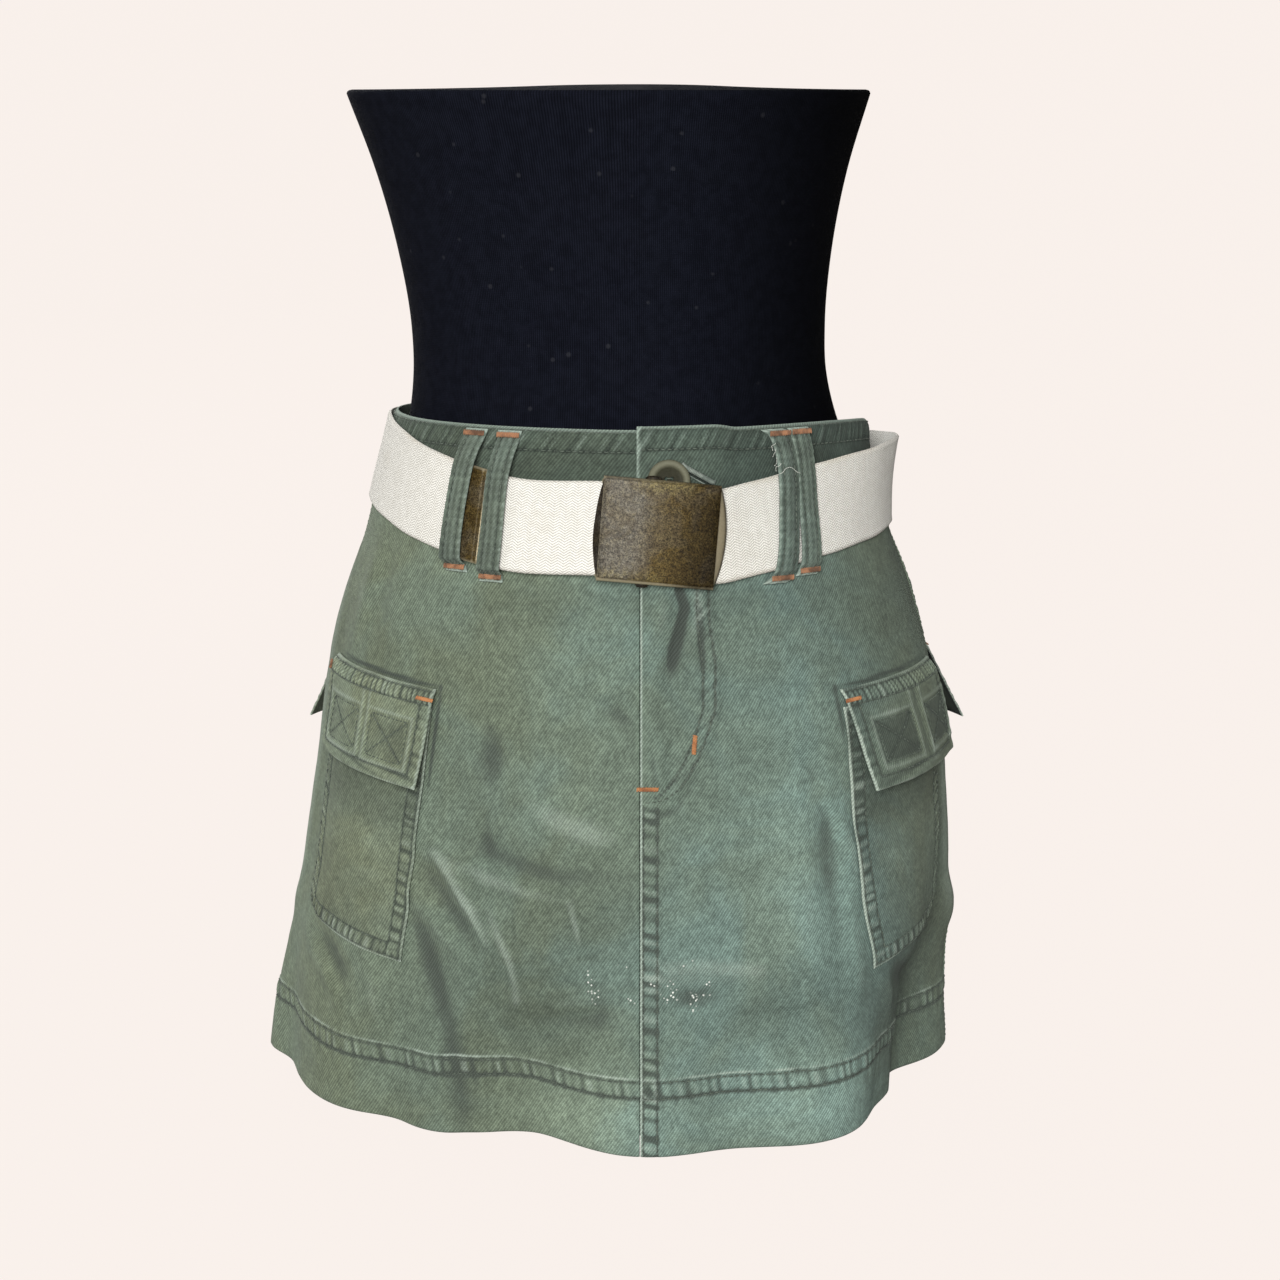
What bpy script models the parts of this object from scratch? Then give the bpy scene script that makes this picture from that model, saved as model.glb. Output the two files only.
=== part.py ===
"""A cargo utility skirt with its own web belt, worn on a half dress form.

Frame: metres, +Z up. The wearer faces -Y, so the wearer's left is +X. The origin is the middle
of the underside of the form's base plate, which stands on z = 0.

The cloth is one smooth surface, cloth_point(angle, height, out). Angles go round the body in
degrees: 0 is the centre front, 90 the wearer's left side seam, 180 the centre back and -90 the
right side seam. Every piece that lies on the skirt is made from points of that surface, moved
out along its normal.
"""
import functools
import math
from collections import namedtuple

import bpy
import numpy as np
from mathutils import Matrix

NAME = "cargo_utility_skirt"

# ---------------------------------------------------------------- driving dimensions (metres)
SEAM_GAP = 0.0003          # between two pieces that meet edge to edge
LAYER_GAP = 0.0010         # between a patch and the panel under it
PANEL_CLOTH = 0.0015
WAISTBAND_CLOTH = 0.0025
POCKET_CLOTH = 0.0014
FLAP_CLOTH = 0.0018
LOOP_CLOTH = 0.0016
WAISTBAND_HEIGHT = 0.040
HEM_BAND = 0.039           # depth of the turned and stitched hem
HEM_BAND_RAISE = 0.0006
SEAM_STRIP = 0.008         # width of the felled centre front seam
SEAM_STRIP_RAISE = 0.0008
FLY_WIDTH = 0.034
FLY_RAISE = 0.0012
FLY_FOOT_HEIGHT = 0.187
FLY_CURVE = 0.050          # height over which the fly's edge curves in to the centre front
FLY_EDGE = 0.003           # width and height over which the fly's raised edge falls away
STRIP_EDGE = 0.002         # the same for the felled seam
HEM_EDGE = 0.0015          # the same for the top of the hem band

OVERLAP_LIFT = 0.0029      # how far the upper end of the waistband stands over the under end
OVERLAP_RAISE = 0.0018     # how far it stands above the under end
OVERLAP_START = -0.7       # degrees
OVERLAP_FLAT = 17.0
OVERLAP_RAMP = 7.0
UNDER_END = 360.0 + 19.0

BELT_WIDTH = 0.045
BELT_UPRIGHT = 0.985       # the height of the leaning web over its width
BELT_CLOTH = 0.0018
TIP_CLOTH = 0.0028
TIP_TURN = 5.4             # degrees covered by the tip at the belt's free end
TIP_GAP_TURN = 0.15
TIP_MARGIN = 0.0005        # how far the tip reaches past the web's edges

LOOP_WIDTH = 0.0115
LOOP_TURN = 3.0            # degrees covered by half a loop
LOOP_CLEARANCE = 0.0008    # between the belt's face and the loop over it
LOOP_TOP_DROP = 0.002      # from the waistband's top edge to the loop's end
LOOP_TACK = 0.003          # length sewn flat at each end
LOOP_FOOT_DROP = 0.0038    # from the web's lower edge to the lower tack
LOOP_BEND = 0.001          # past the web's edges, where the loop turns over them
LOOP_SHOULDER = 0.006      # inside the web's edges, where the loop's face runs straight
LOOP_BELLY = 0.0006        # how far that face stands off further than the bends

BUCKLE_WIDTH = 0.056
BUCKLE_HEIGHT = 0.050
BUCKLE_DEPTH = 0.0074
BUCKLE_METAL = 0.0012
BUCKLE_EDGE = 0.0025       # radius of the plate's folded edges
BUCKLE_BOW = 0.172         # radius the plate is bowed to
BUCKLE_ANGLE = 3.8         # place of its middle round the waist
BUCKLE_CENTRE = 0.3163
BUCKLE_TILT = -5.5         # degrees, clockwise seen from the front
BUCKLE_STAND = 0.0130      # outer face of the plate above the cloth surface

BUTTON_RADIUS = 0.0100
BUTTON_THICKNESS = 0.0032
BUTTON_HOLE_RADIUS = 0.0009
BUTTON_HOLE_PITCH = 0.0019
BUTTON_ANGLE = 6.4
BUTTON_HEIGHT = 0.3425
BUTTON_STAND = 0.0001      # between the button's back and the waistband, besides the seam gap

POST_RADIUS = 0.016
BASE_RADIUS = 0.098
BASE_THICKNESS = 0.010
BASE_EDGE = 0.002
FORM_TOP_EDGE = 0.002
FORM_LID_SHARE = 0.98      # size of the lid's flat over the ring below its rounded edge
FORM_LID_SLOPE = 0.059     # the lid leans down towards the front by this much
FORM_LID_REACH = 0.060     # height below the lid over which the rings come level

POCKET_CORNER = 0.2        # share of a pocket's width over which its lower back corner rises
FLAP_FOLLOW = (0.15, 0.85)     # the flap follows the pocket's slack between these shares across
FLAP_CLEAR = 0.25          # share of the flap's sewn band that already stands clear of the pocket
FOLD_SPREAD = 1.15         # a fold is fully deep a little above the hem

# ---------------------------------------------------------------- how finely the shapes are drawn
FORM_COLUMNS = 40
FORM_ROWS = 12
PANEL_ROWS = 10
PANEL_COLUMNS = 20
FLY_PANEL_COLUMNS = 18     # beyond the fly, which has columns of its own
WAISTBAND_COLUMNS = 78
WAISTBAND_ROWS = 5
BELT_COLUMNS = 92
PATCH_COLUMNS = 12
POCKET_ROWS = 8
FLAP_ROWS = 6
SHARP_ANGLE = 40.0         # degrees; flatter edges are shaded smooth

# ---------------------------------------------------------------- shape tables
Section = namedtuple("Section", "height minus_x plus_x front back")
SKIRT_SECTIONS = (
    Section(0.366, 0.1285, 0.1180, 0.0970, 0.0970),
    Section(0.326, 0.1392, 0.1250, 0.1030, 0.1040),
    Section(0.298, 0.1463, 0.1335, 0.1080, 0.1130),
    Section(0.256, 0.1585, 0.1485, 0.1140, 0.1220),
    Section(0.212, 0.1665, 0.1585, 0.1190, 0.1280),
    Section(0.190, 0.1695, 0.1605, 0.1212, 0.1300),
    Section(0.167, 0.1735, 0.1618, 0.1235, 0.1320),
    Section(0.122, 0.1812, 0.1678, 0.1290, 0.1350),
    Section(0.095, 0.1872, 0.1735, 0.1320, 0.1370),
    Section(0.076, 0.1905, 0.1712, 0.1340, 0.1380),
    Section(0.008, 0.1985, 0.1715, 0.1400, 0.1410),
)
FORM_SECTIONS = (
    Section(0.5280, 0.1494, 0.1173, 0.1000, 0.0900),
    Section(0.4890, 0.1354, 0.1061, 0.0905, 0.0830),
    Section(0.4490, 0.1249, 0.0989, 0.0835, 0.0785),
    Section(0.4090, 0.1187, 0.0961, 0.0800, 0.0765),
    Section(0.3880, 0.1182, 0.0970, 0.0805, 0.0780),
    Section(0.3660, 0.1205, 0.1020, 0.0850, 0.0840),
    Section(0.3260, 0.1320, 0.1195, 0.0985, 0.0995),
    Section(0.2980, 0.1410, 0.1290, 0.1035, 0.1085),
    Section(0.2560, 0.1530, 0.1430, 0.1090, 0.1170),
    Section(0.2120, 0.1580, 0.1480, 0.1120, 0.1210),
    Section(0.1700, 0.1560, 0.1470, 0.1110, 0.1190),
    Section(0.1540, 0.1520, 0.1430, 0.1070, 0.1150),
    Section(0.1480, 0.1420, 0.1330, 0.0970, 0.1050),
)

Rim = namedtuple("Rim", "angle waist hem")      # heights of the waistband's top and of the hem
RIMS = (
    Rim(-180.0, 0.3615, 0.0100),
    Rim(-120.0, 0.3660, 0.0110),
    Rim(-90.0, 0.3668, 0.0105),
    Rim(-60.0, 0.3660, 0.0120),
    Rim(-32.0, 0.3657, 0.0122),
    Rim(-17.0, 0.3655, 0.0135),
    Rim(-3.0, 0.3652, 0.0105),
    Rim(22.0, 0.3658, 0.0105),
    Rim(45.0, 0.3660, 0.0100),
    Rim(62.0, 0.3652, 0.0105),
    Rim(76.0, 0.3636, 0.0105),
    Rim(90.0, 0.3605, 0.0110),
    Rim(106.0, 0.3565, 0.0105),
    Rim(145.0, 0.3570, 0.0095),
)

# A fold runs from its top down to the hem, where it is deepest; depth is positive for a ridge.
Fold = namedtuple("Fold", "hem_angle top_angle top_height depth half_width")
FOLDS = (
    Fold(-89.0, -88.0, 0.130, 0.0090, 4.5),
    Fold(-76.0, -80.0, 0.110, -0.0040, 6.0),
    Fold(-56.0, -50.0, 0.160, 0.0020, 6.0),
    Fold(-42.0, -36.0, 0.150, -0.0055, 4.5),
    Fold(-17.0, -25.0, 0.140, -0.0135, 6.5),
    Fold(0.0, 1.0, 0.120, 0.0015, 5.0),
    Fold(15.0, 14.0, 0.110, -0.0035, 5.0),
    Fold(32.0, 33.0, 0.150, 0.0055, 7.5),
    Fold(49.0, 55.0, 0.120, -0.0070, 5.0),
    Fold(67.0, 74.0, 0.165, -0.0250, 9.0),
    Fold(94.0, 92.0, 0.180, 0.0015, 8.0),
    Fold(117.0, 112.0, 0.140, -0.0100, 8.0),
    Fold(141.0, 145.0, 0.150, 0.0100, 8.0),
    Fold(167.0, 160.0, 0.160, -0.0120, 8.0),
    Fold(191.0, 196.0, 0.130, 0.0070, 8.0),
    Fold(217.0, 220.0, 0.170, -0.0140, 8.0),
    Fold(243.0, 248.0, 0.150, 0.0100, 9.0),
)

# The belt web: one strip, from its free end over the front, round the back and into the buckle.
# The turn is its angle round the body; gaps are from the cloth surface to its inner face.
BeltStation = namedtuple("BeltStation", "turn centre gap_top gap_foot")
BELT_ROUTE = (
    BeltStation(-37.0, 0.3236, 0.0039, 0.0038),
    BeltStation(-27.0, 0.3194, 0.0042, 0.0038),
    BeltStation(-16.0, 0.3186, 0.0062, 0.0045),
    BeltStation(-5.0, 0.3186, 0.0101, 0.0064),
    BeltStation(0.0, 0.3176, 0.0092, 0.0052),
    BeltStation(6.0, 0.3160, 0.0080, 0.0040),
    BeltStation(16.0, 0.3142, 0.0066, 0.0036),
    BeltStation(25.0, 0.3175, 0.0028, 0.0016),
    BeltStation(34.0, 0.3205, 0.0012, 0.0010),
    BeltStation(46.0, 0.3240, 0.0030, 0.0010),
    BeltStation(68.0, 0.3282, 0.0100, 0.0010),
    BeltStation(92.0, 0.3286, 0.0140, 0.0010),
    BeltStation(120.0, 0.3260, 0.0060, 0.0012),
    BeltStation(150.0, 0.3230, 0.0015, 0.0012),
    BeltStation(180.0, 0.3270, 0.0014, 0.0012),
    BeltStation(210.0, 0.3320, 0.0014, 0.0012),
    BeltStation(240.0, 0.3385, 0.0014, 0.0012),
    BeltStation(272.0, 0.3434, 0.0010, 0.0010),
    BeltStation(295.0, 0.3370, 0.0010, 0.0010),
    BeltStation(315.0, 0.3272, 0.0010, 0.0010),
    BeltStation(333.0, 0.3194, 0.0012, 0.0010),
    BeltStation(344.0, 0.3186, 0.0038, 0.0022),
    BeltStation(355.0, 0.3186, 0.0078, 0.0040),
)

Loop = namedtuple("Loop", "name top_angle foot_angle")
LOOPS = (
    Loop("belt_loop_front_right_outer", -37.6, -37.6),
    Loop("belt_loop_front_right_inner", -29.0, -29.2),
    Loop("belt_loop_front_left_inner", 31.5, 28.8),
    Loop("belt_loop_front_left_outer", 40.0, 36.8),
    Loop("belt_loop_back_left_outer", 141.0, 141.6),
    Loop("belt_loop_back_left_inner", 149.4, 149.6),
    Loop("belt_loop_back_right_inner", 210.6, 210.4),
    Loop("belt_loop_back_right_outer", 219.0, 218.4),
)

# A patch starts at front_top / front_foot degrees and runs width metres away from the front.
# Its top and its foot rise towards the back by top_rise and foot_rise.
Pocket = namedtuple(
    "Pocket", "name front_top front_foot width top foot top_rise foot_rise corner_rise slack")
POCKETS = (
    Pocket("cargo_pocket_right", -38.6, -40.6, 0.080, 0.2270, 0.0965, 0.004, 0.009, 0.008, 0.0010),
    Pocket("cargo_pocket_left", 39.8, 42.2, 0.079, 0.2270, 0.0930, 0.000, 0.011, 0.011, 0.0010),
    Pocket("back_pocket_right", -102.0, -102.0, 0.104, 0.2270, 0.1120, 0.000, 0.000, 0.006, 0.0010),
    Pocket("back_pocket_left", 102.0, 102.0, 0.104, 0.2270, 0.1120, 0.000, 0.000, 0.006, 0.0010),
)
Flap = namedtuple(
    "Flap", "name front_top front_foot width top foot top_rise foot_rise kick_front kick_back")
FLAPS = (
    Flap("cargo_flap_right", -37.9, -38.7, 0.083, 0.2365, 0.1870, 0.005, 0.006, 0.0060, 0.0010),
    Flap("cargo_flap_left", 39.4, 44.0, 0.082, 0.2360, 0.1845, 0.003, 0.003, 0.0060, 0.0020),
    Flap("back_flap_right", -100.5, -100.5, 0.108, 0.2370, 0.1900, 0.000, 0.000, 0.0140, 0.0015),
    Flap("back_flap_left", 100.5, 100.5, 0.108, 0.2370, 0.1900, 0.000, 0.000, 0.0190, 0.0015),
)

# Half the button's outline, as shares of its radius and its thickness.
Turning = namedtuple("Turning", "radius height")
BUTTON_TURNINGS = (
    Turning(0.00, 0.62),
    Turning(0.60, 0.62),
    Turning(0.72, 0.92),
    Turning(0.84, 1.00),
    Turning(0.95, 0.85),
    Turning(1.00, 0.55),
    Turning(0.93, 0.18),
    Turning(0.70, 0.00),
    Turning(0.00, 0.00),
)

Finish = namedtuple("Finish", "colour roughness metallic")
TWILL = Finish((0.125, 0.175, 0.125, 1.0), 0.85, 0.0)
TWILL_DARK = Finish((0.100, 0.145, 0.102, 1.0), 0.85, 0.0)
WEB = Finish((0.800, 0.770, 0.690, 1.0), 0.80, 0.0)
BRASS = Finish((0.190, 0.130, 0.045, 1.0), 0.42, 1.0)
BUTTON = Finish((0.145, 0.150, 0.105, 1.0), 0.45, 0.0)
JERSEY = Finish((0.010, 0.010, 0.014, 1.0), 0.90, 0.0)
BLACK_STEEL = Finish((0.020, 0.020, 0.022, 1.0), 0.45, 0.6)


# ---------------------------------------------------------------- curves and tables
def column(table, name):
    """One named column of a table, as an array."""
    return np.array([getattr(row, name) for row in table])


def smooth_curve(places, values, at):
    """Read a smooth curve through (places, values) at `at`; places rise."""
    at = np.clip(np.asarray(at, float), places[0], places[-1])
    slopes = np.gradient(values, places)
    i = np.clip(np.searchsorted(places, at) - 1, 0, len(places) - 2)
    step = places[i + 1] - places[i]
    t = (at - places[i]) / step
    start = (1 + 2 * t) * (1 - t) ** 2 * values[i] + t * (1 - t) ** 2 * step * slopes[i]
    end = t * t * (3 - 2 * t) * values[i + 1] + t * t * (t - 1) * step * slopes[i + 1]
    return start + end


def smooth_ring(places, values, at):
    """The same, for a table that goes once round the body in degrees."""
    turns = np.concatenate([places - 360.0, places, places + 360.0])
    return smooth_curve(turns, np.tile(values, 3), (np.asarray(at, float) + 180.0) % 360.0 - 180.0)


def ease(t):
    """0 to 1 with soft ends."""
    t = np.clip(t, 0.0, 1.0)
    return t * t * (3 - 2 * t)


def section_point(sections, angle, height):
    """A point of the smooth oval through the sections, at an angle and a height."""
    rising = sections[::-1]
    heights = column(rising, "height")
    right, left, front, back = (
        smooth_curve(heights, column(rising, side), height) for side in Section._fields[1:])
    turn = np.radians(angle)
    across = np.where(np.sin(turn) < 0, right, left)
    deep = np.where(np.cos(turn) > 0, front, back)
    return across * np.sin(turn), -deep * np.cos(turn)


# ---------------------------------------------------------------- the cloth surface
def waist_height(angle):
    """Height of the waistband's top edge."""
    return smooth_ring(column(RIMS, "angle"), column(RIMS, "waist"), angle)


def seam_height(angle):
    """Height of the seam between the waistband and the panels."""
    return waist_height(angle) - WAISTBAND_HEIGHT


def hem_height(angle):
    """Height of the hem's edge."""
    return smooth_ring(column(RIMS, "angle"), column(RIMS, "hem"), angle)


def fold_depth(angle, height):
    """How far the folds move the cloth out at an angle and a height."""
    total = np.zeros(np.broadcast(angle, height).shape)
    for fold in FOLDS:
        down = np.clip((fold.top_height - height) / fold.top_height, 0.0, 1.0)
        middle = fold.top_angle + (fold.hem_angle - fold.top_angle) * down
        away = (angle - middle + 180.0) % 360.0 - 180.0
        spread = np.exp(-0.5 * (away / fold.half_width) ** 2)
        total = total + fold.depth * ease(down * FOLD_SPREAD) * spread
    return total


def folded_point(angle, height):
    """A point of the skirt's outer face, folds included."""
    x, y = section_point(SKIRT_SECTIONS, angle, height)
    turn = np.radians(angle)
    depth = fold_depth(angle, height)
    z = np.broadcast_to(height, np.shape(x))
    return np.stack([x + depth * np.sin(turn), y - depth * np.cos(turn), z], axis=-1)


def cloth_frame(angle, height):
    """Points of the cloth surface with their unit vectors along, up and out."""
    turn_step, height_step = 0.5, 0.001
    along = folded_point(angle + turn_step, height) - folded_point(angle - turn_step, height)
    up = folded_point(angle, height + height_step) - folded_point(angle, height - height_step)
    out = np.cross(along, up)
    unit = [v / np.linalg.norm(v, axis=-1, keepdims=True) for v in (along, up, out)]
    return folded_point(angle, height), unit


def cloth_point(angle, height, out=0.0):
    """Points of the cloth surface, moved out along its normal."""
    angle, height, out = np.broadcast_arrays(*(np.asarray(v, float) for v in (angle, height, out)))
    point, (_, _, normal) = cloth_frame(angle, height)
    return point + normal * out[..., None]


ARC_ANGLES = np.linspace(-540.0, 540.0, 2161)      # half degrees, one and a half turns each way
ARC_STEP = 0.0005                                  # heights are rounded to this for the lengths


@functools.lru_cache(maxsize=None)
def arc_lengths(step):
    """Distance round the plain oval from the centre front, for each of ARC_ANGLES."""
    x, y = section_point(SKIRT_SECTIONS, ARC_ANGLES, step * ARC_STEP)
    steps = np.hypot(np.diff(x), np.diff(y))
    lengths = np.concatenate([[0.0], np.cumsum(steps)])
    return lengths - np.interp(0.0, ARC_ANGLES, lengths)


def angle_at(distance, height):
    """The angle that lies a distance round from the centre front, towards the wearer's left."""
    return float(np.interp(distance, arc_lengths(round(height / ARC_STEP)), ARC_ANGLES))


def distance_at(angle, height):
    """The distance round from the centre front to an angle."""
    return float(np.interp(angle, ARC_ANGLES, arc_lengths(round(height / ARC_STEP))))


# ---------------------------------------------------------------- Blender helpers
def clear_scene():
    """Remove every object of the scene."""
    for item in list(bpy.data.objects):
        bpy.data.objects.remove(item)


def new_collection(name):
    """A new collection in the scene."""
    made = bpy.data.collections.new(name)
    bpy.context.scene.collection.children.link(made)
    return made


def move_to(item, group):
    """Put an object in one collection only."""
    for other in list(item.users_collection):
        other.objects.unlink(item)
    group.objects.link(item)


def finish_object(item, finish, group):
    """Give an object its own material, smooth shading and its collection."""
    material = bpy.data.materials.new(item.name)
    material.use_nodes = True
    shader = material.node_tree.nodes["Principled BSDF"]
    shader.inputs["Base Color"].default_value = finish.colour
    shader.inputs["Roughness"].default_value = finish.roughness
    shader.inputs["Metallic"].default_value = finish.metallic
    item.data.materials.append(material)
    item.data.shade_smooth()
    item.data.set_sharp_from_angle(angle=math.radians(SHARP_ANGLE))
    move_to(item, group)
    return item


def mesh_object(name, points, faces, finish, group):
    """An object from points and faces."""
    mesh = bpy.data.meshes.new(name)
    mesh.from_pydata([tuple(map(float, point)) for point in points], [], faces)
    mesh.update()
    item = bpy.data.objects.new(name, mesh)
    group.objects.link(item)
    return finish_object(item, finish, group)


def placed(along, up, out, place):
    """The matrix that stands a thing at a place with its axes along, up and out."""
    rows = np.column_stack([along, up, out, place])
    return Matrix([list(map(float, row)) for row in rows] + [[0, 0, 0, 1]])


def grid_faces(rows, columns, closed=False):
    """Faces of a grid of points, row after row; closed joins the last column to the first."""
    faces = []
    for row in range(rows - 1):
        for col in range(columns if closed else columns - 1):
            after = (col + 1) % columns
            faces.append((row * columns + col, (row + 1) * columns + col,
                          (row + 1) * columns + after, row * columns + after))
    return faces


def thicken(item, thickness, outward):
    """Give an open sheet its wall, outward or inward from its points."""
    solid = item.modifiers.new("wall", "SOLIDIFY")
    solid.thickness = thickness
    solid.offset = 1.0 if outward else -1.0
    solid.use_even_offset = True
    return item


def sheet(name, points, thickness, finish, group, outward=True):
    """A closed wall on a grid of points: rows go down, columns go towards the wearer's left."""
    rows, columns = points.shape[:2]
    item = mesh_object(name, points.reshape(-1, 3), grid_faces(rows, columns), finish, group)
    return thicken(item, thickness, outward)


def wall(name, outer, inner, finish, group):
    """A closed wall between two grids of points, whose edges follow the cloth's own normals."""
    rows, columns = outer.shape[:2]
    points = np.concatenate([outer.reshape(-1, 3), inner.reshape(-1, 3)])
    faces = grid_faces(rows, columns)
    back = rows * columns
    faces += [tuple(back + corner for corner in reversed(face)) for face in faces]
    rim = list(range(columns))
    rim += [row * columns + columns - 1 for row in range(1, rows)]
    rim += [(rows - 1) * columns + col for col in range(columns - 2, -1, -1)]
    rim += [row * columns for row in range(rows - 2, 0, -1)]
    for here, after in zip(rim, rim[1:] + rim[:1]):
        faces.append((here, after, back + after, back + here))
    return mesh_object(name, points, faces, finish, group)


# ---------------------------------------------------------------- the form
def make_form(group):
    """The half dress form: a plain hip and waist, its post and its base plate."""
    rising = FORM_SECTIONS[::-1]
    heights = column(rising, "height")
    upper = np.linspace(heights[3], heights[-1] - FORM_TOP_EDGE, FORM_ROWS)
    between = np.concatenate([heights[:3], upper])
    angles = np.linspace(-180.0, 180.0, FORM_COLUMNS, endpoint=False)
    rows = []
    for height in between[::-1]:
        x, y = section_point(FORM_SECTIONS, angles, height)
        lean = FORM_LID_SLOPE * ease(1 - (heights[-1] - height) / FORM_LID_REACH)
        rows.append(np.stack([x, y, height + lean * y], axis=-1))
    lid = rows[0] * (FORM_LID_SHARE, FORM_LID_SHARE, 1) + (0, 0, FORM_TOP_EDGE)
    points = np.concatenate([[lid], rows])
    faces = grid_faces(len(points), FORM_COLUMNS, closed=True)
    faces.append(tuple(range(FORM_COLUMNS)))
    faces.append(tuple(reversed(range((len(points) - 1) * FORM_COLUMNS, len(points) * FORM_COLUMNS))))
    mesh_object("form_body", points.reshape(-1, 3), faces, JERSEY, group)

    post_top = heights[0] - SEAM_GAP
    post_foot = BASE_THICKNESS + SEAM_GAP
    bpy.ops.mesh.primitive_cylinder_add(vertices=24, radius=POST_RADIUS, depth=post_top - post_foot,
                                        location=(0, 0, (post_top + post_foot) / 2))
    post = bpy.context.object
    post.name = post.data.name = "form_post"
    finish_object(post, BLACK_STEEL, group)

    bpy.ops.mesh.primitive_cylinder_add(vertices=48, radius=BASE_RADIUS, depth=BASE_THICKNESS,
                                        location=(0, 0, BASE_THICKNESS / 2))
    base = bpy.context.object
    base.name = base.data.name = "form_base"
    edge = base.modifiers.new("edge", "BEVEL")
    edge.width = BASE_EDGE
    edge.segments = 2
    finish_object(base, BLACK_STEEL, group)


# ---------------------------------------------------------------- the skirt
def front_raise(distance, height):
    """How far the fly and the felled seam stand out on the left front, from the centre front."""
    strip = SEAM_STRIP_RAISE * (1 - ease((distance - SEAM_STRIP) / STRIP_EDGE))
    rise = np.clip((height - FLY_FOOT_HEIGHT) / FLY_CURVE, 0.0, 1.0)
    edge = FLY_WIDTH * np.sqrt(1 - (1 - rise) ** 2)
    beside = 1 - ease((distance - edge) / FLY_EDGE)
    above = ease((height - FLY_FOOT_HEIGHT) / FLY_EDGE)
    return np.maximum(strip, FLY_RAISE * beside * above)


def panel_columns(side, front):
    """Places across a panel: (metres from its first edge, share of the rest of its width)."""
    if front and side > 0:
        strip_end = SEAM_STRIP + STRIP_EDGE
        inside = [strip_end + (FLY_WIDTH - strip_end) * share for share in (0.33, 0.67)]
        near = [0.0, SEAM_STRIP / 2, SEAM_STRIP, strip_end, *inside, FLY_WIDTH, FLY_WIDTH + FLY_EDGE]
        far = FLY_PANEL_COLUMNS
    else:
        near = [0.0]
        far = PANEL_COLUMNS
    last = near[-1]
    return [(place, 0.0) for place in near] + [(last, (i + 1) / far) for i in range(far)]


def make_panel(name, side, front, group):
    """One of the four panels, between a centre seam and a side seam."""
    centre = side * (0.0 if front else 180.0)
    rows = [(0.0, share) for share in np.linspace(0.0, 1.0, PANEL_ROWS)]
    rows += [(HEM_EDGE, 1.0), (0.5 * HEM_BAND, 1.0), (HEM_BAND, 1.0)]
    outer, inner = [], []
    for below, share in rows:
        face, back = [], []
        for near, rest in panel_columns(side, front):
            height = seam_height(centre)
            for _ in range(4):                      # the angle and the height depend on each other
                first = distance_at(centre, height)
                room = distance_at(side * 90.0, height) - first
                span = abs(room) - SEAM_GAP
                place = near + rest * (span - near)
                angle = angle_at(first + math.copysign(SEAM_GAP / 2 + place, room), height)
                top = seam_height(angle) - SEAM_GAP
                band = hem_height(angle) + HEM_BAND
                height = float(top + (band - top) * share - below)
            raised = HEM_BAND_RAISE if below > 0 else 0.0
            if front and side > 0:
                raised = max(raised, float(front_raise(place, height)))
            face.append(cloth_point(angle, height, raised))
            back.append(cloth_point(angle, height, -PANEL_CLOTH))
        outer.append(face)
        inner.append(back)
    outer, inner = np.array(outer), np.array(inner)
    if (side > 0) != front:
        outer, inner = outer[:, ::-1], inner[:, ::-1]
    return wall(name, outer, inner, TWILL, group)


def waistband_lift(turn):
    """How far the waistband stands out, at its upper end over the under end."""
    return OVERLAP_LIFT * (1 - ease((turn - OVERLAP_FLAT) / OVERLAP_RAMP))


def make_waistband(group):
    """The waistband, one strip whose ends overlap at the centre front."""
    turns = np.linspace(OVERLAP_START, UNDER_END, WAISTBAND_COLUMNS)
    tops = waist_height(turns) + OVERLAP_RAISE * waistband_lift(turns) / OVERLAP_LIFT
    feet = seam_height(turns)
    heights = [tops + (feet - tops) * share for share in np.linspace(0.0, 1.0, WAISTBAND_ROWS)]
    lift = waistband_lift(turns)
    outer = np.array([cloth_point(turns, height, lift) for height in heights])
    inner = np.array([cloth_point(turns, height, lift - WAISTBAND_CLOTH) for height in heights])
    return wall("waistband", outer, inner, TWILL, group)


# ---------------------------------------------------------------- pockets and flaps
def patch_place(patch, across, down):
    """The angle and the height of a place on a patch, with its foot's rise and round corner."""
    side = math.copysign(1.0, patch.front_top)
    corner = getattr(patch, "corner_rise", 0.0)
    round_up = max(0.0, 1.0 - (1.0 - across) / POCKET_CORNER)
    foot = patch.foot + patch.foot_rise * across + corner * round_up ** 2
    top = patch.top + patch.top_rise * across
    height = top + (foot - top) * down
    front = patch.front_top + (patch.front_foot - patch.front_top) * down
    start = distance_at(front, height)
    return angle_at(start + side * patch.width * across, height), height


def pocket_gap(pocket, across, down):
    """How far a pocket's inner face stands off its panel: sewn at three edges, slack at the top."""
    return LAYER_GAP + pocket.slack * math.sin(math.pi * across) * (1 - down ** 2)


def patch_sheet(patch, gap, rows, thickness, group):
    """A closed wall over a patch's outline; gap(across, down) is its inner face's stand-off."""
    grid = []
    for down in np.linspace(0.0, 1.0, rows):
        line = []
        for across in np.linspace(0.0, 1.0, PATCH_COLUMNS):
            angle, height = patch_place(patch, across, down)
            line.append(cloth_point(angle, height, gap(across, down)))
        grid.append(line)
    points = np.array(grid)
    if patch.front_top < 0:
        points = points[:, ::-1]
    return sheet(patch.name, points, thickness, TWILL_DARK, group)


def make_pocket(pocket, group):
    """A patch pocket, open at its top under its flap."""
    return patch_sheet(pocket, functools.partial(pocket_gap, pocket), POCKET_ROWS, POCKET_CLOTH, group)


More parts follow.
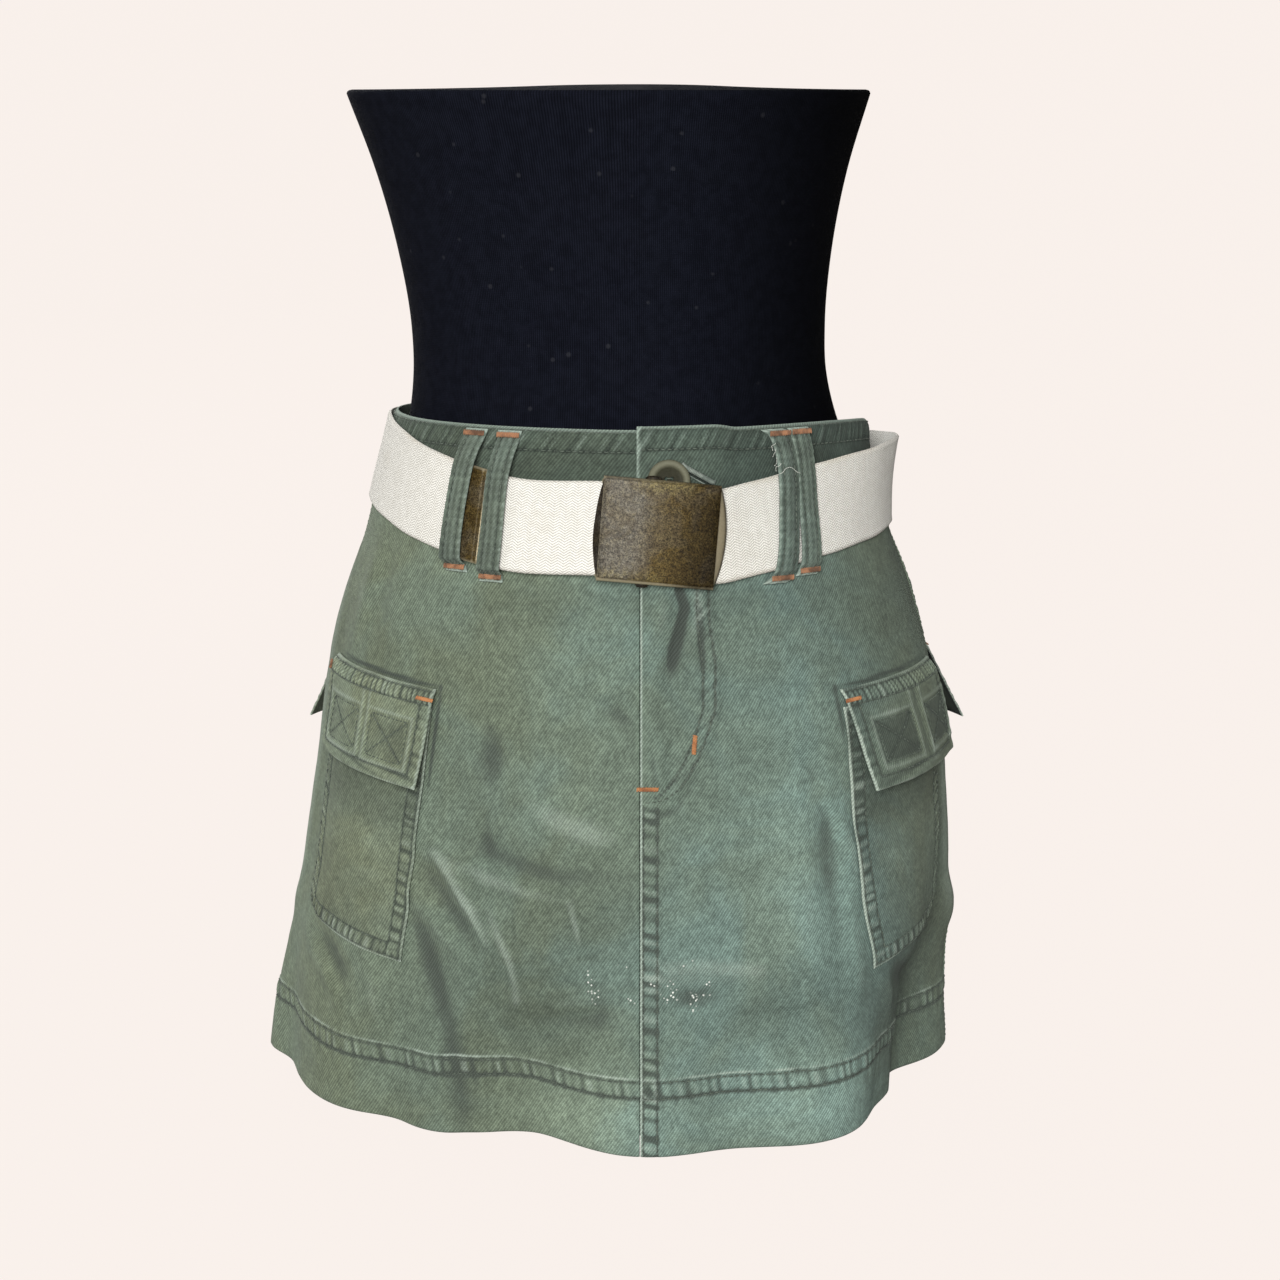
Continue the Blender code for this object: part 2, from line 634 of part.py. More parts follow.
def make_flap(flap, pocket, group):
    """A pocket's flap: sewn along its top, over the pocket's mouth, loose at its foot."""
    def gap(across, down):
        mouth = pocket.top + pocket.top_rise * across
        reach = (patch_place(flap, across, down)[1] - mouth) / (flap.top - pocket.top)
        over = pocket_gap(pocket, float(np.clip(across, *FLAP_FOLLOW)), 0.0) + POCKET_CLOTH
        kick = flap.kick_front + (flap.kick_back - flap.kick_front) * across
        return LAYER_GAP + over * float(ease(1.0 + FLAP_CLEAR - reach)) + kick * down ** 2
    return patch_sheet(flap, gap, FLAP_ROWS, FLAP_CLOTH, group)


# ---------------------------------------------------------------- belt, loops, buckle, button
def belt_gap(turn, share):
    """Stand-off of the web's inner face; share goes from 0 at its top edge to 1 at its foot."""
    turns = column(BELT_ROUTE, "turn")
    top = smooth_curve(turns, column(BELT_ROUTE, "gap_top"), turn)
    foot = smooth_curve(turns, column(BELT_ROUTE, "gap_foot"), turn)
    return top + (foot - top) * share


def belt_height(turn, share):
    """Height of a place across the web."""
    centre = smooth_curve(column(BELT_ROUTE, "turn"), column(BELT_ROUTE, "centre"), turn)
    return centre + BELT_WIDTH * BELT_UPRIGHT * (0.5 - share)


def belt_points(turns, extra=0.0, margin=0.0):
    """Rows of points on the web's inner face, moved out by extra, past its edges by margin."""
    shares = np.array([0.0, 0.5, 1.0])
    shares = shares + (shares - 0.5) * 2 * margin / BELT_WIDTH
    return np.array([cloth_point(turns, belt_height(turns, share), belt_gap(turns, share) + extra)
                     for share in shares])


def make_belt(group):
    """The web strip and the metal tip on its free end."""
    first, last = BELT_ROUTE[0].turn, BELT_ROUTE[-1].turn
    turns = np.linspace(first + TIP_TURN, last, BELT_COLUMNS)
    sheet("belt_web", belt_points(turns), BELT_CLOTH, WEB, group)

    tip_turns = np.linspace(first, first + TIP_TURN - TIP_GAP_TURN, 4)
    rise = (TIP_CLOTH - BELT_CLOTH) / 2
    sheet("belt_tip", belt_points(tip_turns, -rise, TIP_MARGIN), TIP_CLOTH, BRASS, group)


def belt_face(angle, share):
    """Stand-off of the outermost face of the belt at an angle round the body."""
    first, last = BELT_ROUTE[0].turn, BELT_ROUTE[-1].turn
    faces = [0.0]
    for turn in (angle - 360.0, angle, angle + 360.0):
        if first - LOOP_TURN <= turn <= last:
            cloth = TIP_CLOTH if turn < first + TIP_TURN + LOOP_TURN else BELT_CLOTH
            faces.append(float(belt_gap(turn, share)) + cloth)
    return max(faces)


def make_loop(loop, group):
    """A belt loop: a narrow strip tacked above and below the belt."""
    middle = (loop.top_angle + loop.foot_angle) / 2
    turn = middle if middle > BELT_ROUTE[0].turn - LOOP_TURN else middle + 360.0
    top = float(waist_height(loop.top_angle)) - LOOP_TOP_DROP
    belt_top, belt_foot = float(belt_height(turn, 0.0)), float(belt_height(turn, 1.0))
    over_top = belt_face(middle, 0.0) + LOOP_CLEARANCE
    over_foot = belt_face(middle, 1.0) + LOOP_CLEARANCE
    foot = belt_foot - LOOP_FOOT_DROP
    bend_top, bend_foot = belt_top + LOOP_BEND, belt_foot - LOOP_BEND
    steps = (
        (top, LAYER_GAP),
        (top - LOOP_TACK, LAYER_GAP),
        ((top - LOOP_TACK + bend_top) / 2, (LAYER_GAP + over_top) * 0.6),
        (bend_top, over_top),
        (belt_top - LOOP_SHOULDER, over_top + LOOP_BELLY),
        ((belt_top + belt_foot) / 2, (over_top + over_foot) / 2 + LOOP_BELLY),
        (belt_foot + LOOP_SHOULDER, over_foot + LOOP_BELLY),
        (bend_foot, over_foot),
        ((bend_foot + foot) / 2, (LAYER_GAP + over_foot) / 2),
        (foot, LAYER_GAP),
        (foot - LOOP_TACK, LAYER_GAP),
    )
    rows = []
    for height, gap in steps:
        share = (top - height) / (top - foot + LOOP_TACK)
        angle = loop.top_angle + (loop.foot_angle - loop.top_angle) * share
        centre = distance_at(angle, height)
        turns = [angle_at(centre + LOOP_WIDTH * (part - 0.5), height) for part in (0.0, 0.5, 1.0)]
        rows.append(cloth_point(turns, height, gap))
    return sheet(loop.name, np.array(rows), LOOP_CLOTH, TWILL, group)


def make_buckle(group):
    """The plaque buckle: a bowed plate whose upper and lower edges fold back over the web."""
    point, (along, up, out) = cloth_frame(BUCKLE_ANGLE, BUCKLE_CENTRE)
    lean = math.atan2(float(belt_gap(BUCKLE_ANGLE, 0.0) - belt_gap(BUCKLE_ANGLE, 1.0)), BELT_WIDTH)
    turn = math.radians(BUCKLE_TILT)
    half = BUCKLE_HEIGHT / 2
    depth = BUCKLE_DEPTH
    corner = BUCKLE_EDGE
    fold = [(half, -depth), (half, -corner), (half - 0.3 * corner, -0.3 * corner), (half - corner, 0.0)]
    flat = [(half - corner - share * (BUCKLE_HEIGHT - 2 * corner), 0.0) for share in (0.33, 0.67)]
    profile = fold + flat + [(-high, deep) for high, deep in reversed(fold)]
    rows = []
    for high, deep in profile:
        line = []
        for place in np.linspace(-0.5, 0.5, 9) * BUCKLE_WIDTH:
            bow = -place * place / (2 * BUCKLE_BOW)
            side = place * math.cos(turn) - high * math.sin(turn)
            rise = place * math.sin(turn) + high * math.cos(turn)
            stand = BUCKLE_STAND + deep + bow + rise * math.tan(lean)
            line.append(point + along * side + up * rise + out * stand)
        rows.append(line)
    return sheet("belt_buckle", np.array(rows), BUCKLE_METAL, BRASS, group, outward=False)


def make_button(group, cutters):
    """The waist button, a turned disc with a raised rim and four holes."""
    profile = [(row.radius * BUTTON_RADIUS, 0.0, row.height * BUTTON_THICKNESS) for row in BUTTON_TURNINGS]
    mesh = bpy.data.meshes.new("waist_button")
    mesh.from_pydata(profile, [(i, i + 1) for i in range(len(profile) - 1)], [])
    button = bpy.data.objects.new("waist_button", mesh)
    group.objects.link(button)
    turned = button.modifiers.new("turned", "SCREW")
    turned.steps = turned.render_steps = 28
    turned.use_merge_vertices = True
    turned.merge_threshold = 0.00001
    turned.use_normal_calculate = True

    point, (along, up, out) = cloth_frame(BUTTON_ANGLE, BUTTON_HEIGHT)
    place = point + out * (OVERLAP_LIFT + SEAM_GAP + BUTTON_STAND)
    button.matrix_world = placed(along, up, out, place)

    for i in range(4):
        turn = math.radians(45 + 90 * i)
        offset = (along * math.cos(turn) + up * math.sin(turn)) * BUTTON_HOLE_PITCH
        bpy.ops.mesh.primitive_cylinder_add(vertices=10, radius=BUTTON_HOLE_RADIUS,
                                            depth=4 * BUTTON_THICKNESS)
        cutter = bpy.context.object
        cutter.name = f"button_hole_{i}"
        cutter.hide_render = True
        cutter.display_type = "WIRE"
        move_to(cutter, cutters)
        cutter.matrix_world = placed(along, up, out, place + offset)
        hole = button.modifiers.new(cutter.name, "BOOLEAN")
        hole.operation = "DIFFERENCE"
        hole.object = cutter
    return finish_object(button, BUTTON, group)


def main():
    """Build the skirt, its belt and its form."""
    clear_scene()
    group = new_collection(NAME)
    cutters = new_collection("cutters")
    make_form(group)
    make_waistband(group)
    make_panel("front_left", 1, True, group)
    make_panel("front_right", -1, True, group)
    make_panel("back_left", 1, False, group)
    make_panel("back_right", -1, False, group)
    for pocket, flap in zip(POCKETS, FLAPS):
        make_pocket(pocket, group)
        make_flap(flap, pocket, group)
    make_belt(group)
    for loop in LOOPS:
        make_loop(loop, group)
    make_buckle(group)
    make_button(group, cutters)


main()
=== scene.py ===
"""Looks of a cargo utility skirt with its own web belt, dressed on a half dress form.

Frame: metres, +Z up. The wearer faces -Y, so the wearer's left is +X. Angles go round the body in
degrees: 0 is the centre front, 90 the wearer's left side seam, 180 the centre back. Every cloth
piece is a thin shell on one surface, SkirtSurface, that the solids are made on too.
"""
import logging
import math
from dataclasses import dataclass, field
from enum import Enum
from typing import Callable, NamedTuple, Optional, Sequence

import bpy
import numpy as np
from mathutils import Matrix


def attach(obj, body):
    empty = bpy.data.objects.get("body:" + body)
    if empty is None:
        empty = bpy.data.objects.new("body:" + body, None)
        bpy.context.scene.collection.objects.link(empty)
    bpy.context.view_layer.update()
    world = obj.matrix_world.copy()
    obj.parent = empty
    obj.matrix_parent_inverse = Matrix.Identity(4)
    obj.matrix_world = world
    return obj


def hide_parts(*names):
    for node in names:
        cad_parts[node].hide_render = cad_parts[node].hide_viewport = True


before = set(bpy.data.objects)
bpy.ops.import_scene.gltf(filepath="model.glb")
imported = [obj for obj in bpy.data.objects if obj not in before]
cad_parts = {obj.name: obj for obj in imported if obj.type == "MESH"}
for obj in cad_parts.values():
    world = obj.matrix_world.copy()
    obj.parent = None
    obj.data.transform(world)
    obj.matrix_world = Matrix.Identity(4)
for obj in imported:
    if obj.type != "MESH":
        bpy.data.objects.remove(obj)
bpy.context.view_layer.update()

logging.basicConfig(level=logging.INFO, format="%(message)s")
log = logging.getLogger("skirt")

BODY = "root"
Array = np.ndarray
Colour = Spot = tuple[float, float, float]


# ---------------------------------------------------------------- curves and soft noise
def table(kind: Callable[..., NamedTuple], *rows: Sequence) -> tuple[NamedTuple, ...]:
    """Rows of a table as records of one kind."""
    return tuple(kind(*row) for row in rows)


def unit(x: Array) -> Array:
    """Values held between 0 and 1."""
    return np.clip(x, 0, 1)


def one_turn(angle: Array, start: float = -110.0) -> Array:
    """Angles brought into the turn that begins at start, in degrees."""
    return (np.asarray(angle, float) - start) % 360.0 + start


def mesh_grid(places: Array, rows: int) -> tuple[Array, Array]:
    """A grid of places along, by even shares from 0 to 1 down."""
    return np.broadcast_arrays(places[None, :], np.linspace(0.0, 1.0, rows)[:, None])


def smooth_curve(places: Array, values: Array, at: Array) -> Array:
    """Read a smooth curve through a table.

    Args:
        places: Rising places of the table.
        values: Values at those places.
        at: Where to read.

    Returns:
        The values there, level beyond both ends.
    """
    at = np.clip(np.asarray(at, float), places[0], places[-1])
    slopes = np.gradient(values, places)
    i = np.clip(np.searchsorted(places, at) - 1, 0, len(places) - 2)
    step = places[i + 1] - places[i]
    t = (at - places[i]) / step
    start = (1 + 2 * t) * (1 - t) ** 2 * values[i] + t * (1 - t) ** 2 * step * slopes[i]
    return start + t * t * (3 - 2 * t) * values[i + 1] + t * t * (t - 1) * step * slopes[i + 1]


def ease(t: Array) -> Array:
    """0 to 1 with soft ends."""
    t = unit(t)
    return t * t * (3 - 2 * t)


def hump(away: Array, half_width: float) -> Array:
    """1 at no distance, falling softly over about twice the half width."""
    return np.exp(-0.5 * (away / half_width) ** 2)


def soft_noise(x: Array, y: Array, size: float, seed: int) -> Array:
    """Smooth random relief.

    Args:
        x: Places along, in metres.
        y: Places up, in metres.
        size: Distance between random values.
        seed: Seed of the random values.

    Returns:
        Values from -1 to 1.
    """
    n = 64
    lattice = np.random.default_rng(seed).uniform(-1, 1, (n, n))
    gx, gy = np.broadcast_arrays(np.asarray(x) / size, np.asarray(y) / size)
    ix, iy = np.floor(gx).astype(int), np.floor(gy).astype(int)
    fx, fy = ease(gx - ix), ease(gy - iy)
    rows = [lattice[(ix + i) % n, iy % n] * (1 - fy) + lattice[(ix + i) % n, (iy + 1) % n] * fy for i in (0, 1)]
    return rows[0] * (1 - fx) + rows[1] * fx


def puckers(along: Array, pitch: float, seed: int) -> Array:
    """Uneven ripples that stitching draws up across itself.

    Args:
        along: Distance along the row, in metres.
        pitch: Mean distance between ripples.
        seed: Shifts the unevenness.

    Returns:
        Values from -1 in the pinched places to 1 on the crests.
    """
    turn = 2 * math.pi * along / pitch
    drift = 1.1 * np.sin(turn / 3.7 + seed) + 0.8 * np.sin(turn / 5.9 + 2.3 * seed)
    return np.tanh(1.5 * np.sin(turn + drift) + 0.15) * (0.76 + 0.24 * np.sin(turn / 2.6 + 1.7 * seed))


# ---------------------------------------------------------------- the cloth surface
class Section(NamedTuple):
    """Half sizes of the oval at one height."""
    height: float
    minus_x: float
    plus_x: float
    front: float
    back: float


class Rim(NamedTuple):
    """Heights of the waistband's top edge and of the hem at one angle."""
    angle: float
    waist: float
    hem: float


class Fold(NamedTuple):
    """A fold down to the hem, where it is deepest; depth is positive for a ridge."""
    hem_angle: float
    top_angle: float
    top_height: float
    depth: float
    half_width: float


class Crease(NamedTuple):
    """A soft trough or ridge along a path of (angle, height), in degrees and mm; other sizes in mm.

    Its last value is painted shade along it, in a fold's trough or beside a flap's edge, and a paler scuffed share
    where it is below 0.
    """
    depth: float
    half_width: float
    path: tuple[tuple[float, float], ...]
    shade_and_wear: float = 0.0


SKIRT_SECTIONS = table(
    Section,
    (0.366, 0.1285, 0.1180, 0.0970, 0.0970), (0.326, 0.1392, 0.1250, 0.1030, 0.1040),
    (0.298, 0.1463, 0.1335, 0.1080, 0.1130), (0.256, 0.1585, 0.1485, 0.1140, 0.1220),
    (0.212, 0.1665, 0.1585, 0.1190, 0.1280), (0.190, 0.1695, 0.1605, 0.1212, 0.1300),
    (0.167, 0.1735, 0.1618, 0.1235, 0.1320), (0.122, 0.1812, 0.1678, 0.1290, 0.1350),
    (0.095, 0.1872, 0.1735, 0.1320, 0.1370), (0.076, 0.1905, 0.1712, 0.1340, 0.1380),
    (0.008, 0.1985, 0.1715, 0.1400, 0.1410),
)
FORM_SECTIONS = table(
    Section,
    (0.5280, 0.1494, 0.1173, 0.1000, 0.0900), (0.4890, 0.1354, 0.1061, 0.0905, 0.0830),
    (0.4490, 0.1249, 0.0989, 0.0835, 0.0785), (0.4090, 0.1187, 0.0961, 0.0800, 0.0765),
    (0.3880, 0.1182, 0.0970, 0.0805, 0.0780), (0.3660, 0.1205, 0.1020, 0.0850, 0.0840),
    (0.3260, 0.1320, 0.1195, 0.0985, 0.0995), (0.2980, 0.1410, 0.1290, 0.1035, 0.1085),
    (0.2560, 0.1530, 0.1430, 0.1090, 0.1170), (0.2120, 0.1580, 0.1480, 0.1120, 0.1210),
    (0.1700, 0.1560, 0.1470, 0.1110, 0.1190), (0.1540, 0.1520, 0.1430, 0.1070, 0.1150),
    (0.1480, 0.1420, 0.1330, 0.0970, 0.1050),
)
RIMS = table(
    Rim,
    (-180.0, 0.3615, 0.0100), (-120.0, 0.3660, 0.0110), (-90.0, 0.3668, 0.0105), (-60.0, 0.3660, 0.0120),
    (-32.0, 0.3657, 0.0122), (-17.0, 0.3655, 0.0135), (-3.0, 0.3652, 0.0105), (22.0, 0.3658, 0.0105),
    (45.0, 0.3660, 0.0100), (62.0, 0.3652, 0.0105), (76.0, 0.3636, 0.0105), (90.0, 0.3605, 0.0110),
    (106.0, 0.3565, 0.0105), (145.0, 0.3570, 0.0095),
)
FOLDS = table(
    Fold,
    (-89.0, -88.0, 0.130, 0.0090, 4.5), (-76.0, -80.0, 0.110, -0.0040, 6.0), (-56.0, -50.0, 0.160, 0.0020, 6.0),
    (-42.0, -36.0, 0.150, -0.0055, 4.5), (-17.0, -25.0, 0.140, -0.0135, 6.5), (0.0, 1.0, 0.120, 0.0015, 5.0),
    (15.0, 14.0, 0.110, -0.0035, 5.0), (32.0, 33.0, 0.150, 0.0055, 7.5), (49.0, 55.0, 0.120, -0.0070, 5.0),
    (67.0, 74.0, 0.165, -0.0250, 9.0), (94.0, 92.0, 0.180, 0.0015, 8.0), (117.0, 112.0, 0.140, -0.0100, 8.0),
    (141.0, 145.0, 0.150, 0.0100, 8.0), (167.0, 160.0, 0.160, -0.0120, 8.0), (191.0, 196.0, 0.130, 0.0070, 8.0),
    (217.0, 220.0, 0.170, -0.0140, 8.0), (243.0, 248.0, 0.150, 0.0100, 9.0),
)
CREASES = table(
    Crease,
    # between the wearer's right pocket and the centre front
    (1.6, 4.5, ((-36, 155), (-28, 150), (-18, 142), (-11, 140), (-3, 142))),
    (-1.4, 6.0, ((-33, 163), (-25, 158), (-18, 151), (-11, 147), (-4, 149)), 0.34),
    (1.7, 7.0, ((-24, 192), (-15, 180), (-8, 172), (-2, 166))),
    (-0.9, 8.0, ((-27, 205), (-17, 196), (-9, 188))),
    (1.8, 3.3, ((-35, 155), (-31.5, 141), (-28, 129), (-25.5, 116), (-24, 104)), -0.10),
    (-1.6, 4.6, ((-39, 150), (-34, 137), (-30, 123), (-26, 107)), 0.20),
    (1.3, 2.7, ((-24.5, 130), (-22.5, 117), (-20.5, 104), (-19.6, 92), (-19.4, 77)), -0.16),
    (1.5, 3.2, ((-41, 136), (-37, 123), (-32, 112), (-28, 101))),
    (-1.7, 5.4, ((-40.5, 130), (-38, 119), (-35.5, 101), (-33, 83), (-30.5, 64), (-28.6, 40), (-27.2, 14)), 0.30),
    (-1.3, 2.4, ((-27, 179), (-26, 167), (-25, 158))),
    (-0.9, 4.2, ((-26.5, 218), (-25, 203), (-25.5, 192), (-23, 184), (-18, 180)), 0.16),
    (-0.6, 5.0, ((-34, 196), (-31, 184), (-27, 176)), 0.12),
    (0.8, 2.0, ((-11, 137), (-10, 124), (-9, 115)), -0.26),
    (-1.0, 4.2, ((-19, 75), (-13, 76), (-7, 78), (-4, 85)), 0.14),
    (1.0, 4.0, ((-20, 85), (-12, 86), (-6, 90))),
    (-0.7, 4.0, ((-15, 247), (-7, 231), (-2.5, 219))),
    (0.6, 5.0, ((-20, 243), (-10, 226), (-4, 214))),
    (-0.6, 4.0, ((-16, 210), (-8, 201), (-2, 193))),
    (-0.8, 1.8, ((-5, 236), (-1.5, 226))),
    (-0.6, 2.0, ((-6, 206), (-1.5, 197))),
    (-0.9, 5.0, ((-60, 302), (-59, 258))),
    (0.9, 5.0, ((-66, 300), (-67, 256))),
    (-0.6, 6.0, ((-50, 300), (-47, 268), (-43, 250))),
    (0.6, 8.0, ((-31, 285), (-22, 262), (-16, 246))),
    (-1.2, 5.0, ((-67, 99), (-59, 91), (-52, 77)), 0.32),
    (1.0, 4.0, ((-70, 90), (-60, 80), (-54, 66))),
    (1.0, 4.0, ((-49, 96), (-46, 80), (-45, 62))),
    # from the fly to the wearer's left pocket
    # painted shade: the deep dark fold below the buckle
    (-0.7, 1.5, ((7.6, 304), (7.9, 289), (8.8, 281), (7.4, 269.5), (6.4, 261), (5.9, 254)), 2.3),
    (-0.5, 2.6, ((7.4, 270), (6.2, 260), (5.4, 244)), 0.60),
    (0.0, 4.5, ((8.2, 276), (9.0, 258), (9.0, 238)), 0.30),
    (-0.4, 1.3, ((11.5, 283), (11.9, 268), (11.4, 252)), 0.75),
    # painted shadow below the fly's foot
    (-0.4, 1.6, ((-1.5, 177), (1.7, 178.5), (6.3, 183), (8.6, 192.8), (9.6, 202)), 0.50),
    (-0.3, 1.5, ((2.2, 214), (2.4, 204), (3.0, 196)), 0.40),
    (-0.2, 3.5, ((-3, 222), (-1.5, 214), (0, 208)), 0.30),
    # painted shadows along the flaps' top and front edges, with no relief
    (0.0, 0.9, ((-37.2, 237.4), (-52, 240.2), (-72, 243.0)), 1.25),
    (0.0, 0.9, ((38.8, 237.0), (54, 238.8), (72, 240.2)), 1.1),
    (0.0, 0.9, ((-37.3, 238), (-37.8, 212), (-38.4, 184)), 1.0),
    (0.0, 1.2, ((38.6, 240), (39.2, 226), (39.6, 210)), 0.8),
    (-0.3, 6.0, ((-28, 226), (-25.5, 214), (-27, 199), (-26, 185)), 0.30),
    (-0.3, 3.0, ((-7, 236), (-1.5, 223)), 0.30),
    (1.2, 3.0, ((11, 296), (11.5, 280), (9.5, 262))),
    (1.0, 3.4, ((4, 296), (4.6, 280), (3.6, 262))),
    (-1.2, 1.6, ((5.8, 216), (4.7, 206), (5.2, 194))),
    (0.8, 3.0, ((2.4, 262), (2.2, 236), (3.6, 214))),
    (-1.1, 6.0, ((17, 208), (25, 203), (37, 199))),
    (0.8, 7.0, ((16, 222), (26, 219), (37, 214))),
    (-0.9, 6.0, ((13, 243), (21, 238), (33, 236))),
    (0.5, 7.0, ((15, 262), (24, 256), (35, 250))),
    (1.4, 3.2, ((35, 187), (38, 173), (40.5, 155), (41, 136))),
    (-1.3, 5.6, ((33.0, 192), (35.5, 172), (35, 151), (35.5, 126), (36.5, 100)), 0.28),
    (-0.4, 7.0, ((47, 92), (56, 78), (66, 66)), 0.30),
    (0.9, 7.0, ((29, 186), (30, 134), (31, 82))),
    (-1.2, 2.4, ((22, 81), (25, 77), (28, 75))),
    (-1.1, 2.4, ((24, 67), (26, 56), (28, 47))),
    (1.1, 3.8, ((39, 128), (40, 76))),
    (-0.9, 5.0, ((3, 94), (9, 89), (16, 93))),
    (1.0, 4.5, ((2, 106), (10, 107), (23, 101))),
    (-0.7, 6.0, ((6, 148), (16, 141), (25, 146))),
    (0.6, 6.0, ((7, 164), (17, 158), (26, 161))),
    (-0.9, 4.0, ((16, 184), (10, 173), (4, 168))),
    # sides and back
    (2.4, 9.0, ((-85, 292), (-85, 238), (-85, 180), (-86, 104))),
    (2.4, 9.0, ((84, 212), (84, 180), (84, 140), (84, 92))),
    (-1.5, 5.0, ((52, 84), (60, 76), (66, 60))),
    (1.3, 4.0, ((46, 88), (50, 74), (53, 58))),
    (-1.2, 5.0, ((84, 120), (96, 96), (100, 66))),
    (1.2, 6.0, ((88, 300), (96, 262), (98, 236))),
    (-1.1, 5.0, ((104, 300), (108, 268))),
    (-1.6, 5.0, ((128, 290), (146, 262), (165, 250))),
    (1.5, 5.0, ((126, 276), (146, 249), (168, 238))),
    (-1.5, 5.0, ((234, 292), (216, 263), (196, 252))),
    (1.4, 6.0, ((236, 278), (214, 250), (194, 241))),
    (-1.4, 5.0, ((176, 205), (160, 196), (148, 178))),
    (1.5, 5.0, ((178, 190), (164, 181), (150, 160), (146, 140))),
    (-1.6, 4.5, ((184, 192), (198, 178), (208, 152), (212, 120))),
    (1.4, 4.0, ((184, 176), (196, 160), (204, 132), (206, 100))),
    (-1.4, 5.0, ((262, 122), (252, 100), (246, 70))),
    (1.3, 5.0, ((256, 132), (246, 112), (240, 84))),
    (-1.2, 3.5, ((172, 92), (184, 84), (196, 88))),
    (1.2, 3.5, ((168, 100), (182, 94), (197, 98))),
    (-1.3, 4.0, ((122, 96), (134, 84), (140, 66))),
    (-1.0, 5.0, ((270, 300), (264, 266), (262, 240))),
)


def column(rows: Sequence, name: str) -> Array:
    """One named column of a table."""
    return np.array([getattr(row, name) for row in rows], float)


def oval(sections: Sequence[Section], angle: Array, height: Array) -> tuple[Array, Array]:
    """A point of the smooth oval through some sections.

    Args:
        sections: The table, from the top down.
        angle: Degrees round the body.
        height: Heights in metres.

    Returns:
        The x and y of each point.
    """
    rising = sections[::-1]
    heights = column(rising, "height")
    right, left, front, back = (
        smooth_curve(heights, column(rising, side), height) for side in Section._fields[1:])
    turn = np.radians(angle)
    across = np.where(np.sin(turn) < 0, right, left)
    deep = np.where(np.cos(turn) > 0, front, back)
    return across * np.sin(turn), -deep * np.cos(turn)


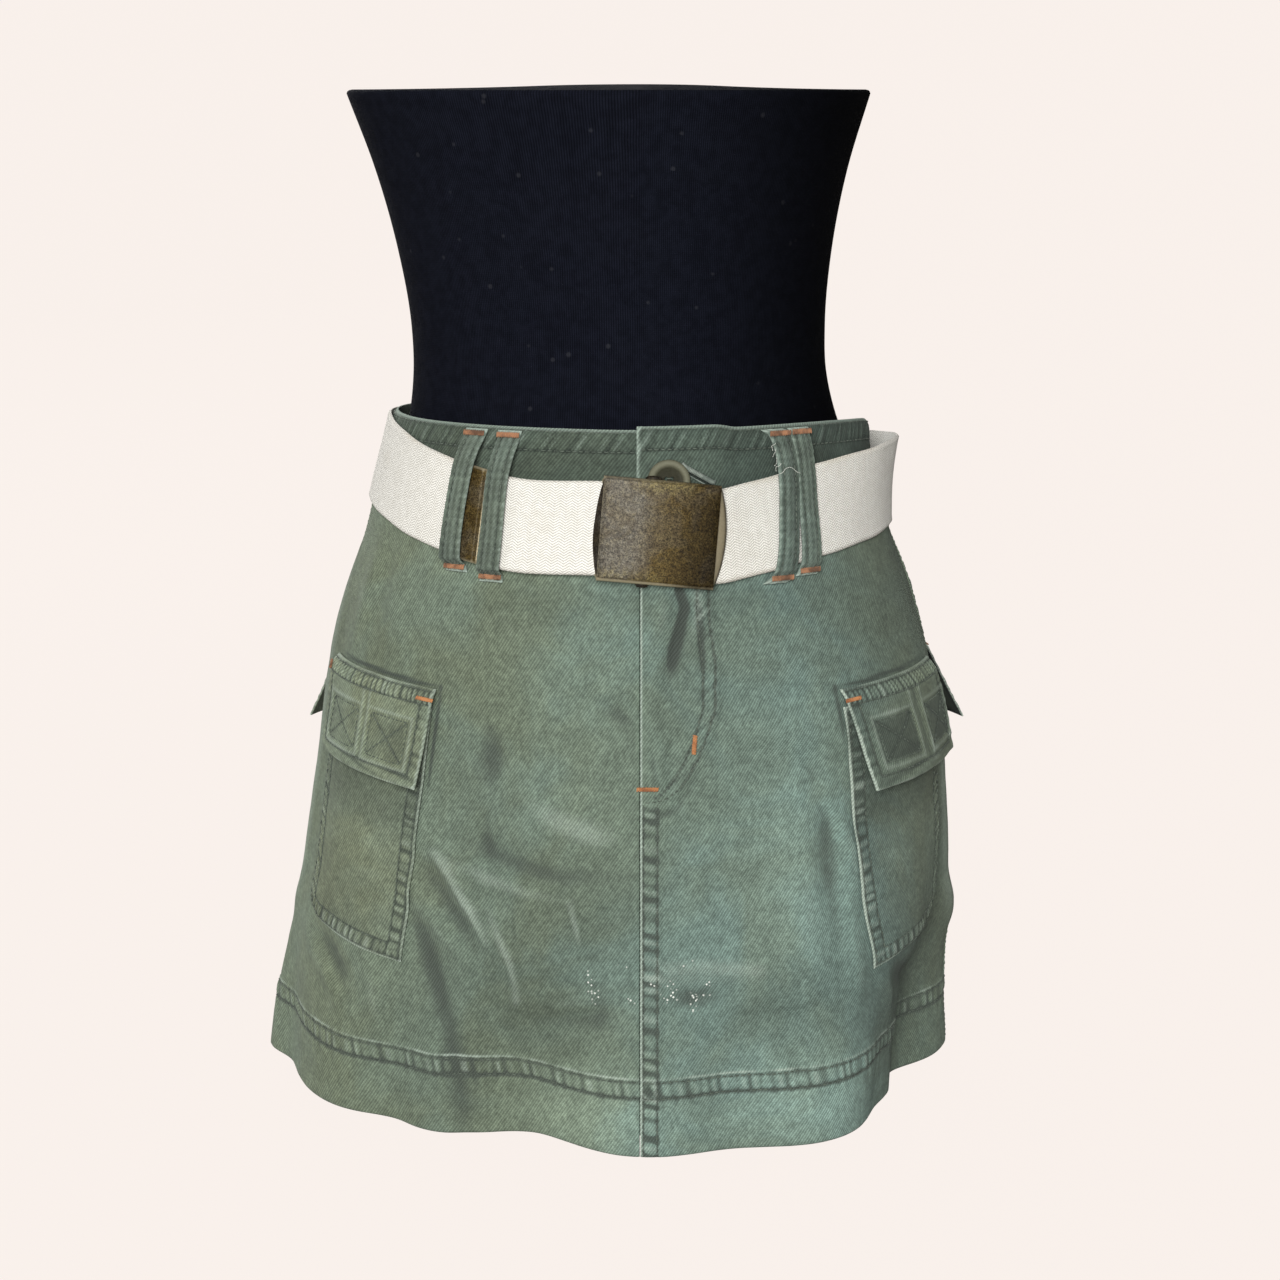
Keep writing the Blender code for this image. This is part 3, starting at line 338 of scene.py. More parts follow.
@dataclass
class SkirtSurface:
    """The surface that all the cloth lies on.

    Attributes:
        waistband_height: Depth of the waistband.
        crease_strength: Scales every crease's depth.
        turn_step: Half the step that directions along are read over, in degrees.
        height_step: Half the step that directions up are read over.
        table_top: Height of the tables of distances.
        table_step: Steps of height in them.
        table_turn: Degrees that they reach each way.
        per_degree: Columns a degree.
        table_reach: Metres that they reach each way.
        per_metre: Columns a metre.
    """
    waistband_height: float = 0.040
    crease_strength: float = 1.8
    turn_step: float = 0.5
    height_step: float = 0.001
    table_top: float = 0.392
    table_step: float = 0.002
    table_turn: float = 540.0
    per_degree: int = 2
    table_reach: float = 1.05
    per_metre: int = 1000
    lengths: Array = field(init=False, repr=False)
    turns: Array = field(init=False, repr=False)

    def __post_init__(self) -> None:
        """Measure the plain oval at every height, both ways round."""
        middle = round(self.table_turn * self.per_degree)
        angles = np.linspace(-self.table_turn, self.table_turn, 2 * middle + 1)
        heights = np.arange(0.0, self.table_top, self.table_step)
        x, y = oval(SKIRT_SECTIONS, angles[None, :], heights[:, None])
        steps = np.hypot(np.diff(x, axis=1), np.diff(y, axis=1))
        lengths = np.concatenate([np.zeros((len(heights), 1)), np.cumsum(steps, axis=1)], axis=1)
        self.lengths = lengths - lengths[:, [middle]]
        reach = np.linspace(-self.table_reach, self.table_reach, 2 * round(self.table_reach * self.per_metre) + 1)
        self.turns = np.array([np.interp(reach, row, angles) for row in self.lengths])

    def _read(self, rows: Array, at: Array, height: Array) -> Array:
        """Read a table of rows by height, between its points.

        Args:
            rows: The table.
            at: Places along its rows, in columns.
            height: Heights in metres.

        Returns:
            The values there.
        """
        at, height = np.broadcast_arrays(np.asarray(at, float), np.asarray(height, float))
        i = np.clip(height / self.table_step, 0, len(rows) - 1.001)
        j = np.clip(at, 0, rows.shape[1] - 1.001)
        i0, j0 = i.astype(int), j.astype(int)
        fi, fj = i - i0, j - j0
        low = rows[i0, j0] * (1 - fj) + rows[i0, j0 + 1] * fj
        high = rows[i0 + 1, j0] * (1 - fj) + rows[i0 + 1, j0 + 1] * fj
        return low * (1 - fi) + high * fi

    def distance(self, angle: Array, height: Array) -> Array:
        """Metres round from the centre front to an angle, at a height."""
        return self._read(self.lengths, (np.asarray(angle) + self.table_turn) * self.per_degree, height)

    def angle(self, distance: Array, height: Array) -> Array:
        """The angle that lies a distance round from the centre front."""
        return self._read(self.turns, (np.asarray(distance) + self.table_reach) * self.per_metre, height)

    def _rim(self, name: str, angle: Array) -> Array:
        """A height from the table of rims, all the way round."""
        places = np.concatenate([column(RIMS, "angle") + turn for turn in (-360.0, 0.0, 360.0)])
        return smooth_curve(places, np.tile(column(RIMS, name), 3), one_turn(angle, -180.0))

    def waist(self, angle: Array) -> Array:
        """Height of the waistband's top edge."""
        return self._rim("waist", angle)

    def seam(self, angle: Array) -> Array:
        """Height of the seam between the waistband and the panels."""
        return self.waist(angle) - self.waistband_height

    def hem(self, angle: Array) -> Array:
        """Height of the hem's edge."""
        return self._rim("hem", angle)

    def folded(self, angle: Array, height: Array) -> Array:
        """Points of the smooth surface with its hem folds.

        Args:
            angle: Degrees round the body.
            height: Heights in metres.

        Returns:
            An array of points.
        """
        x, y = oval(SKIRT_SECTIONS, angle, height)
        depth = np.zeros(np.broadcast(angle, height).shape)
        for fold in FOLDS:
            down = unit((fold.top_height - height) / fold.top_height)
            middle = fold.top_angle + (fold.hem_angle - fold.top_angle) * down
            depth = depth + fold.depth * ease(down * 1.15) * hump(one_turn(angle - middle, -180.0), fold.half_width)
        turn = np.radians(angle)
        z = np.broadcast_to(height, np.shape(x))
        return np.stack([x + depth * np.sin(turn), y - depth * np.cos(turn), z], axis=-1)

    def frame(self, angle: Array, height: Array) -> tuple[Array, Array, Array, Array]:
        """Points of the surface with its directions.

        Args:
            angle: Degrees round the body.
            height: Heights in metres.

        Returns:
            The points and their unit vectors along, up and out.
        """
        along = self.folded(angle + self.turn_step, height) - self.folded(angle - self.turn_step, height)
        up = self.folded(angle, height + self.height_step) - self.folded(angle, height - self.height_step)
        out = np.cross(along, up)
        units = [v / np.linalg.norm(v, axis=-1, keepdims=True) for v in (along, up, out)]
        return (self.folded(angle, height), *units)

    def point(self, angle: Array, height: Array, out: Array = 0.0) -> Array:
        """Points of the surface, moved out along its normal.

        Args:
            angle: Degrees round the body.
            height: Heights in metres.
            out: Metres out.

        Returns:
            An array of points.
        """
        angle, height, out = np.broadcast_arrays(*(np.asarray(v, float) for v in (angle, height, out)))
        place, _, _, normal = self.frame(angle, height)
        return place + normal * out[..., None]

    def relief(self, angle: Array, height: Array) -> Array:
        """How far creases and the cloth's own unevenness move it out, in metres."""
        return self.creased(angle, height)[0]

    def creased(self, angle: Array, height: Array) -> tuple[Array, Array]:
        """What the creases do at places of the cloth.

        Args:
            angle: Degrees round the body.
            height: Heights in metres.

        Returns:
            The relief in metres, and the creases' painted shade, paler scuffing where it is below 0.
        """
        angle, height = np.broadcast_arrays(np.asarray(angle, float), np.asarray(height, float))
        along = self.distance(one_turn(angle), height)
        total = 0.0007 * soft_noise(along, height, 0.034, 3) + 0.00022 * soft_noise(along, height, 0.011, 4)
        shade_and_wear = np.zeros(angle.shape)
        for crease in CREASES:
            turn, rise = (np.array(v, float) for v in zip(*crease.path))
            rise = rise / 1000.0
            round_to = self.distance(turn, rise)
            best = np.full(angle.shape, 9.0)
            where = np.zeros(angle.shape)
            for i in range(len(rise) - 1):
                dx, dy = round_to[i + 1] - round_to[i], rise[i + 1] - rise[i]
                t = unit(((along - round_to[i]) * dx + (height - rise[i]) * dy) / (dx * dx + dy * dy))
                away = np.hypot(along - round_to[i] - t * dx, height - rise[i] - t * dy)
                closer = away < best
                best = np.where(closer, away, best)
                where = np.where(closer, (i + t) / (len(rise) - 1), where)
            swell = 0.35 + 0.65 * np.sin(math.pi * np.clip(where, 0.02, 0.98)) ** 0.7
            shape = swell * hump(best, crease.half_width / 1000.0)
            total += self.crease_strength * crease.depth / 1000.0 * shape
            shade_and_wear = shade_and_wear + crease.shade_and_wear * shape
        return total * (1 - 0.7 * ease((height - 0.288) / 0.02)), shade_and_wear


# ---------------------------------------------------------------- meshes
MARKS = "marks"      # colour attribute: shares of abrasion and painted light, of dirt and painted shade, of the cooler tint, and of bleach
TONE = "tone"        # attribute: how much paler or darker the cloth is, from washing and from painted light and shade
CLOTH_MAP = "cloth"  # flat map of a cloth piece, in metres


def new_object(name: str, points: Array, faces: Sequence[Sequence[int]], smooth: bool = True) -> bpy.types.Object:
    """A mesh object in the scene.

    Args:
        name: The piece's name.
        points: One row of x, y, z a point.
        faces: Corner numbers of each face.
        smooth: Whether the faces are shaded smooth.

    Returns:
        The object.
    """
    mesh = bpy.data.meshes.new(name)
    mesh.from_pydata(np.asarray(points, float).tolist(), [], [list(map(int, face)) for face in faces])
    mesh.update()
    if smooth:
        mesh.shade_smooth()
    item = bpy.data.objects.new(name, mesh)
    bpy.context.scene.collection.objects.link(item)
    return item


def set_map(item: bpy.types.Object, flat: Array) -> None:
    """Give a mesh its flat map.

    Args:
        item: The piece.
        flat: One pair of metres a point.
    """
    mesh = item.data
    layer = mesh.uv_layers.new(name=CLOTH_MAP)
    corners = np.empty(len(mesh.loops), dtype=np.int32)
    mesh.loops.foreach_get("vertex_index", corners)
    layer.data.foreach_set("uv", np.asarray(flat, float)[corners].ravel())


def set_marks(item: bpy.types.Object, marks: Array) -> None:
    """Give a mesh its marks and its tone.

    Args:
        item: The piece.
        marks: Shares of abrasion and painted light, of dirt and painted shade, of tint and of bleach, and the tone,
            one row a point.
    """
    layer = item.data.color_attributes.new(MARKS, "FLOAT_COLOR", "POINT")
    layer.data.foreach_set("color", unit(marks[:, :4]).astype(float).ravel())
    tone = item.data.attributes.new(TONE, "FLOAT", "POINT")
    tone.data.foreach_set("value", marks[:, 4].astype(float))


def grid_faces(rows: int, columns: int, first: int = 0, flip: bool = False) -> list[list[int]]:
    """Faces of a grid of points whose rows go down and whose columns go to the wearer's left.

    Args:
        rows: Number of rows.
        columns: Number of columns.
        first: Number of the first point.
        flip: Whether the faces look inward.

    Returns:
        The faces.
    """
    base = first + np.arange(rows - 1)[:, None] * columns + np.arange(columns - 1)[None, :]
    quads = np.stack([base, base + columns, base + columns + 1, base + 1], axis=-1).reshape(-1, 4)
    return (quads[:, ::-1] if flip else quads).tolist()


def ring(rows: int, columns: int) -> list[int]:
    """Numbers of a grid's edge points, once round.

    Args:
        rows: Number of rows.
        columns: Number of columns.

    Returns:
        The numbers.
    """
    around = list(range(columns)) + [row * columns + columns - 1 for row in range(1, rows)]
    around += [(rows - 1) * columns + col for col in range(columns - 2, -1, -1)]
    return around + [row * columns for row in range(rows - 2, 0, -1)]


def shell(name: str, outer: Array, inner: Array, flat: Array, marks: Array, skip: int = 3) -> bpy.types.Object:
    """A closed thin shell between two grids of points.

    Args:
        name: The piece's name.
        outer: Grid of the outer face, rows down, columns to the wearer's left.
        inner: Grid of the inner face, of the same size.
        flat: Flat places of the grid, in metres.
        marks: Marks of the grid.
        skip: The inner face keeps one row and column in this many.

    Returns:
        The object. Rows and columns less one are multiples of skip.
    """
    rows, columns = outer.shape[:2]
    few = inner[::skip, ::skip]
    faces = grid_faces(rows, columns)
    faces += grid_faces(few.shape[0], few.shape[1], rows * columns, True)
    fine, coarse = ring(rows, columns), ring(few.shape[0], few.shape[1])
    fine, coarse = fine + fine[:1], [rows * columns + i for i in coarse]
    for i, here in enumerate(coarse):
        after = coarse[(i + 1) % len(coarse)]
        faces.append(fine[i * skip:(i + 1) * skip + 1] + [after, here])
    points = np.concatenate([outer.reshape(-1, 3), few.reshape(-1, 3)])
    item = new_object(name, points, faces)
    item.data.set_sharp_from_angle(angle=math.radians(62.0))
    set_map(item, np.concatenate([flat.reshape(-1, 2), flat[::skip, ::skip].reshape(-1, 2)]))
    # painted shade: the inner face keeps less of the marks and its tone is lowered by 0.30
    inner_shade_marks = marks[::skip, ::skip].reshape(-1, 5) * (0.4, 0.4, 1.0, 0.4, 1.0) - (0.0, 0.0, 0.0, 0.0, 0.30)
    set_marks(item, np.concatenate([marks.reshape(-1, 5), inner_shade_marks]))
    return item


def settle(item: bpy.types.Object) -> None:
    """Turn a piece's modifiers into its mesh.

    Args:
        item: The piece.
    """
    bpy.context.view_layer.update()
    item.data = bpy.data.meshes.new_from_object(item.evaluated_get(bpy.context.evaluated_depsgraph_get()))
    item.modifiers.clear()


def dress(item: bpy.types.Object, material: bpy.types.Material, nodes: Sequence[str] = ()) -> None:
    """Give a piece its material, its body and the solids it stands for.

    Args:
        item: The piece.
        material: Its finish.
        nodes: The solids it stands for.
    """
    item.data.materials.clear()
    item.data.materials.append(material)
    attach(item, BODY)
    if nodes:
        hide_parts(*nodes)
    log.info("%s: %d points", item.name, len(item.data.vertices))


# ---------------------------------------------------------------- finishes
Socket = bpy.types.NodeSocket
Feed = object        # a socket, a number or a colour
Inputs = dict[str, Feed]
WHITE = (1.0, 1.0, 1.0)


def grey(value: float) -> Colour:
    """A colour with no hue."""
    return (value, value, value)


class Shares(NamedTuple):
    """A piece's marks as sockets."""
    worn: Socket
    soil_and_shade: Socket
    tinted: Socket
    bleached: Socket


@dataclass
class Board:
    """A node tree that nodes are laid out on."""
    tree: bpy.types.NodeTree

    def feed(self, socket: Socket, value: Feed) -> None:
        """Link a socket, or set its own value.

        Args:
            socket: The input to feed.
            value: A socket, a number or a colour.
        """
        if isinstance(value, bpy.types.NodeSocket):
            self.tree.links.new(value, socket)
        elif isinstance(value, tuple) and len(value) == 3 and socket.type == "RGBA":
            socket.default_value = (*value, 1.0)
        else:
            socket.default_value = value

    def add(self, kind: str, inputs: Optional[Inputs] = None, **settings: object) -> bpy.types.Node:
        """Add a node.

        Args:
            kind: Its type, without the shader prefix.
            inputs: Values or sockets for its inputs.
            **settings: Its own settings.

        Returns:
            The node.
        """
        node = self.tree.nodes.new(kind if kind.startswith("Node") else "ShaderNode" + kind)
        for name, value in settings.items():
            setattr(node, name, value)
        for name, value in (inputs or {}).items():
            self.feed(node.inputs[name], value)
        return node

    def math(self, operation: str, *values: Feed, clamp: bool = False) -> Socket:
        """A Math node's result.

        Args:
            operation: What it does.
            *values: Its inputs in order.
            clamp: Whether the result stays from 0 to 1.

        Returns:
            The result.
        """
        node = self.add("Math", operation=operation, use_clamp=clamp)
        for socket, value in zip(node.inputs, values):
            self.feed(socket, value)
        return node.outputs[0]

    def times(self, first: Feed, second: Feed) -> Socket:
        """The product of two values."""
        return self.math("MULTIPLY", first, second)

    def blend(self, first: Feed, second: Feed, third: Feed, clamp: bool = False) -> Socket:
        """The product of two values, added to a third."""
        return self.math("MULTIPLY_ADD", first, second, third, clamp=clamp)

    def span(self, value: Feed, low: float, high: float, to_low: float = 0.0, to_high: float = 1.0) -> Socket:
        """A value taken from one range to another, with soft ends.

        Args:
            value: The value.
            low: Where the range starts.
            high: Where it ends.
            to_low: What its start becomes.
            to_high: What its end becomes.

        Returns:
            The value there.
        """
        return self.add("MapRange", interpolation_type="SMOOTHSTEP", inputs={
            "Value": value, "From Min": low, "From Max": high, "To Min": to_low, "To Max": to_high,
        }).outputs["Result"]

    def mix(self, factor: Feed, low: Feed, high: Feed, blend: str = "MIX") -> Socket:
        """A mix of two colours.

        Args:
            factor: Share of the second.
            low: The first.
            high: The second.
            blend: How they mix.

        Returns:
            The mixed colour.
        """
        node = self.add("Mix", data_type="RGBA", blend_type=blend)
        for place, value in ((0, factor), (6, low), (7, high)):
            self.feed(node.inputs[place], value)
        return node.outputs[2]

    def tint(self, colour: Feed, tint: Feed) -> Socket:
        """A colour multiplied by another."""
        return self.mix(1.0, colour, tint, "MULTIPLY")

    def noise(self, scale: Feed, detail: float = 3.0, roughness: float = 0.55,
              vector: Optional[Socket] = None, distortion: float = 0.0) -> Socket:
        """Noise from 0 to 1.

        Args:
            scale: Its scale.
            detail: Its octaves.
            roughness: How strong the fine ones are.
            vector: What it runs over; the piece's own place if not given.
            distortion: How much it is bent.

        Returns:
            The noise.
        """
        place = self.add("TexCoord").outputs["Object"] if vector is None else vector
        return self.add("TexNoise", {"Vector": place, "Scale": scale, "Detail": detail, "Roughness": roughness,
                                     "Distortion": distortion}).outputs[0]

    def off_middle(self, value: Feed, middle: float = 0.5) -> Socket:
        """A value with its middle brought to 0."""
        return self.math("SUBTRACT", value, middle)

    def flat_map(self) -> tuple[Socket, Socket, Socket]:
        """The cloth's flat map: the vector, and its metres along and up."""
        vector = self.add("UVMap", uv_map=CLOTH_MAP).outputs[0]
        parts = self.add("SeparateXYZ", {"Vector": vector})
        return vector, parts.outputs[0], parts.outputs[1]

    def shares(self) -> Shares:
        """The piece's marks."""
        marks = self.add("Attribute", attribute_name=MARKS).outputs
        parts = self.add("SeparateColor", {"Color": marks["Color"]}).outputs
        return Shares(parts[0], parts[1], parts[2], marks["Alpha"])

    def wave(self, value: Feed, pitch: Feed) -> Socket:
        """A sine from 0 to 1 along a value in metres."""
        turns = self.math("DIVIDE", self.times(value, 2 * math.pi), pitch)
        return self.blend(self.math("SINE", turns), 0.5, 0.5)

    def bump(self, height: Feed, strength: float, distance: float) -> Socket:
        """A Bump node's normal."""
        return self.add("Bump", {"Height": height, "Strength": strength, "Distance": distance}).outputs[0]


Layout = Callable[[Board, dict[str, Socket]], tuple[Socket, ...]]


class Effect:
    """A shader node group that several finishes place, built once."""

    def __init__(self, name: str, ways_in: dict[str, float], ways_out: tuple[str, ...], layout: Layout) -> None:
        """Build the group.

        Args:
            name: Its name.
            ways_in: Names and usual values of its inputs.
            ways_out: Names of its outputs.
            layout: Lays out the nodes from the inputs and returns the outputs.
        """
        self.tree = bpy.data.node_groups.new(name, "ShaderNodeTree")
        for label, usual in ways_in.items():
            socket = self.tree.interface.new_socket(label, in_out="INPUT", socket_type="NodeSocketFloat")
            socket.default_value = usual
        for label in ways_out:
            self.tree.interface.new_socket(label, in_out="OUTPUT", socket_type="NodeSocketFloat")
        board = Board(self.tree)
        entry, leaving = board.add("NodeGroupInput"), board.add("NodeGroupOutput")
        made = layout(board, {label: entry.outputs[label] for label in ways_in})
        for label, socket in zip(ways_out, made):
            board.feed(leaving.inputs[label], socket)

    def place(self, board: Board, **values: Feed) -> dict[str, Socket]:
        """Put the group in a material.

        Args:
            board: The material's nodes.
            **values: Inputs by name, with _ for a space.

        Returns:
            Its outputs by name.
        """
        node = board.add("Group", node_tree=self.tree)
        for label, value in values.items():
            board.feed(node.inputs[label.replace("_", " ")], value)
        return {socket.name: socket for socket in node.outputs if socket.name}


def lay_twill(board: Board, given: dict[str, Socket]) -> tuple[Socket, ...]:
    """Diagonal ribs with the cross thread's small steps, and a light and dark thread variation.

    Args:
        board: The group's nodes.
        given: Its inputs.

    Returns:
        The height, and the thread's tone.
    """
    vector, along, up = board.flat_map()
    bend = board.noise(240.0, 3.0, 0.6, vector)
    slope_x, slope_y = math.cos(math.radians(56.0)), math.sin(math.radians(56.0))
    rib = board.math("SUBTRACT", board.times(along, slope_y), board.times(up, slope_x))
    rib = board.blend(board.off_middle(bend), given["Sway"], rib)
    run = board.math("ADD", board.times(along, slope_x), board.times(up, slope_y))
    index = board.math("FLOOR", board.math("DIVIDE", rib, given["Pitch"]))
    ridge = board.wave(rib, given["Pitch"])
    float_step = board.wave(board.blend(index, 0.00031, run), board.times(given["Pitch"], 0.9))
    height = board.times(ridge, board.blend(float_step, 0.45, 0.55))
    cell = board.add("CombineXYZ", {"X": board.times(index, 3.7), "Y": board.times(run, 260.0), "Z": 0.0})
    return height, board.noise(1.0, 2.0, 0.6, cell.outputs[0])


def lay_fading(board: Board, given: dict[str, Socket]) -> tuple[Socket, ...]:
    """Wash marks at three sizes, mottling, broad clouds and flecks, from 0 to 1.

    Args:
        board: The group's nodes.
        given: Its inputs.

    Returns:
        The three masks.
    """
    broad = board.noise(given["Scale"], 3.0, 0.6, distortion=0.6)
    small = board.noise(board.times(given["Scale"], 10.0), 3.0, 0.62)
    fleck = board.noise(board.times(given["Scale"], 34.0), 2.0, 0.6)
    return board.span(small, 0.30, 0.70), board.span(broad, 0.34, 0.66), board.span(fleck, 0.30, 0.70)


def lay_breakup(board: Board, given: dict[str, Socket]) -> tuple[Socket, ...]:
    """A mask broken up by grain, so that scuffed places, dirt, and painted light and shade look uneven."""
    grain = board.off_middle(board.noise(given["Grain"], 5.0, 0.75))
    return (board.span(board.blend(grain, given["Break Up"], given["Mask"]), 0.12, 0.95),)


def lay_specks(board: Board, given: dict[str, Socket]) -> tuple[Socket, ...]:
    """Small separate specks.

    Args:
        board: The group's nodes.
        given: Its inputs.

    Returns:
        A mask, 0 or nearly 1.
    """
    place = board.add("TexCoord").outputs["Object"]
    cells = board.add("TexVoronoi", {"Vector": place, "Scale": given["Scale"], "Randomness": 1.0})
    pick = board.add("SeparateColor", {"Color": cells.outputs["Color"]}).outputs[0]
    chosen = board.math("LESS_THAN", pick, given["Share"])
    return (board.times(chosen, board.span(cells.outputs["Distance"], 0.18, 0.42, 1.0, 0.0)),)


class Effects:
    """The node groups that the finishes share."""

    def __init__(self) -> None:
        """Build each group once."""
        self.twill = Effect("twill weave", {"Pitch": 0.00125, "Sway": 0.0006}, ("Height", "Thread"), lay_twill)
        self.fading = Effect("wash fading", {"Scale": 14.0}, ("Mottle", "Cloud", "Fleck"), lay_fading)
        self.wear = Effect("edge wear", {"Mask": 0.0, "Grain": 900.0, "Break Up": 0.6}, ("Worn",), lay_breakup)
        self.specks = Effect("specks", {"Scale": 900.0, "Share": 0.05}, ("Speck",), lay_specks)


@dataclass(frozen=True)
class Finish:
    """A finish whose nodes a subclass paints."""
    name: str

    def paint(self, board: Board, effects: Effects) -> Inputs:
        """Lay out the nodes and return what feeds each input of the shader."""
        raise NotImplementedError

    def material(self, effects: Effects) -> bpy.types.Material:
        """Build the material.

        Args:
            effects: The shared node groups.

        Returns:
            The material.
        """
        material = bpy.data.materials.new(self.name)
        material.use_nodes = True
        board = Board(material.node_tree)
        shader = material.node_tree.nodes["Principled BSDF"]
        for label, value in self.paint(board, effects).items():
            board.feed(shader.inputs[label], value)
        return material


@dataclass(frozen=True)
class TwillFinish(Finish):
    """Washed cotton twill, paler where it is scuffed, darker where it is dirty, with painted shade in its hollows."""
    dyed: Colour
    cooler: Colour
    worn: Colour
    soil_and_shade: Colour
    bleached: Colour = (0.78, 0.80, 0.74)
    pitch: float = 0.00132
    yarn: float = 0.34
    rib: float = 0.22
    rough: float = 0.90
    sheen: float = 0.10

    def paint(self, board: Board, effects: Effects) -> Inputs:
        """Fade the dye, scuff and dirty it, paint shade into its hollows, and shade it by the weave.

        Args:
            board: The material's nodes.
            effects: The shared node groups.

        Returns:
            What feeds each input of the shader.
        """
        marks = board.shares()
        weave = effects.twill.place(board, Pitch=self.pitch)
        fading = effects.fading.place(board, Scale=14.0)
        rubbed_and_lit = effects.wear.place(board, Mask=marks.worn, Grain=900.0, Break_Up=0.45)["Worn"]
        hollow = effects.wear.place(board, Mask=marks.soil_and_shade, Grain=420.0, Break_Up=0.25)["Worn"]
        bleach = effects.specks.place(board, Scale=620.0, Share=0.42)["Speck"]
        tone = board.math("ADD", board.add("Attribute", attribute_name=TONE).outputs["Fac"], 1.0)
        cooler = board.blend(fading["Cloud"], 0.40, board.math("ADD", marks.tinted, -0.2), clamp=True)
        colour = board.mix(cooler, self.dyed, self.cooler)
        for share, amount in ((fading["Cloud"], 0.08), (fading["Mottle"], 0.12),
                              (fading["Fleck"], 0.17), (weave["Thread"], self.yarn)):
            colour = board.tint(colour, board.mix(share, grey(1 - amount), grey(1 + amount)))
        colour = board.tint(colour, tone)
        # painted shade: this darkest colour paints crease troughs, pucker valleys and flap shadows, besides real dirt
        colour = board.mix(board.times(hollow, 0.85), colour, self.soil_and_shade)
        colour = board.mix(board.times(rubbed_and_lit, 0.92), colour, self.worn)
        ridge = board.span(weave["Height"], 0.05, 0.75)
        colour = board.tint(colour, board.mix(ridge, grey(1 - 1.08 * self.rib), grey(1 + self.rib)))
        height = board.blend(board.noise(2600.0, 3.0, 0.7), 0.35, weave["Height"])
        return {"Base Color": board.mix(board.times(bleach, marks.bleached), colour, self.bleached),
                "Normal": board.bump(height, 0.75, 0.00032),
                "Roughness": board.span(fading["Mottle"], 0.0, 1.0, self.rough - 0.05, self.rough + 0.05),
                "Specular IOR Level": 0.28, "Sheen Weight": self.sheen, "Sheen Roughness": 0.55,
                "Sheen Tint": (0.80, 0.92, 0.84)}


@dataclass(frozen=True)
class WebFinish(Finish):
    """Cream cotton webbing with a herringbone of fine slanting ribs."""
    cream: Colour = (0.88, 0.865, 0.81)
    shadow: Colour = (0.40, 0.382, 0.345)
    dirt: Colour = (0.50, 0.43, 0.33)
    column: float = 0.0050
    rib: float = 0.00130

    def paint(self, board: Board, effects: Effects) -> Inputs:
        """Slant the ribs to and fro, shade them and soil them.

        Args:
            board: The material's nodes.
            effects: The shared node groups.

        Returns:
            What feeds each input of the shader.
        """
        vector, along, up = board.flat_map()
        fold = board.math("PINGPONG", along, self.column / 2)
        sway = board.times(board.off_middle(board.noise(160.0, 2.0, 0.5, vector)), 0.0004)
        rib = board.wave(board.math("ADD", board.blend(fold, 0.7, up), sway), self.rib)
        height = board.times(rib, board.blend(board.wave(along, 0.00125), 0.50, 0.50))
        height = board.times(height, board.blend(board.span(fold, 0.0, 0.0006), 0.35, 0.65))
        colour = board.mix(board.span(height, -0.12, 0.42), self.shadow, self.cream)
        soil = effects.wear.place(board, Mask=board.shares().soil_and_shade, Grain=300.0, Break_Up=0.4)["Worn"]
        colour = board.mix(board.times(soil, 0.55), colour, self.dirt)
        cloud = effects.fading.place(board, Scale=26.0)
        fuzz = board.noise(2400.0, 3.0, 0.7)
        return {"Base Color": board.tint(colour, board.mix(cloud["Mottle"], (0.95, 0.945, 0.93), grey(1.04))),
                "Normal": board.bump(board.blend(fuzz, 0.2, height), 0.8, 0.00036),
                "Roughness": board.span(cloud["Cloud"], 0.0, 1.0, 0.78, 0.88),
                "Sheen Weight": 0.2, "Sheen Roughness": 0.5, "Specular IOR Level": 0.3}


@dataclass(frozen=True)
class BrassFinish(Finish):
    """Antiqued brass, mottled olive brown and grey, bright along its scuffed edges and where light is painted on."""
    brown: Colour = (0.058, 0.040, 0.013)
    grey: Colour = (0.084, 0.077, 0.064)
    bright: Colour = (0.42, 0.36, 0.24)
    gold: Colour = (0.130, 0.108, 0.046)

    def paint(self, board: Board, effects: Effects) -> Inputs:
        """Mottle the metal, darken it with dirt and painted shade, speckle it, and brighten its scuffed edges and
        painted lit places.

        Args:
            board: The material's nodes.
            effects: The shared node groups.

        Returns:
            What feeds each input of the shader.
        """
        marks = board.shares()
        cloud = effects.fading.place(board, Scale=62.0)
        grain = board.noise(1300.0, 3.0, 0.8)
        patch = board.blend(board.off_middle(cloud["Cloud"]), 0.5, marks.tinted, clamp=True)
        gilt = board.blend(board.off_middle(cloud["Mottle"], 0.55), 0.35, marks.bleached, clamp=True)
        colour = board.mix(gilt, board.mix(patch, self.brown, self.grey), self.gold)
        blotch = board.span(board.noise(430.0, 3.0, 0.7), 0.34, 0.66)
        # the second tint is dirt and painted shade, such as one buckle side wall's shaded interior
        for share, low, high in ((blotch, (0.70, 0.68, 0.68), (1.30, 1.32, 1.32)),
                                 (marks.soil_and_shade, WHITE, (0.36, 0.36, 0.40)),
                                 (board.span(grain, 0.36, 0.64), grey(0.35), (1.85, 1.80, 1.70))):
            colour = board.tint(colour, board.mix(share, low, high))
        # scuffed edges, and painted light on the other buckle side wall
        rubbed_and_lit = effects.wear.place(board, Mask=marks.worn, Grain=800.0, Break_Up=0.5)["Worn"]
        return {"Base Color": board.mix(rubbed_and_lit, colour, self.bright),
                "Roughness": board.mix(rubbed_and_lit, board.span(grain, 0.2, 0.8, 0.34, 0.62), grey(0.30)),
                "Normal": board.bump(grain, 0.35, 0.00012), "Metallic": 0.35, "Specular IOR Level": 0.12}


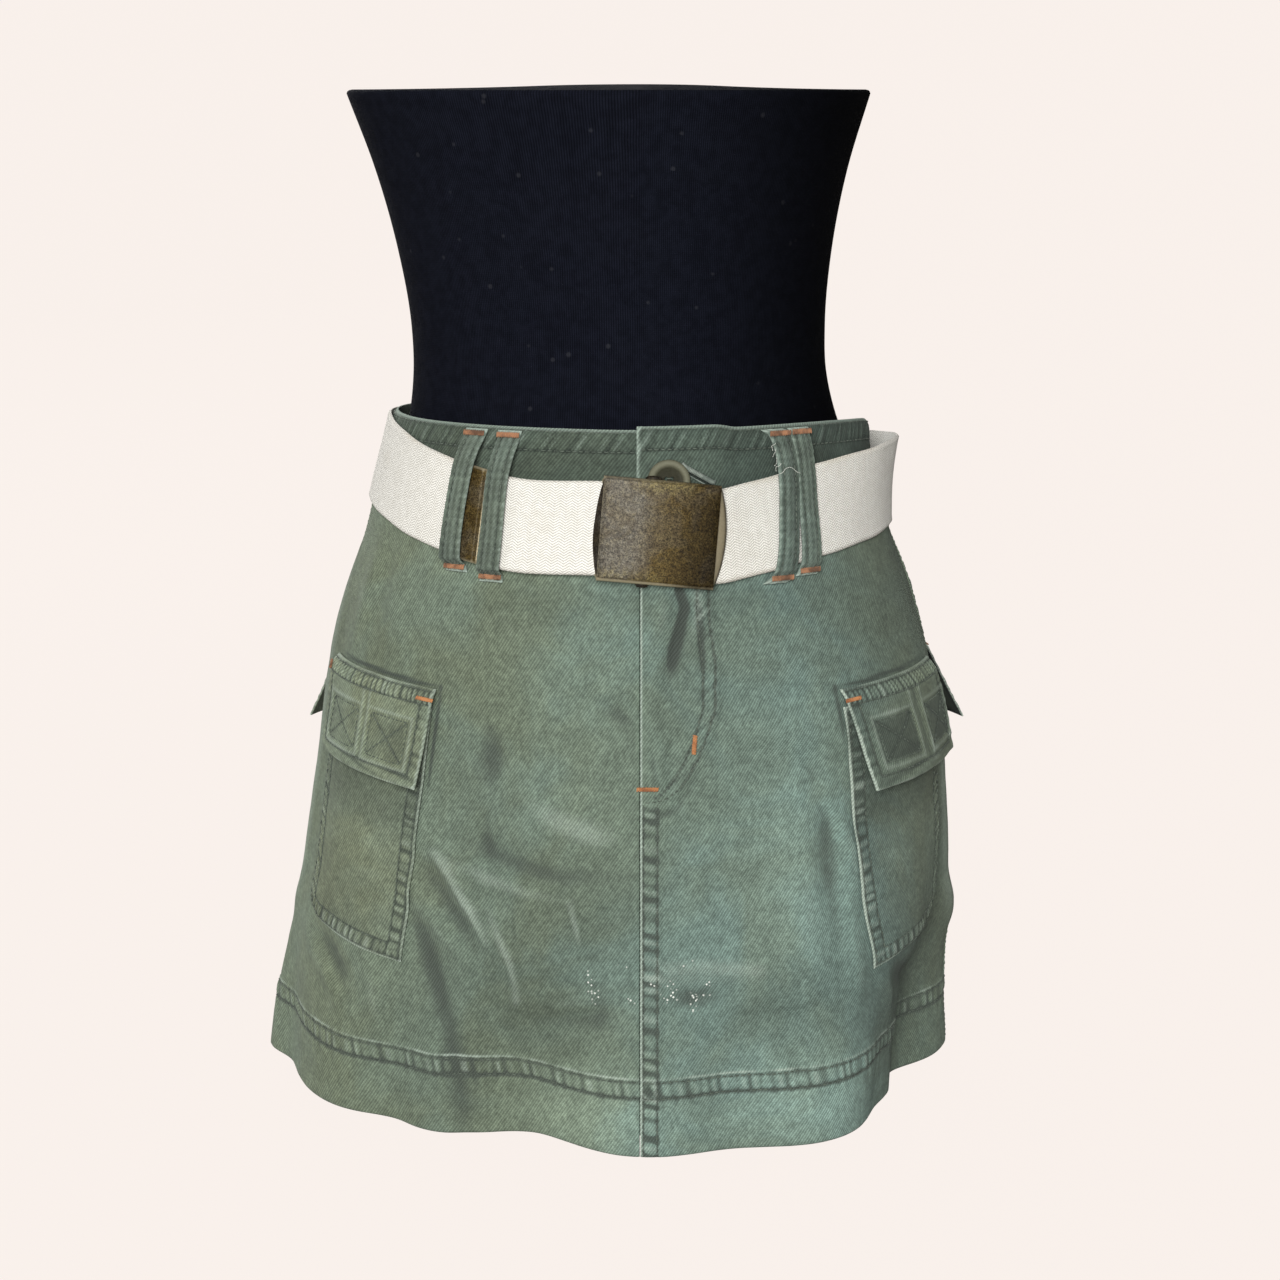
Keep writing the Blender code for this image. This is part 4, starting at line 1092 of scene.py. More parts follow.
@dataclass(frozen=True)
class ThreadFinish(Finish):
    """Twisted sewing thread."""
    light: Colour
    dark: Colour

    def paint(self, board: Board, effects: Effects) -> Inputs:
        """Vary the tone along the sewing and shade the twist.

        Args:
            board: The material's nodes.
            effects: Not used.

        Returns:
            What feeds each input of the shader.
        """
        tone = board.noise(180.0, 3.0, 0.6)
        twist = board.noise(3800.0, 2.0, 0.6)
        colour = board.mix(board.span(tone, 0.35, 0.65), self.dark, self.light)
        return {"Base Color": board.tint(colour, board.mix(twist, grey(0.78), grey(1.2))),
                "Normal": board.bump(twist, 0.5, 0.0001), "Roughness": board.span(tone, 0.3, 0.7, 0.62, 0.8),
                "Sheen Weight": 0.15, "Specular IOR Level": 0.35}


@dataclass(frozen=True)
class ButtonFinish(Finish):
    """Olive resin with a fine matte grain."""
    olive: Colour = (0.072, 0.070, 0.045)
    paler: Colour = (0.105, 0.102, 0.070)
    rubbed_and_lit: Colour = (0.20, 0.20, 0.14)
    hollow: Colour = (0.34, 0.34, 0.30)

    def paint(self, board: Board, effects: Effects) -> Inputs:
        """Cloud the resin, speckle it, and darken its hollow face.

        Args:
            board: The material's nodes.
            effects: The shared node groups.

        Returns:
            What feeds each input of the shader.
        """
        cloud = effects.fading.place(board, Scale=120.0)
        specks = effects.specks.place(board, Scale=1500.0, Share=0.25)["Speck"]
        marks = board.shares()
        colour = board.mix(cloud["Mottle"], self.olive, self.paler)
        colour = board.mix(board.times(specks, 0.3), colour, self.rubbed_and_lit)
        colour = board.mix(board.times(marks.worn, 0.6), colour, self.rubbed_and_lit)
        return {"Base Color": board.tint(colour, board.mix(marks.soil_and_shade, WHITE, self.hollow)),
                "Specular IOR Level": 0.12, "Roughness": board.span(cloud["Cloud"], 0.0, 1.0, 0.52, 0.68),
                "Normal": board.bump(board.noise(900.0, 3.0, 0.6), 0.15, 0.0001)}


@dataclass(frozen=True)
class JerseyFinish(Finish):
    """Near-black ribbed jersey stretched over the form."""
    black: Colour = (0.0028, 0.0033, 0.0058)
    raised: Colour = (0.0100, 0.0115, 0.0195)

    def paint(self, board: Board, effects: Effects) -> Inputs:
        """Rib the jersey, strew a little lint on it, and paint shade on the wearer's left, which is turned from the
        light.

        Args:
            board: The material's nodes.
            effects: The shared node groups.

        Returns:
            What feeds each input of the shader.
        """
        vector, along, up = board.flat_map()
        sway = board.times(board.off_middle(board.noise(40.0, 2.0, 0.5, vector)), 0.001)
        rib = board.wave(board.math("ADD", along, sway), 0.0011)
        loops = board.wave(board.math("ADD", up, board.times(rib, 0.0002)), 0.0009)
        height = board.times(rib, board.blend(loops, 0.4, 0.6))
        cloud = effects.fading.place(board, Scale=18.0)
        colour = board.mix(board.times(height, 0.8), self.black, self.raised)
        colour = board.tint(colour, board.mix(cloud["Mottle"], grey(0.8), grey(1.2)))
        lint = effects.specks.place(board, Scale=260.0, Share=0.02)["Speck"]
        colour = board.mix(board.times(lint, 0.06), colour, (0.2, 0.2, 0.22))
        place = board.add("SeparateXYZ", {"Vector": board.add("TexCoord").outputs["Object"]})
        # painted shade: the wearer's left side is darkened to 0.12 as if turned from the light
        darker_side = board.mix(board.span(place.outputs[0], 0.01, 0.12), WHITE, grey(0.12))
        return {"Base Color": board.tint(colour, darker_side), "Normal": board.bump(height, 0.5, 0.00025),
                "Roughness": board.span(cloud["Cloud"], 0.0, 1.0, 0.88, 0.97), "Specular IOR Level": 0.04}


@dataclass(frozen=True)
class StandFinish(Finish):
    """Black powder coat on the post and the base plate."""

    def paint(self, board: Board, effects: Effects) -> Inputs:
        """Lay the coat's fine peel and a little dust.

        Args:
            board: The material's nodes.
            effects: The shared node groups.

        Returns:
            What feeds each input of the shader.
        """
        peel = board.noise(1600.0, 3.0, 0.6)
        dust = effects.specks.place(board, Scale=500.0, Share=0.04)["Speck"]
        colour = board.mix(peel, (0.014, 0.014, 0.015), (0.026, 0.026, 0.028))
        return {"Base Color": board.mix(board.times(dust, 0.25), colour, grey(0.2)),
                "Normal": board.bump(peel, 0.25, 0.0001), "Roughness": board.span(peel, 0.3, 0.7, 0.42, 0.56)}


FINISHES = {
    "twill": TwillFinish("washed twill", (0.170, 0.204, 0.138), (0.141, 0.203, 0.176), (0.42, 0.50, 0.43),
                         (0.058, 0.070, 0.060)),
    "patch": TwillFinish("washed twill patches", (0.164, 0.190, 0.124), (0.122, 0.172, 0.148), (0.40, 0.47, 0.40),
                         (0.045, 0.056, 0.046)),
    # a darker copy of the twill: partly its own darker cloth, partly painted shade from lying behind the belt
    "band": TwillFinish("washed twill waistband", (0.082, 0.104, 0.076), (0.060, 0.086, 0.072),
                        (0.34, 0.42, 0.36), (0.020, 0.027, 0.022)),
    "loop": TwillFinish("washed twill loops", (0.112, 0.138, 0.104), (0.096, 0.134, 0.116), (0.40, 0.48, 0.42),
                        (0.026, 0.033, 0.028), yarn=0.16, rib=0.09),
    "web": WebFinish("cream web"),
    "brass": BrassFinish("antique brass"),
    "button": ButtonFinish("olive button"),
    "jersey": JerseyFinish("black jersey"),
    "stand": StandFinish("black powder coat"),
    "thread": ThreadFinish("green thread", (0.125, 0.155, 0.120), (0.045, 0.060, 0.045)),
    "tack": ThreadFinish("orange thread", (0.56, 0.24, 0.09), (0.30, 0.110, 0.040)),
    "brown": ThreadFinish("brown thread", (0.42, 0.20, 0.10), (0.13, 0.062, 0.032)),
    "pale": ThreadFinish("pale thread", (0.62, 0.64, 0.58), (0.46, 0.48, 0.43)),
    "cord": ThreadFinish("buttonhole thread", (0.27, 0.31, 0.27), (0.12, 0.15, 0.13)),
}
Wardrobe = dict[str, bpy.types.Material]  # the finished materials, by the names above


# ---------------------------------------------------------------- faces and sewing thread
@dataclass(frozen=True)
class Face:
    """The outer face of a cloth piece, read by two coordinates.

    Attributes:
        points: Gives points for two arrays of coordinates.
        steps: Small steps of both coordinates, for reading directions.
    """
    points: Callable[[Array, Array], Array]
    steps: tuple[float, float]

    def __call__(self, a: Array, b: Array) -> Array:
        """Points of the face."""
        return self.points(np.asarray(a, float), np.asarray(b, float))


def face_frame(face: Face, a: Array, b: Array) -> tuple[Array, Array]:
    """Points and outward directions of a face at two coordinates.

    Args:
        face: The face.
        a: First coordinates.
        b: Second coordinates.

    Returns:
        The points and the unit normals, which look away from the object's axis.
    """
    step_a, step_b = face.steps
    points = face(a, b)
    normals = np.cross(face(a + step_a, b) - face(a - step_a, b), face(a, b + step_b) - face(a, b - step_b))
    normals /= np.maximum(np.linalg.norm(normals, axis=-1, keepdims=True), 1e-12)
    outward = np.sign((normals[..., :2] * points[..., :2]).sum(axis=-1, keepdims=True))
    return points, normals * np.where(outward == 0, 1.0, outward)


@dataclass
class ThreadWork:
    """Collects separate stitches and makes one piece of them.

    Attributes:
        name: The piece's name.
        sides: Corners of a stitch's cross-section.
        profile: Places along a stitch, with shares of its radius and of its arch.
    """
    name: str
    sides: int = 5
    points: list[Array] = field(default_factory=list, repr=False)
    faces: list[list[int]] = field(default_factory=list, repr=False)
    count: int = 0
    profile: tuple[Spot, ...] = (
        (0.0, 0.0, 0.0), (0.16, 0.85, 0.55), (0.5, 1.0, 1.0), (0.84, 0.85, 0.55), (1.0, 0.0, 0.0))

    def capsules(self, ends: Array, normals: Array, radius: float, arch: float) -> None:
        """Add small arched capsules.

        Args:
            ends: Start and end of each stitch, an array of n by 2 by 3.
            normals: Direction out of the cloth at each stitch.
            radius: Half the thread's thickness.
            arch: How far the middle stands above the ends.
        """
        start, end = ends[:, 0], ends[:, 1]
        along = end - start
        length = np.linalg.norm(along, axis=1, keepdims=True)
        along = along / np.maximum(length, 1e-9)
        side = np.cross(normals, along)
        side /= np.maximum(np.linalg.norm(side, axis=1, keepdims=True), 1e-9)
        up = np.cross(along, side)
        turn = np.linspace(0, 2 * math.pi, self.sides, endpoint=False)
        around = side[:, None] * np.cos(turn)[None, :, None] + up[:, None] * np.sin(turn)[None, :, None]
        rings = []
        for share, wide, high in self.profile:
            centre = start + along * length * share + up * (arch * high)
            rings.append(centre[:, None] + around * radius * wide if wide else centre[:, None])
        block = np.concatenate(rings, axis=1)
        each, n = block.shape[1], self.sides
        pattern = [[0, 1 + (k + 1) % n, 1 + k] for k in range(n)]
        for row in range(2):
            first, after = 1 + row * n, 1 + (row + 1) * n
            pattern += [[first + k, first + (k + 1) % n, after + (k + 1) % n, after + k] for k in range(n)]
        last = each - 1
        pattern += [[last, 1 + 2 * n + k, 1 + 2 * n + (k + 1) % n] for k in range(n)]
        for i in range(len(block)):
            base = self.count + i * each
            self.faces += [[base + corner for corner in face] for face in pattern]
        self.points.append(block.reshape(-1, 3))
        self.count += len(block) * each

    def row(self, path: Array, normals: Array, pitch: float = 0.0031, length: float = 0.0023,
            radius: float = 0.00030) -> None:
        """Sew a row of lockstitches along a path.

        Args:
            path: Dense points along the row, on the cloth's face.
            normals: Direction out of the cloth at each.
            pitch: Distance from stitch to stitch.
            length: Length of the thread that shows.
            radius: Half the thread's thickness.
        """
        steps = np.linalg.norm(np.diff(path, axis=0), axis=1)
        run = np.concatenate([[0.0], np.cumsum(steps)])
        number = int(run[-1] / pitch)
        if number < 1:
            return
        starts = (np.arange(number) + 0.5) * run[-1] / number - length / 2

        def read(rows: Array, at: Array) -> Array:
            """Rows of three numbers at distances along the path."""
            return np.stack([np.interp(at, run, rows[:, i]) for i in range(3)], axis=1)

        ends = np.stack([read(path, starts), read(path, starts + length)], axis=1)
        out = read(normals, starts + length / 2)
        out /= np.linalg.norm(out, axis=1, keepdims=True)
        self.capsules(ends, out, radius, radius * 0.75)

    def tack(self, middle: Array, along: Array, out: Array, length: float, width: float,
             radius: float = 0.00024) -> None:
        """Sew a bartack: close zigzag threads across a short bar.

        Args:
            middle: Its middle, on the cloth's face.
            along: Unit vector along the bar.
            out: Unit vector out of the cloth.
            length: Length of the bar.
            width: Width of the bar.
            radius: Half the thread's thickness.
        """
        along, out = np.asarray(along), np.asarray(out)
        side = np.cross(out, along)
        number = max(8, int(length / 0.00042))
        places = (np.arange(number) / (number - 1) - 0.5) * length
        sway = 0.09 * width * np.sin(np.arange(number) * 2.4)
        low = middle + along * (places - 0.00012)[:, None] - side * (width / 2 + sway)[:, None]
        high = middle + along * (places + 0.00012)[:, None] + side * (width / 2 - sway)[:, None]
        ends = np.stack([low, high], axis=1) + out * 0.00012
        self.capsules(ends, np.broadcast_to(out, (number, 3)), radius, 0.00022)
        runs = np.array([-0.28, 0.0, 0.30])[:, None] * width * side
        ends = np.stack([middle + runs + along * length * end for end in (-0.51, 0.51)], axis=1)
        self.capsules(ends, np.broadcast_to(out, (3, 3)), radius, 0.00010)

    def make(self, material: bpy.types.Material, slot: str) -> bpy.types.Object:
        """Make the piece of all the stitches added.

        Args:
            material: Its finish.
            slot: Not used.

        Returns:
            The piece.
        """
        item = new_object(self.name, np.concatenate(self.points), self.faces)
        dress(item, material)
        return item


@dataclass
class SewingBox:
    """The thread work of the whole skirt, one piece for each group of sewing."""
    works: dict[str, ThreadWork] = field(default_factory=dict)

    def work(self, name: str) -> ThreadWork:
        """The thread work of a name, begun if it is new."""
        return self.works.setdefault(name, ThreadWork(name))

    def row(self, name: str, face: Face, a: Array, b: Array, stand: float = 0.00012, **sizes: float) -> None:
        """Sew a row on a face that is read by two coordinates.

        Args:
            name: The thread work.
            face: The face sewn on.
            a: First coordinate along the row.
            b: Second coordinate along the row.
            stand: How far the thread lies above the face.
            **sizes: Sizes of the stitches.
        """
        a, b = np.broadcast_arrays(np.asarray(a, float), np.asarray(b, float))
        path, normals = face_frame(face, a, b)
        self.work(name).row(path + normals * stand, normals, **sizes)

    def tack(self, name: str, face: Face, start: tuple[float, float], end: tuple[float, float],
             width: float, stand: float = 0.0003) -> None:
        """Sew a bartack between two places of a face.

        Args:
            name: The thread work.
            face: The face sewn on.
            start: Its first end.
            end: Its second end.
            width: The bar's width.
            stand: How far it lies above the face.
        """
        places = np.array([start, end], float)
        points = face(places[:, 0], places[:, 1])
        centre, normal = face_frame(face, places[:, 0].mean(keepdims=True), places[:, 1].mean(keepdims=True))
        bar = points[1] - points[0]
        length = float(np.linalg.norm(bar))
        along = bar / length
        out = normal[0] - along * float(normal[0] @ along)
        out /= np.linalg.norm(out)
        self.work(name).tack(centre[0] + out * stand, along, out, length, width)


# ---------------------------------------------------------------- the skirt's cloth
SEAM_GAP = 0.0003
# broad paler and darker places on the front, partly washed cloth, partly painted light on bulges and painted shade
# towards the sides, in metres round and up: x, z, half width, half height, paler or darker
TONES = (
    (0.082, 0.150, 0.032, 0.070, 0.40), (0.086, 0.030, 0.045, 0.034, 0.46), (-0.030, 0.030, 0.036, 0.024, 0.52),
    (0.030, 0.026, 0.040, 0.020, 0.16), (-0.120, 0.230, 0.070, 0.080, -0.18), (-0.110, 0.060, 0.060, 0.060, -0.22),
    (-0.080, 0.150, 0.030, 0.060, -0.14), (0.016, 0.250, 0.016, 0.040, -0.14), (0.140, 0.270, 0.040, 0.050, -0.20),
    (0.150, 0.075, 0.036, 0.050, -0.26), (0.060, 0.285, 0.060, 0.012, -0.16), (-0.050, 0.281, 0.050, 0.012, -0.16),
    (-0.045, 0.070, 0.022, 0.040, -0.12), (0.050, 0.075, 0.030, 0.020, -0.06), (-0.055, 0.085, 0.030, 0.030, -0.14),
    (0.182, 0.066, 0.042, 0.060, -0.34), (0.205, 0.290, 0.045, 0.060, -0.34), (-0.215, 0.280, 0.030, 0.100, -0.26),
    (0.116, 0.028, 0.022, 0.018, 0.26), (0.080, 0.084, 0.030, 0.022, -0.28), (0.036, 0.026, 0.022, 0.016, -0.16),
    (-0.022, 0.125, 0.030, 0.030, -0.18), (0.200, 0.150, 0.026, 0.075, -0.26), (0.185, 0.035, 0.035, 0.030, -0.12),
)
# bleach spatter on the front, in metres round and up: x, z, half width, half height
SPATTER = (
    (-0.0245, 0.0985, 0.0022, 0.0060), (-0.0205, 0.0905, 0.0030, 0.0040), (-0.0085, 0.1060, 0.0022, 0.0022),
    (-0.0040, 0.0930, 0.0022, 0.0060), (0.0150, 0.0930, 0.0050, 0.0060), (0.0225, 0.1085, 0.0034, 0.0026),
    (0.0270, 0.0880, 0.0022, 0.0060), (0.0330, 0.0935, 0.0026, 0.0070), (0.0060, 0.0970, 0.0026, 0.0018),
)


def crease_marks(relief: Array) -> tuple[Array, Array]:
    """Scuffed ridges and painted shade in the troughs of the creases, from their relief in metres."""
    return 0.42 * unit((relief - 0.0005) / 0.0024), 0.66 * unit((-relief - 0.0003) / 0.0032)


def wash_light_and_shade(along: Array, height: Array) -> Array:
    """Broad paler and darker places, partly washed cloth and partly painted light and shade, from the TONES table.

    Args:
        along: Metres round from the centre front.
        height: Heights in metres.

    Returns:
        The tone, 0 where it is plain.
    """
    tone = np.zeros(along.shape)
    for x, z, wide, high, amount in TONES:
        tone = tone + amount * np.exp(-((along - x) / wide) ** 2 - ((height - z) / high) ** 2)
    return np.clip(tone, -0.6, 0.7)


def rough_x(angle: Array) -> Array:
    """About how far to the wearer's left an angle lies, in metres."""
    return np.sin(np.radians(angle)) * 0.15


def washed_tint(x: Array) -> Array:
    """Share of the cooler dye across the skirt, by a rough x."""
    return 0.05 + 0.85 * ease((x + 0.16) / 0.24) - 0.55 * ease((x - 0.095) / 0.05)


def between(at: Array, low: float, high: float, soft: float) -> Array:
    """1 between two places, falling softly outside them."""
    return ease((at - low) / soft + 0.5) * (1 - ease((at - high) / soft + 0.5))


def two_rows(at: Array, rows: tuple[float, float], half_width: float = 0.0006) -> Array:
    """The grooves of two rows of stitches."""
    return hump(at - rows[0], half_width) + hump(at - rows[1], half_width)


def rounded(edge: Array, radius: float, drop: float) -> Array:
    """How far a rounded edge lies below the face, by distance from the edge."""
    return drop * (1.0 - np.sqrt(1.0 - unit(1.0 - edge / radius) ** 2))


def stack_marks(worn: Array, soil_and_shade: Array, tint: Array, bleached: Array = 0.0, tone: Array = 0.0) -> Array:
    """Marks of a grid from its four masks and its tone."""
    return np.stack(np.broadcast_arrays(worn, soil_and_shade, tint, bleached, tone), axis=-1)


class Sewn(NamedTuple):
    """A sewn band: its puckers from -1 to 1, its stitch lines, and where the cloth is doubled."""
    ladder: Array
    line: Array
    step: Array


class PanelLayers(NamedTuple):
    """What shapes or marks a panel at its places; distances are in metres."""
    relief: Array
    shade_and_wear: Array
    place: Array
    rim: Array
    hem: Sewn
    strip: Sewn
    fly: Sewn


@dataclass
class Panel:
    """One of the four panels, between a centre seam and a side seam.

    Attributes:
        name: The node it stands for.
        side: 1 for the wearer's left, -1 for the right.
        front: Whether it is a front panel.
        cloth: The surface it lies on.
        columns: Points across, less one a multiple of 3.
        pitch: Distance between rows of points.
    """
    name: str
    side: int
    front: bool
    cloth: SkirtSurface
    columns: int = 298
    pitch: float = 0.0016
    band: float = 0.042
    band_pitch: float = 0.00105
    thickness: float = 0.0013
    hem_fold: float = 0.0395
    hem_rows: tuple[float, float] = (0.0382, 0.0300)
    hem_raise: float = 0.0006
    strip: float = 0.0094
    strip_rows: tuple[float, float] = (0.0014, 0.0083)
    strip_raise: float = 0.0008
    fly_width: float = 0.0375
    fly_rows: tuple[float, float] = (-0.0012, -0.0072)
    fly_raise: float = 0.0010
    fly_foot: float = 0.1868
    fly_curve: float = 0.0456
    side_strip: float = 0.009
    side_rows: tuple[float, float] = (0.0016, 0.0074)

    @property
    def centre(self) -> float:
        """The angle of its centre seam."""
        return self.side * (0.0 if self.front else 180.0)

    @property
    def felled(self) -> bool:
        """Whether the centre seam is felled on this side."""
        return self.side > 0

    @property
    def has_fly(self) -> bool:
        """Whether the fly is on this panel."""
        return self.front and self.side > 0

    @property
    def face(self) -> Face:
        """Its outer face, by angle and height."""
        return Face(lambda a, h: self.cloth.point(a, h, self.out(a, h)), (0.25, 0.001))

    def off_seam(self, seam: float, angle: Array, height: Array) -> Array:
        """Distance of places from a seam at an angle."""
        return np.abs(self.cloth.distance(angle, height) - self.cloth.distance(seam, height)) - SEAM_GAP / 2

    def fly_edge(self, height: Array) -> Array:
        """How far the fly facing reaches from the centre front, at a height."""
        rise = unit((height - self.fly_foot) / self.fly_curve)
        return self.fly_width * np.cbrt(rise) - 0.0035 * ease((height - 0.250) / 0.030)

    def sewn_hem(self, along: Array, edge: Array) -> Sewn:
        """The hem, whose puckers run on a little above and below its rows.

        Args:
            along: Metres round.
            edge: Metres above the hem's edge.

        Returns:
            The sewn band.
        """
        high, low = self.hem_rows
        ladder = puckers(along + 0.15 * (edge - low), 0.0063, 3)
        wander = puckers(along * 0.93 + 0.10 * edge, 0.0075, 8)
        inside = between(edge, low + 0.0008, high - 0.0008, 0.0024)
        under = np.where(edge < low, np.exp(-np.clip(low - edge, 0, None) / 0.0085), 0.0)
        over = np.where(edge > high, np.exp(-np.clip(edge - high, 0, None) / 0.0040), 0.0)
        return Sewn(ladder * inside + 0.45 * (ladder * 0.5 + wander) * under + 0.35 * ladder * over,
                    hump(edge - high, 0.0007) + 1.4 * hump(edge - low, 0.0009),
                    1 - ease((edge - self.hem_fold) / 0.0014))

    def sewn_strips(self, place: Array, beyond: Array, height: Array) -> Sewn:
        """The felled centre seam and, at the back, the felled side seam.

        Args:
            place: Metres from the centre seam.
            beyond: Metres from the side seam.
            height: Heights in metres.

        Returns:
            The sewn bands.
        """
        ladder = line = step = np.zeros(place.shape)
        if self.felled:
            clear = ease((self.fly_foot - height) / 0.004) if self.front else 1.0
            rungs = puckers(height + 0.2 * place, 0.0078, 5 if self.front else 9)
            past = place - self.strip_rows[1]
            tail = np.exp(-np.clip(past, 0, None) / 0.003) * (past > 0)
            ladder = rungs * (between(place, *self.strip_rows, 0.0022) + 0.6 * tail) * clear
            line = clear * two_rows(place, self.strip_rows)
            step = (1 - ease((place - self.strip) / 0.0020)) * clear
        if not self.front:
            ladder = ladder + puckers(height, 0.0046, 12 + self.side) * between(beyond, *self.side_rows, 0.0022)
            line = line + two_rows(beyond, self.side_rows)
            step = np.maximum(step, 0.7 * (1 - ease((beyond - self.side_strip) / 0.002)))
        return Sewn(ladder, line, step)

    def sewn_fly(self, place: Array, height: Array) -> Sewn:
        """The fly's facing and its curved rows.

        Args:
            place: Metres from the centre seam.
            height: Heights in metres.

        Returns:
            The sewn band, nothing on the other panels.
        """
        if not self.has_fly:
            return Sewn(*[np.zeros(place.shape)] * 3)
        inset = place - self.fly_edge(height)
        above = ease((height - self.fly_foot) / 0.003)
        ladder = puckers(height - 0.9 * place, 0.0052, 21) * between(inset, -0.0076, 0.0008, 0.004)
        return Sewn(ladder * above, two_rows(inset, self.fly_rows, 0.0007) * above, (1 - ease(inset / 0.003)) * above)

    def layers(self, angle: Array, height: Array) -> PanelLayers:
        """Everything that shapes or marks the cloth at its places.

        Args:
            angle: Degrees round the body.
            height: Heights in metres.

        Returns:
            The layers.
        """
        place, beyond = (self.off_seam(seam, angle, height) for seam in (self.centre, self.side * 90.0))
        edge = height - self.cloth.hem(angle)
        return PanelLayers(
            *self.cloth.creased(angle, height), place, edge,
            self.sewn_hem(self.cloth.distance(angle, height), edge), self.sewn_strips(place, beyond, height),
            self.sewn_fly(place, height))

    def out(self, angle: Array, height: Array) -> Array:
        """How far its face stands off the surface.

        Args:
            angle: Degrees round the body.
            height: Heights in metres.

        Returns:
            Metres out.
        """
        at = self.layers(angle, height)
        raised = np.maximum(self.hem_raise * at.hem.step, self.strip_raise * at.strip.step)
        raised = np.maximum(raised, self.fly_raise * at.fly.step)
        ripple = 0.00055 * at.hem.ladder + 0.00050 * at.strip.ladder + 0.00034 * at.fly.ladder
        lines = 0.00034 * (at.hem.line + at.strip.line + at.fly.line)
        edges = rounded(at.rim, 0.0012, 0.0007) + rounded(at.place, 0.0008, 0.0006)
        return at.relief + raised + ripple - lines - edges

    def marks(self, angle: Array, height: Array) -> Array:
        """Its marks: scuffed crests and folds; painted shade in pucker valleys, crease troughs and flap shadows; real
        smudges; and the wash with painted light and shade.

        Args:
            angle: Degrees round the body.
            height: Heights in metres.

        Returns:
            The marks.
        """
        at = self.layers(angle, height)
        along = self.cloth.distance(one_turn(angle), height)
        broken = unit(0.45 + 0.9 * soft_noise(along, height, 0.009, 27))
        ridges, trough_shade = crease_marks(at.relief)
        crest = unit(at.hem.ladder) + unit(at.strip.ladder) + 0.7 * unit(at.fly.ladder)
        valley_shade = unit(-at.hem.ladder) + 1.5 * unit(-at.strip.ladder) + 0.8 * unit(-at.fly.ladder)
        fold = hump(at.rim - self.hem_fold - 0.0004, 0.0006)
        worn = 0.46 * crest + (0.30 + 0.35 * broken) * fold + 0.3 * broken * hump(at.rim, 0.0010) + ridges
        worn = worn + 0.95 * self.felled * hump(at.place, 0.0007) + np.clip(-at.shade_and_wear, 0, None)
        # painted shade: pucker valleys, crease troughs and the creases' own shade, with darker stitch lines
        soil_and_shade = 0.80 * valley_shade + trough_shade + 0.70 * (at.hem.line + at.fly.line) + 0.80 * at.strip.line
        soil_and_shade = soil_and_shade + np.clip(at.shade_and_wear, 0, None)
        bleached = tone = 0.0 * worn
        if self.front:
            tone = wash_light_and_shade(along, height)
            worn = worn + 0.30 * between(along, 0.003, 0.062, 0.012) * hump(height - 0.101, 0.0060)
            for x, z, wide, high in ((0.026, 0.090, 0.010, 0.005), (-0.0195, 0.086, 0.005, 0.015)):
                soil_and_shade = soil_and_shade + 0.40 * hump(along - x, wide) * hump(height - z, high)
            for x, z, wide, high in SPATTER:
                near = np.hypot((along - x) / wide, (height - z) / high)
                bleached = np.maximum(bleached, 1 - ease((near - 0.7) / 0.5))
        # painted shade: the strongest creases and flap shadows also lower the tone
        tone = tone - 0.60 * unit(at.shade_and_wear - 0.7)
        return stack_marks(worn, soil_and_shade, washed_tint(rough_x(angle)), bleached, tone)

    def grid(self) -> tuple[Array, Array]:
        """The grid of its points, rows down, columns to the wearer's left.

        Returns:
            The angles and the heights.
        """
        cloth, side = self.cloth, self.side * 90.0
        middle = float(cloth.seam(side / 2) - cloth.hem(side / 2)) - self.band
        upper = max(3, 3 * round(middle / self.pitch / 3))
        lower = 3 * round(self.band / self.band_pitch / 3)
        shares = np.concatenate([np.linspace(0, 1, upper + 1), np.ones(lower)])[:, None]
        below = np.concatenate([np.zeros(upper + 1), np.linspace(0, self.band, lower + 1)[1:]])[:, None]
        across = np.linspace(0.0, 1.0, self.columns)[None, :]
        height = np.broadcast_to(cloth.seam(self.centre), (len(shares), self.columns)).astype(float)
        angle = height
        for _ in range(5):
            first = cloth.distance(self.centre, height)
            room = cloth.distance(side, height) - first
            place = SEAM_GAP / 2 + across * (np.abs(room) - SEAM_GAP)
            angle = cloth.angle(first + np.sign(room) * place, height)
            top = cloth.seam(angle) - SEAM_GAP
            height = top + (cloth.hem(angle) + self.band - top) * shares - below
        if (self.side > 0) != self.front:
            angle, height = angle[:, ::-1], height[:, ::-1]
        return angle, height

    def build(self, wardrobe: Wardrobe) -> None:
        """Make the panel.

        Args:
            wardrobe: The materials.
        """
        angle, height = self.grid()
        outer = self.cloth.point(angle, height, self.out(angle, height))
        inner = self.cloth.point(angle, height, self.cloth.relief(angle, height) - self.thickness)
        flat = np.stack([self.cloth.distance(angle, height), height], axis=-1)
        item = shell(self.name + "_cloth", outer, inner, flat, self.marks(angle, height))
        dress(item, wardrobe["twill"], [self.name])

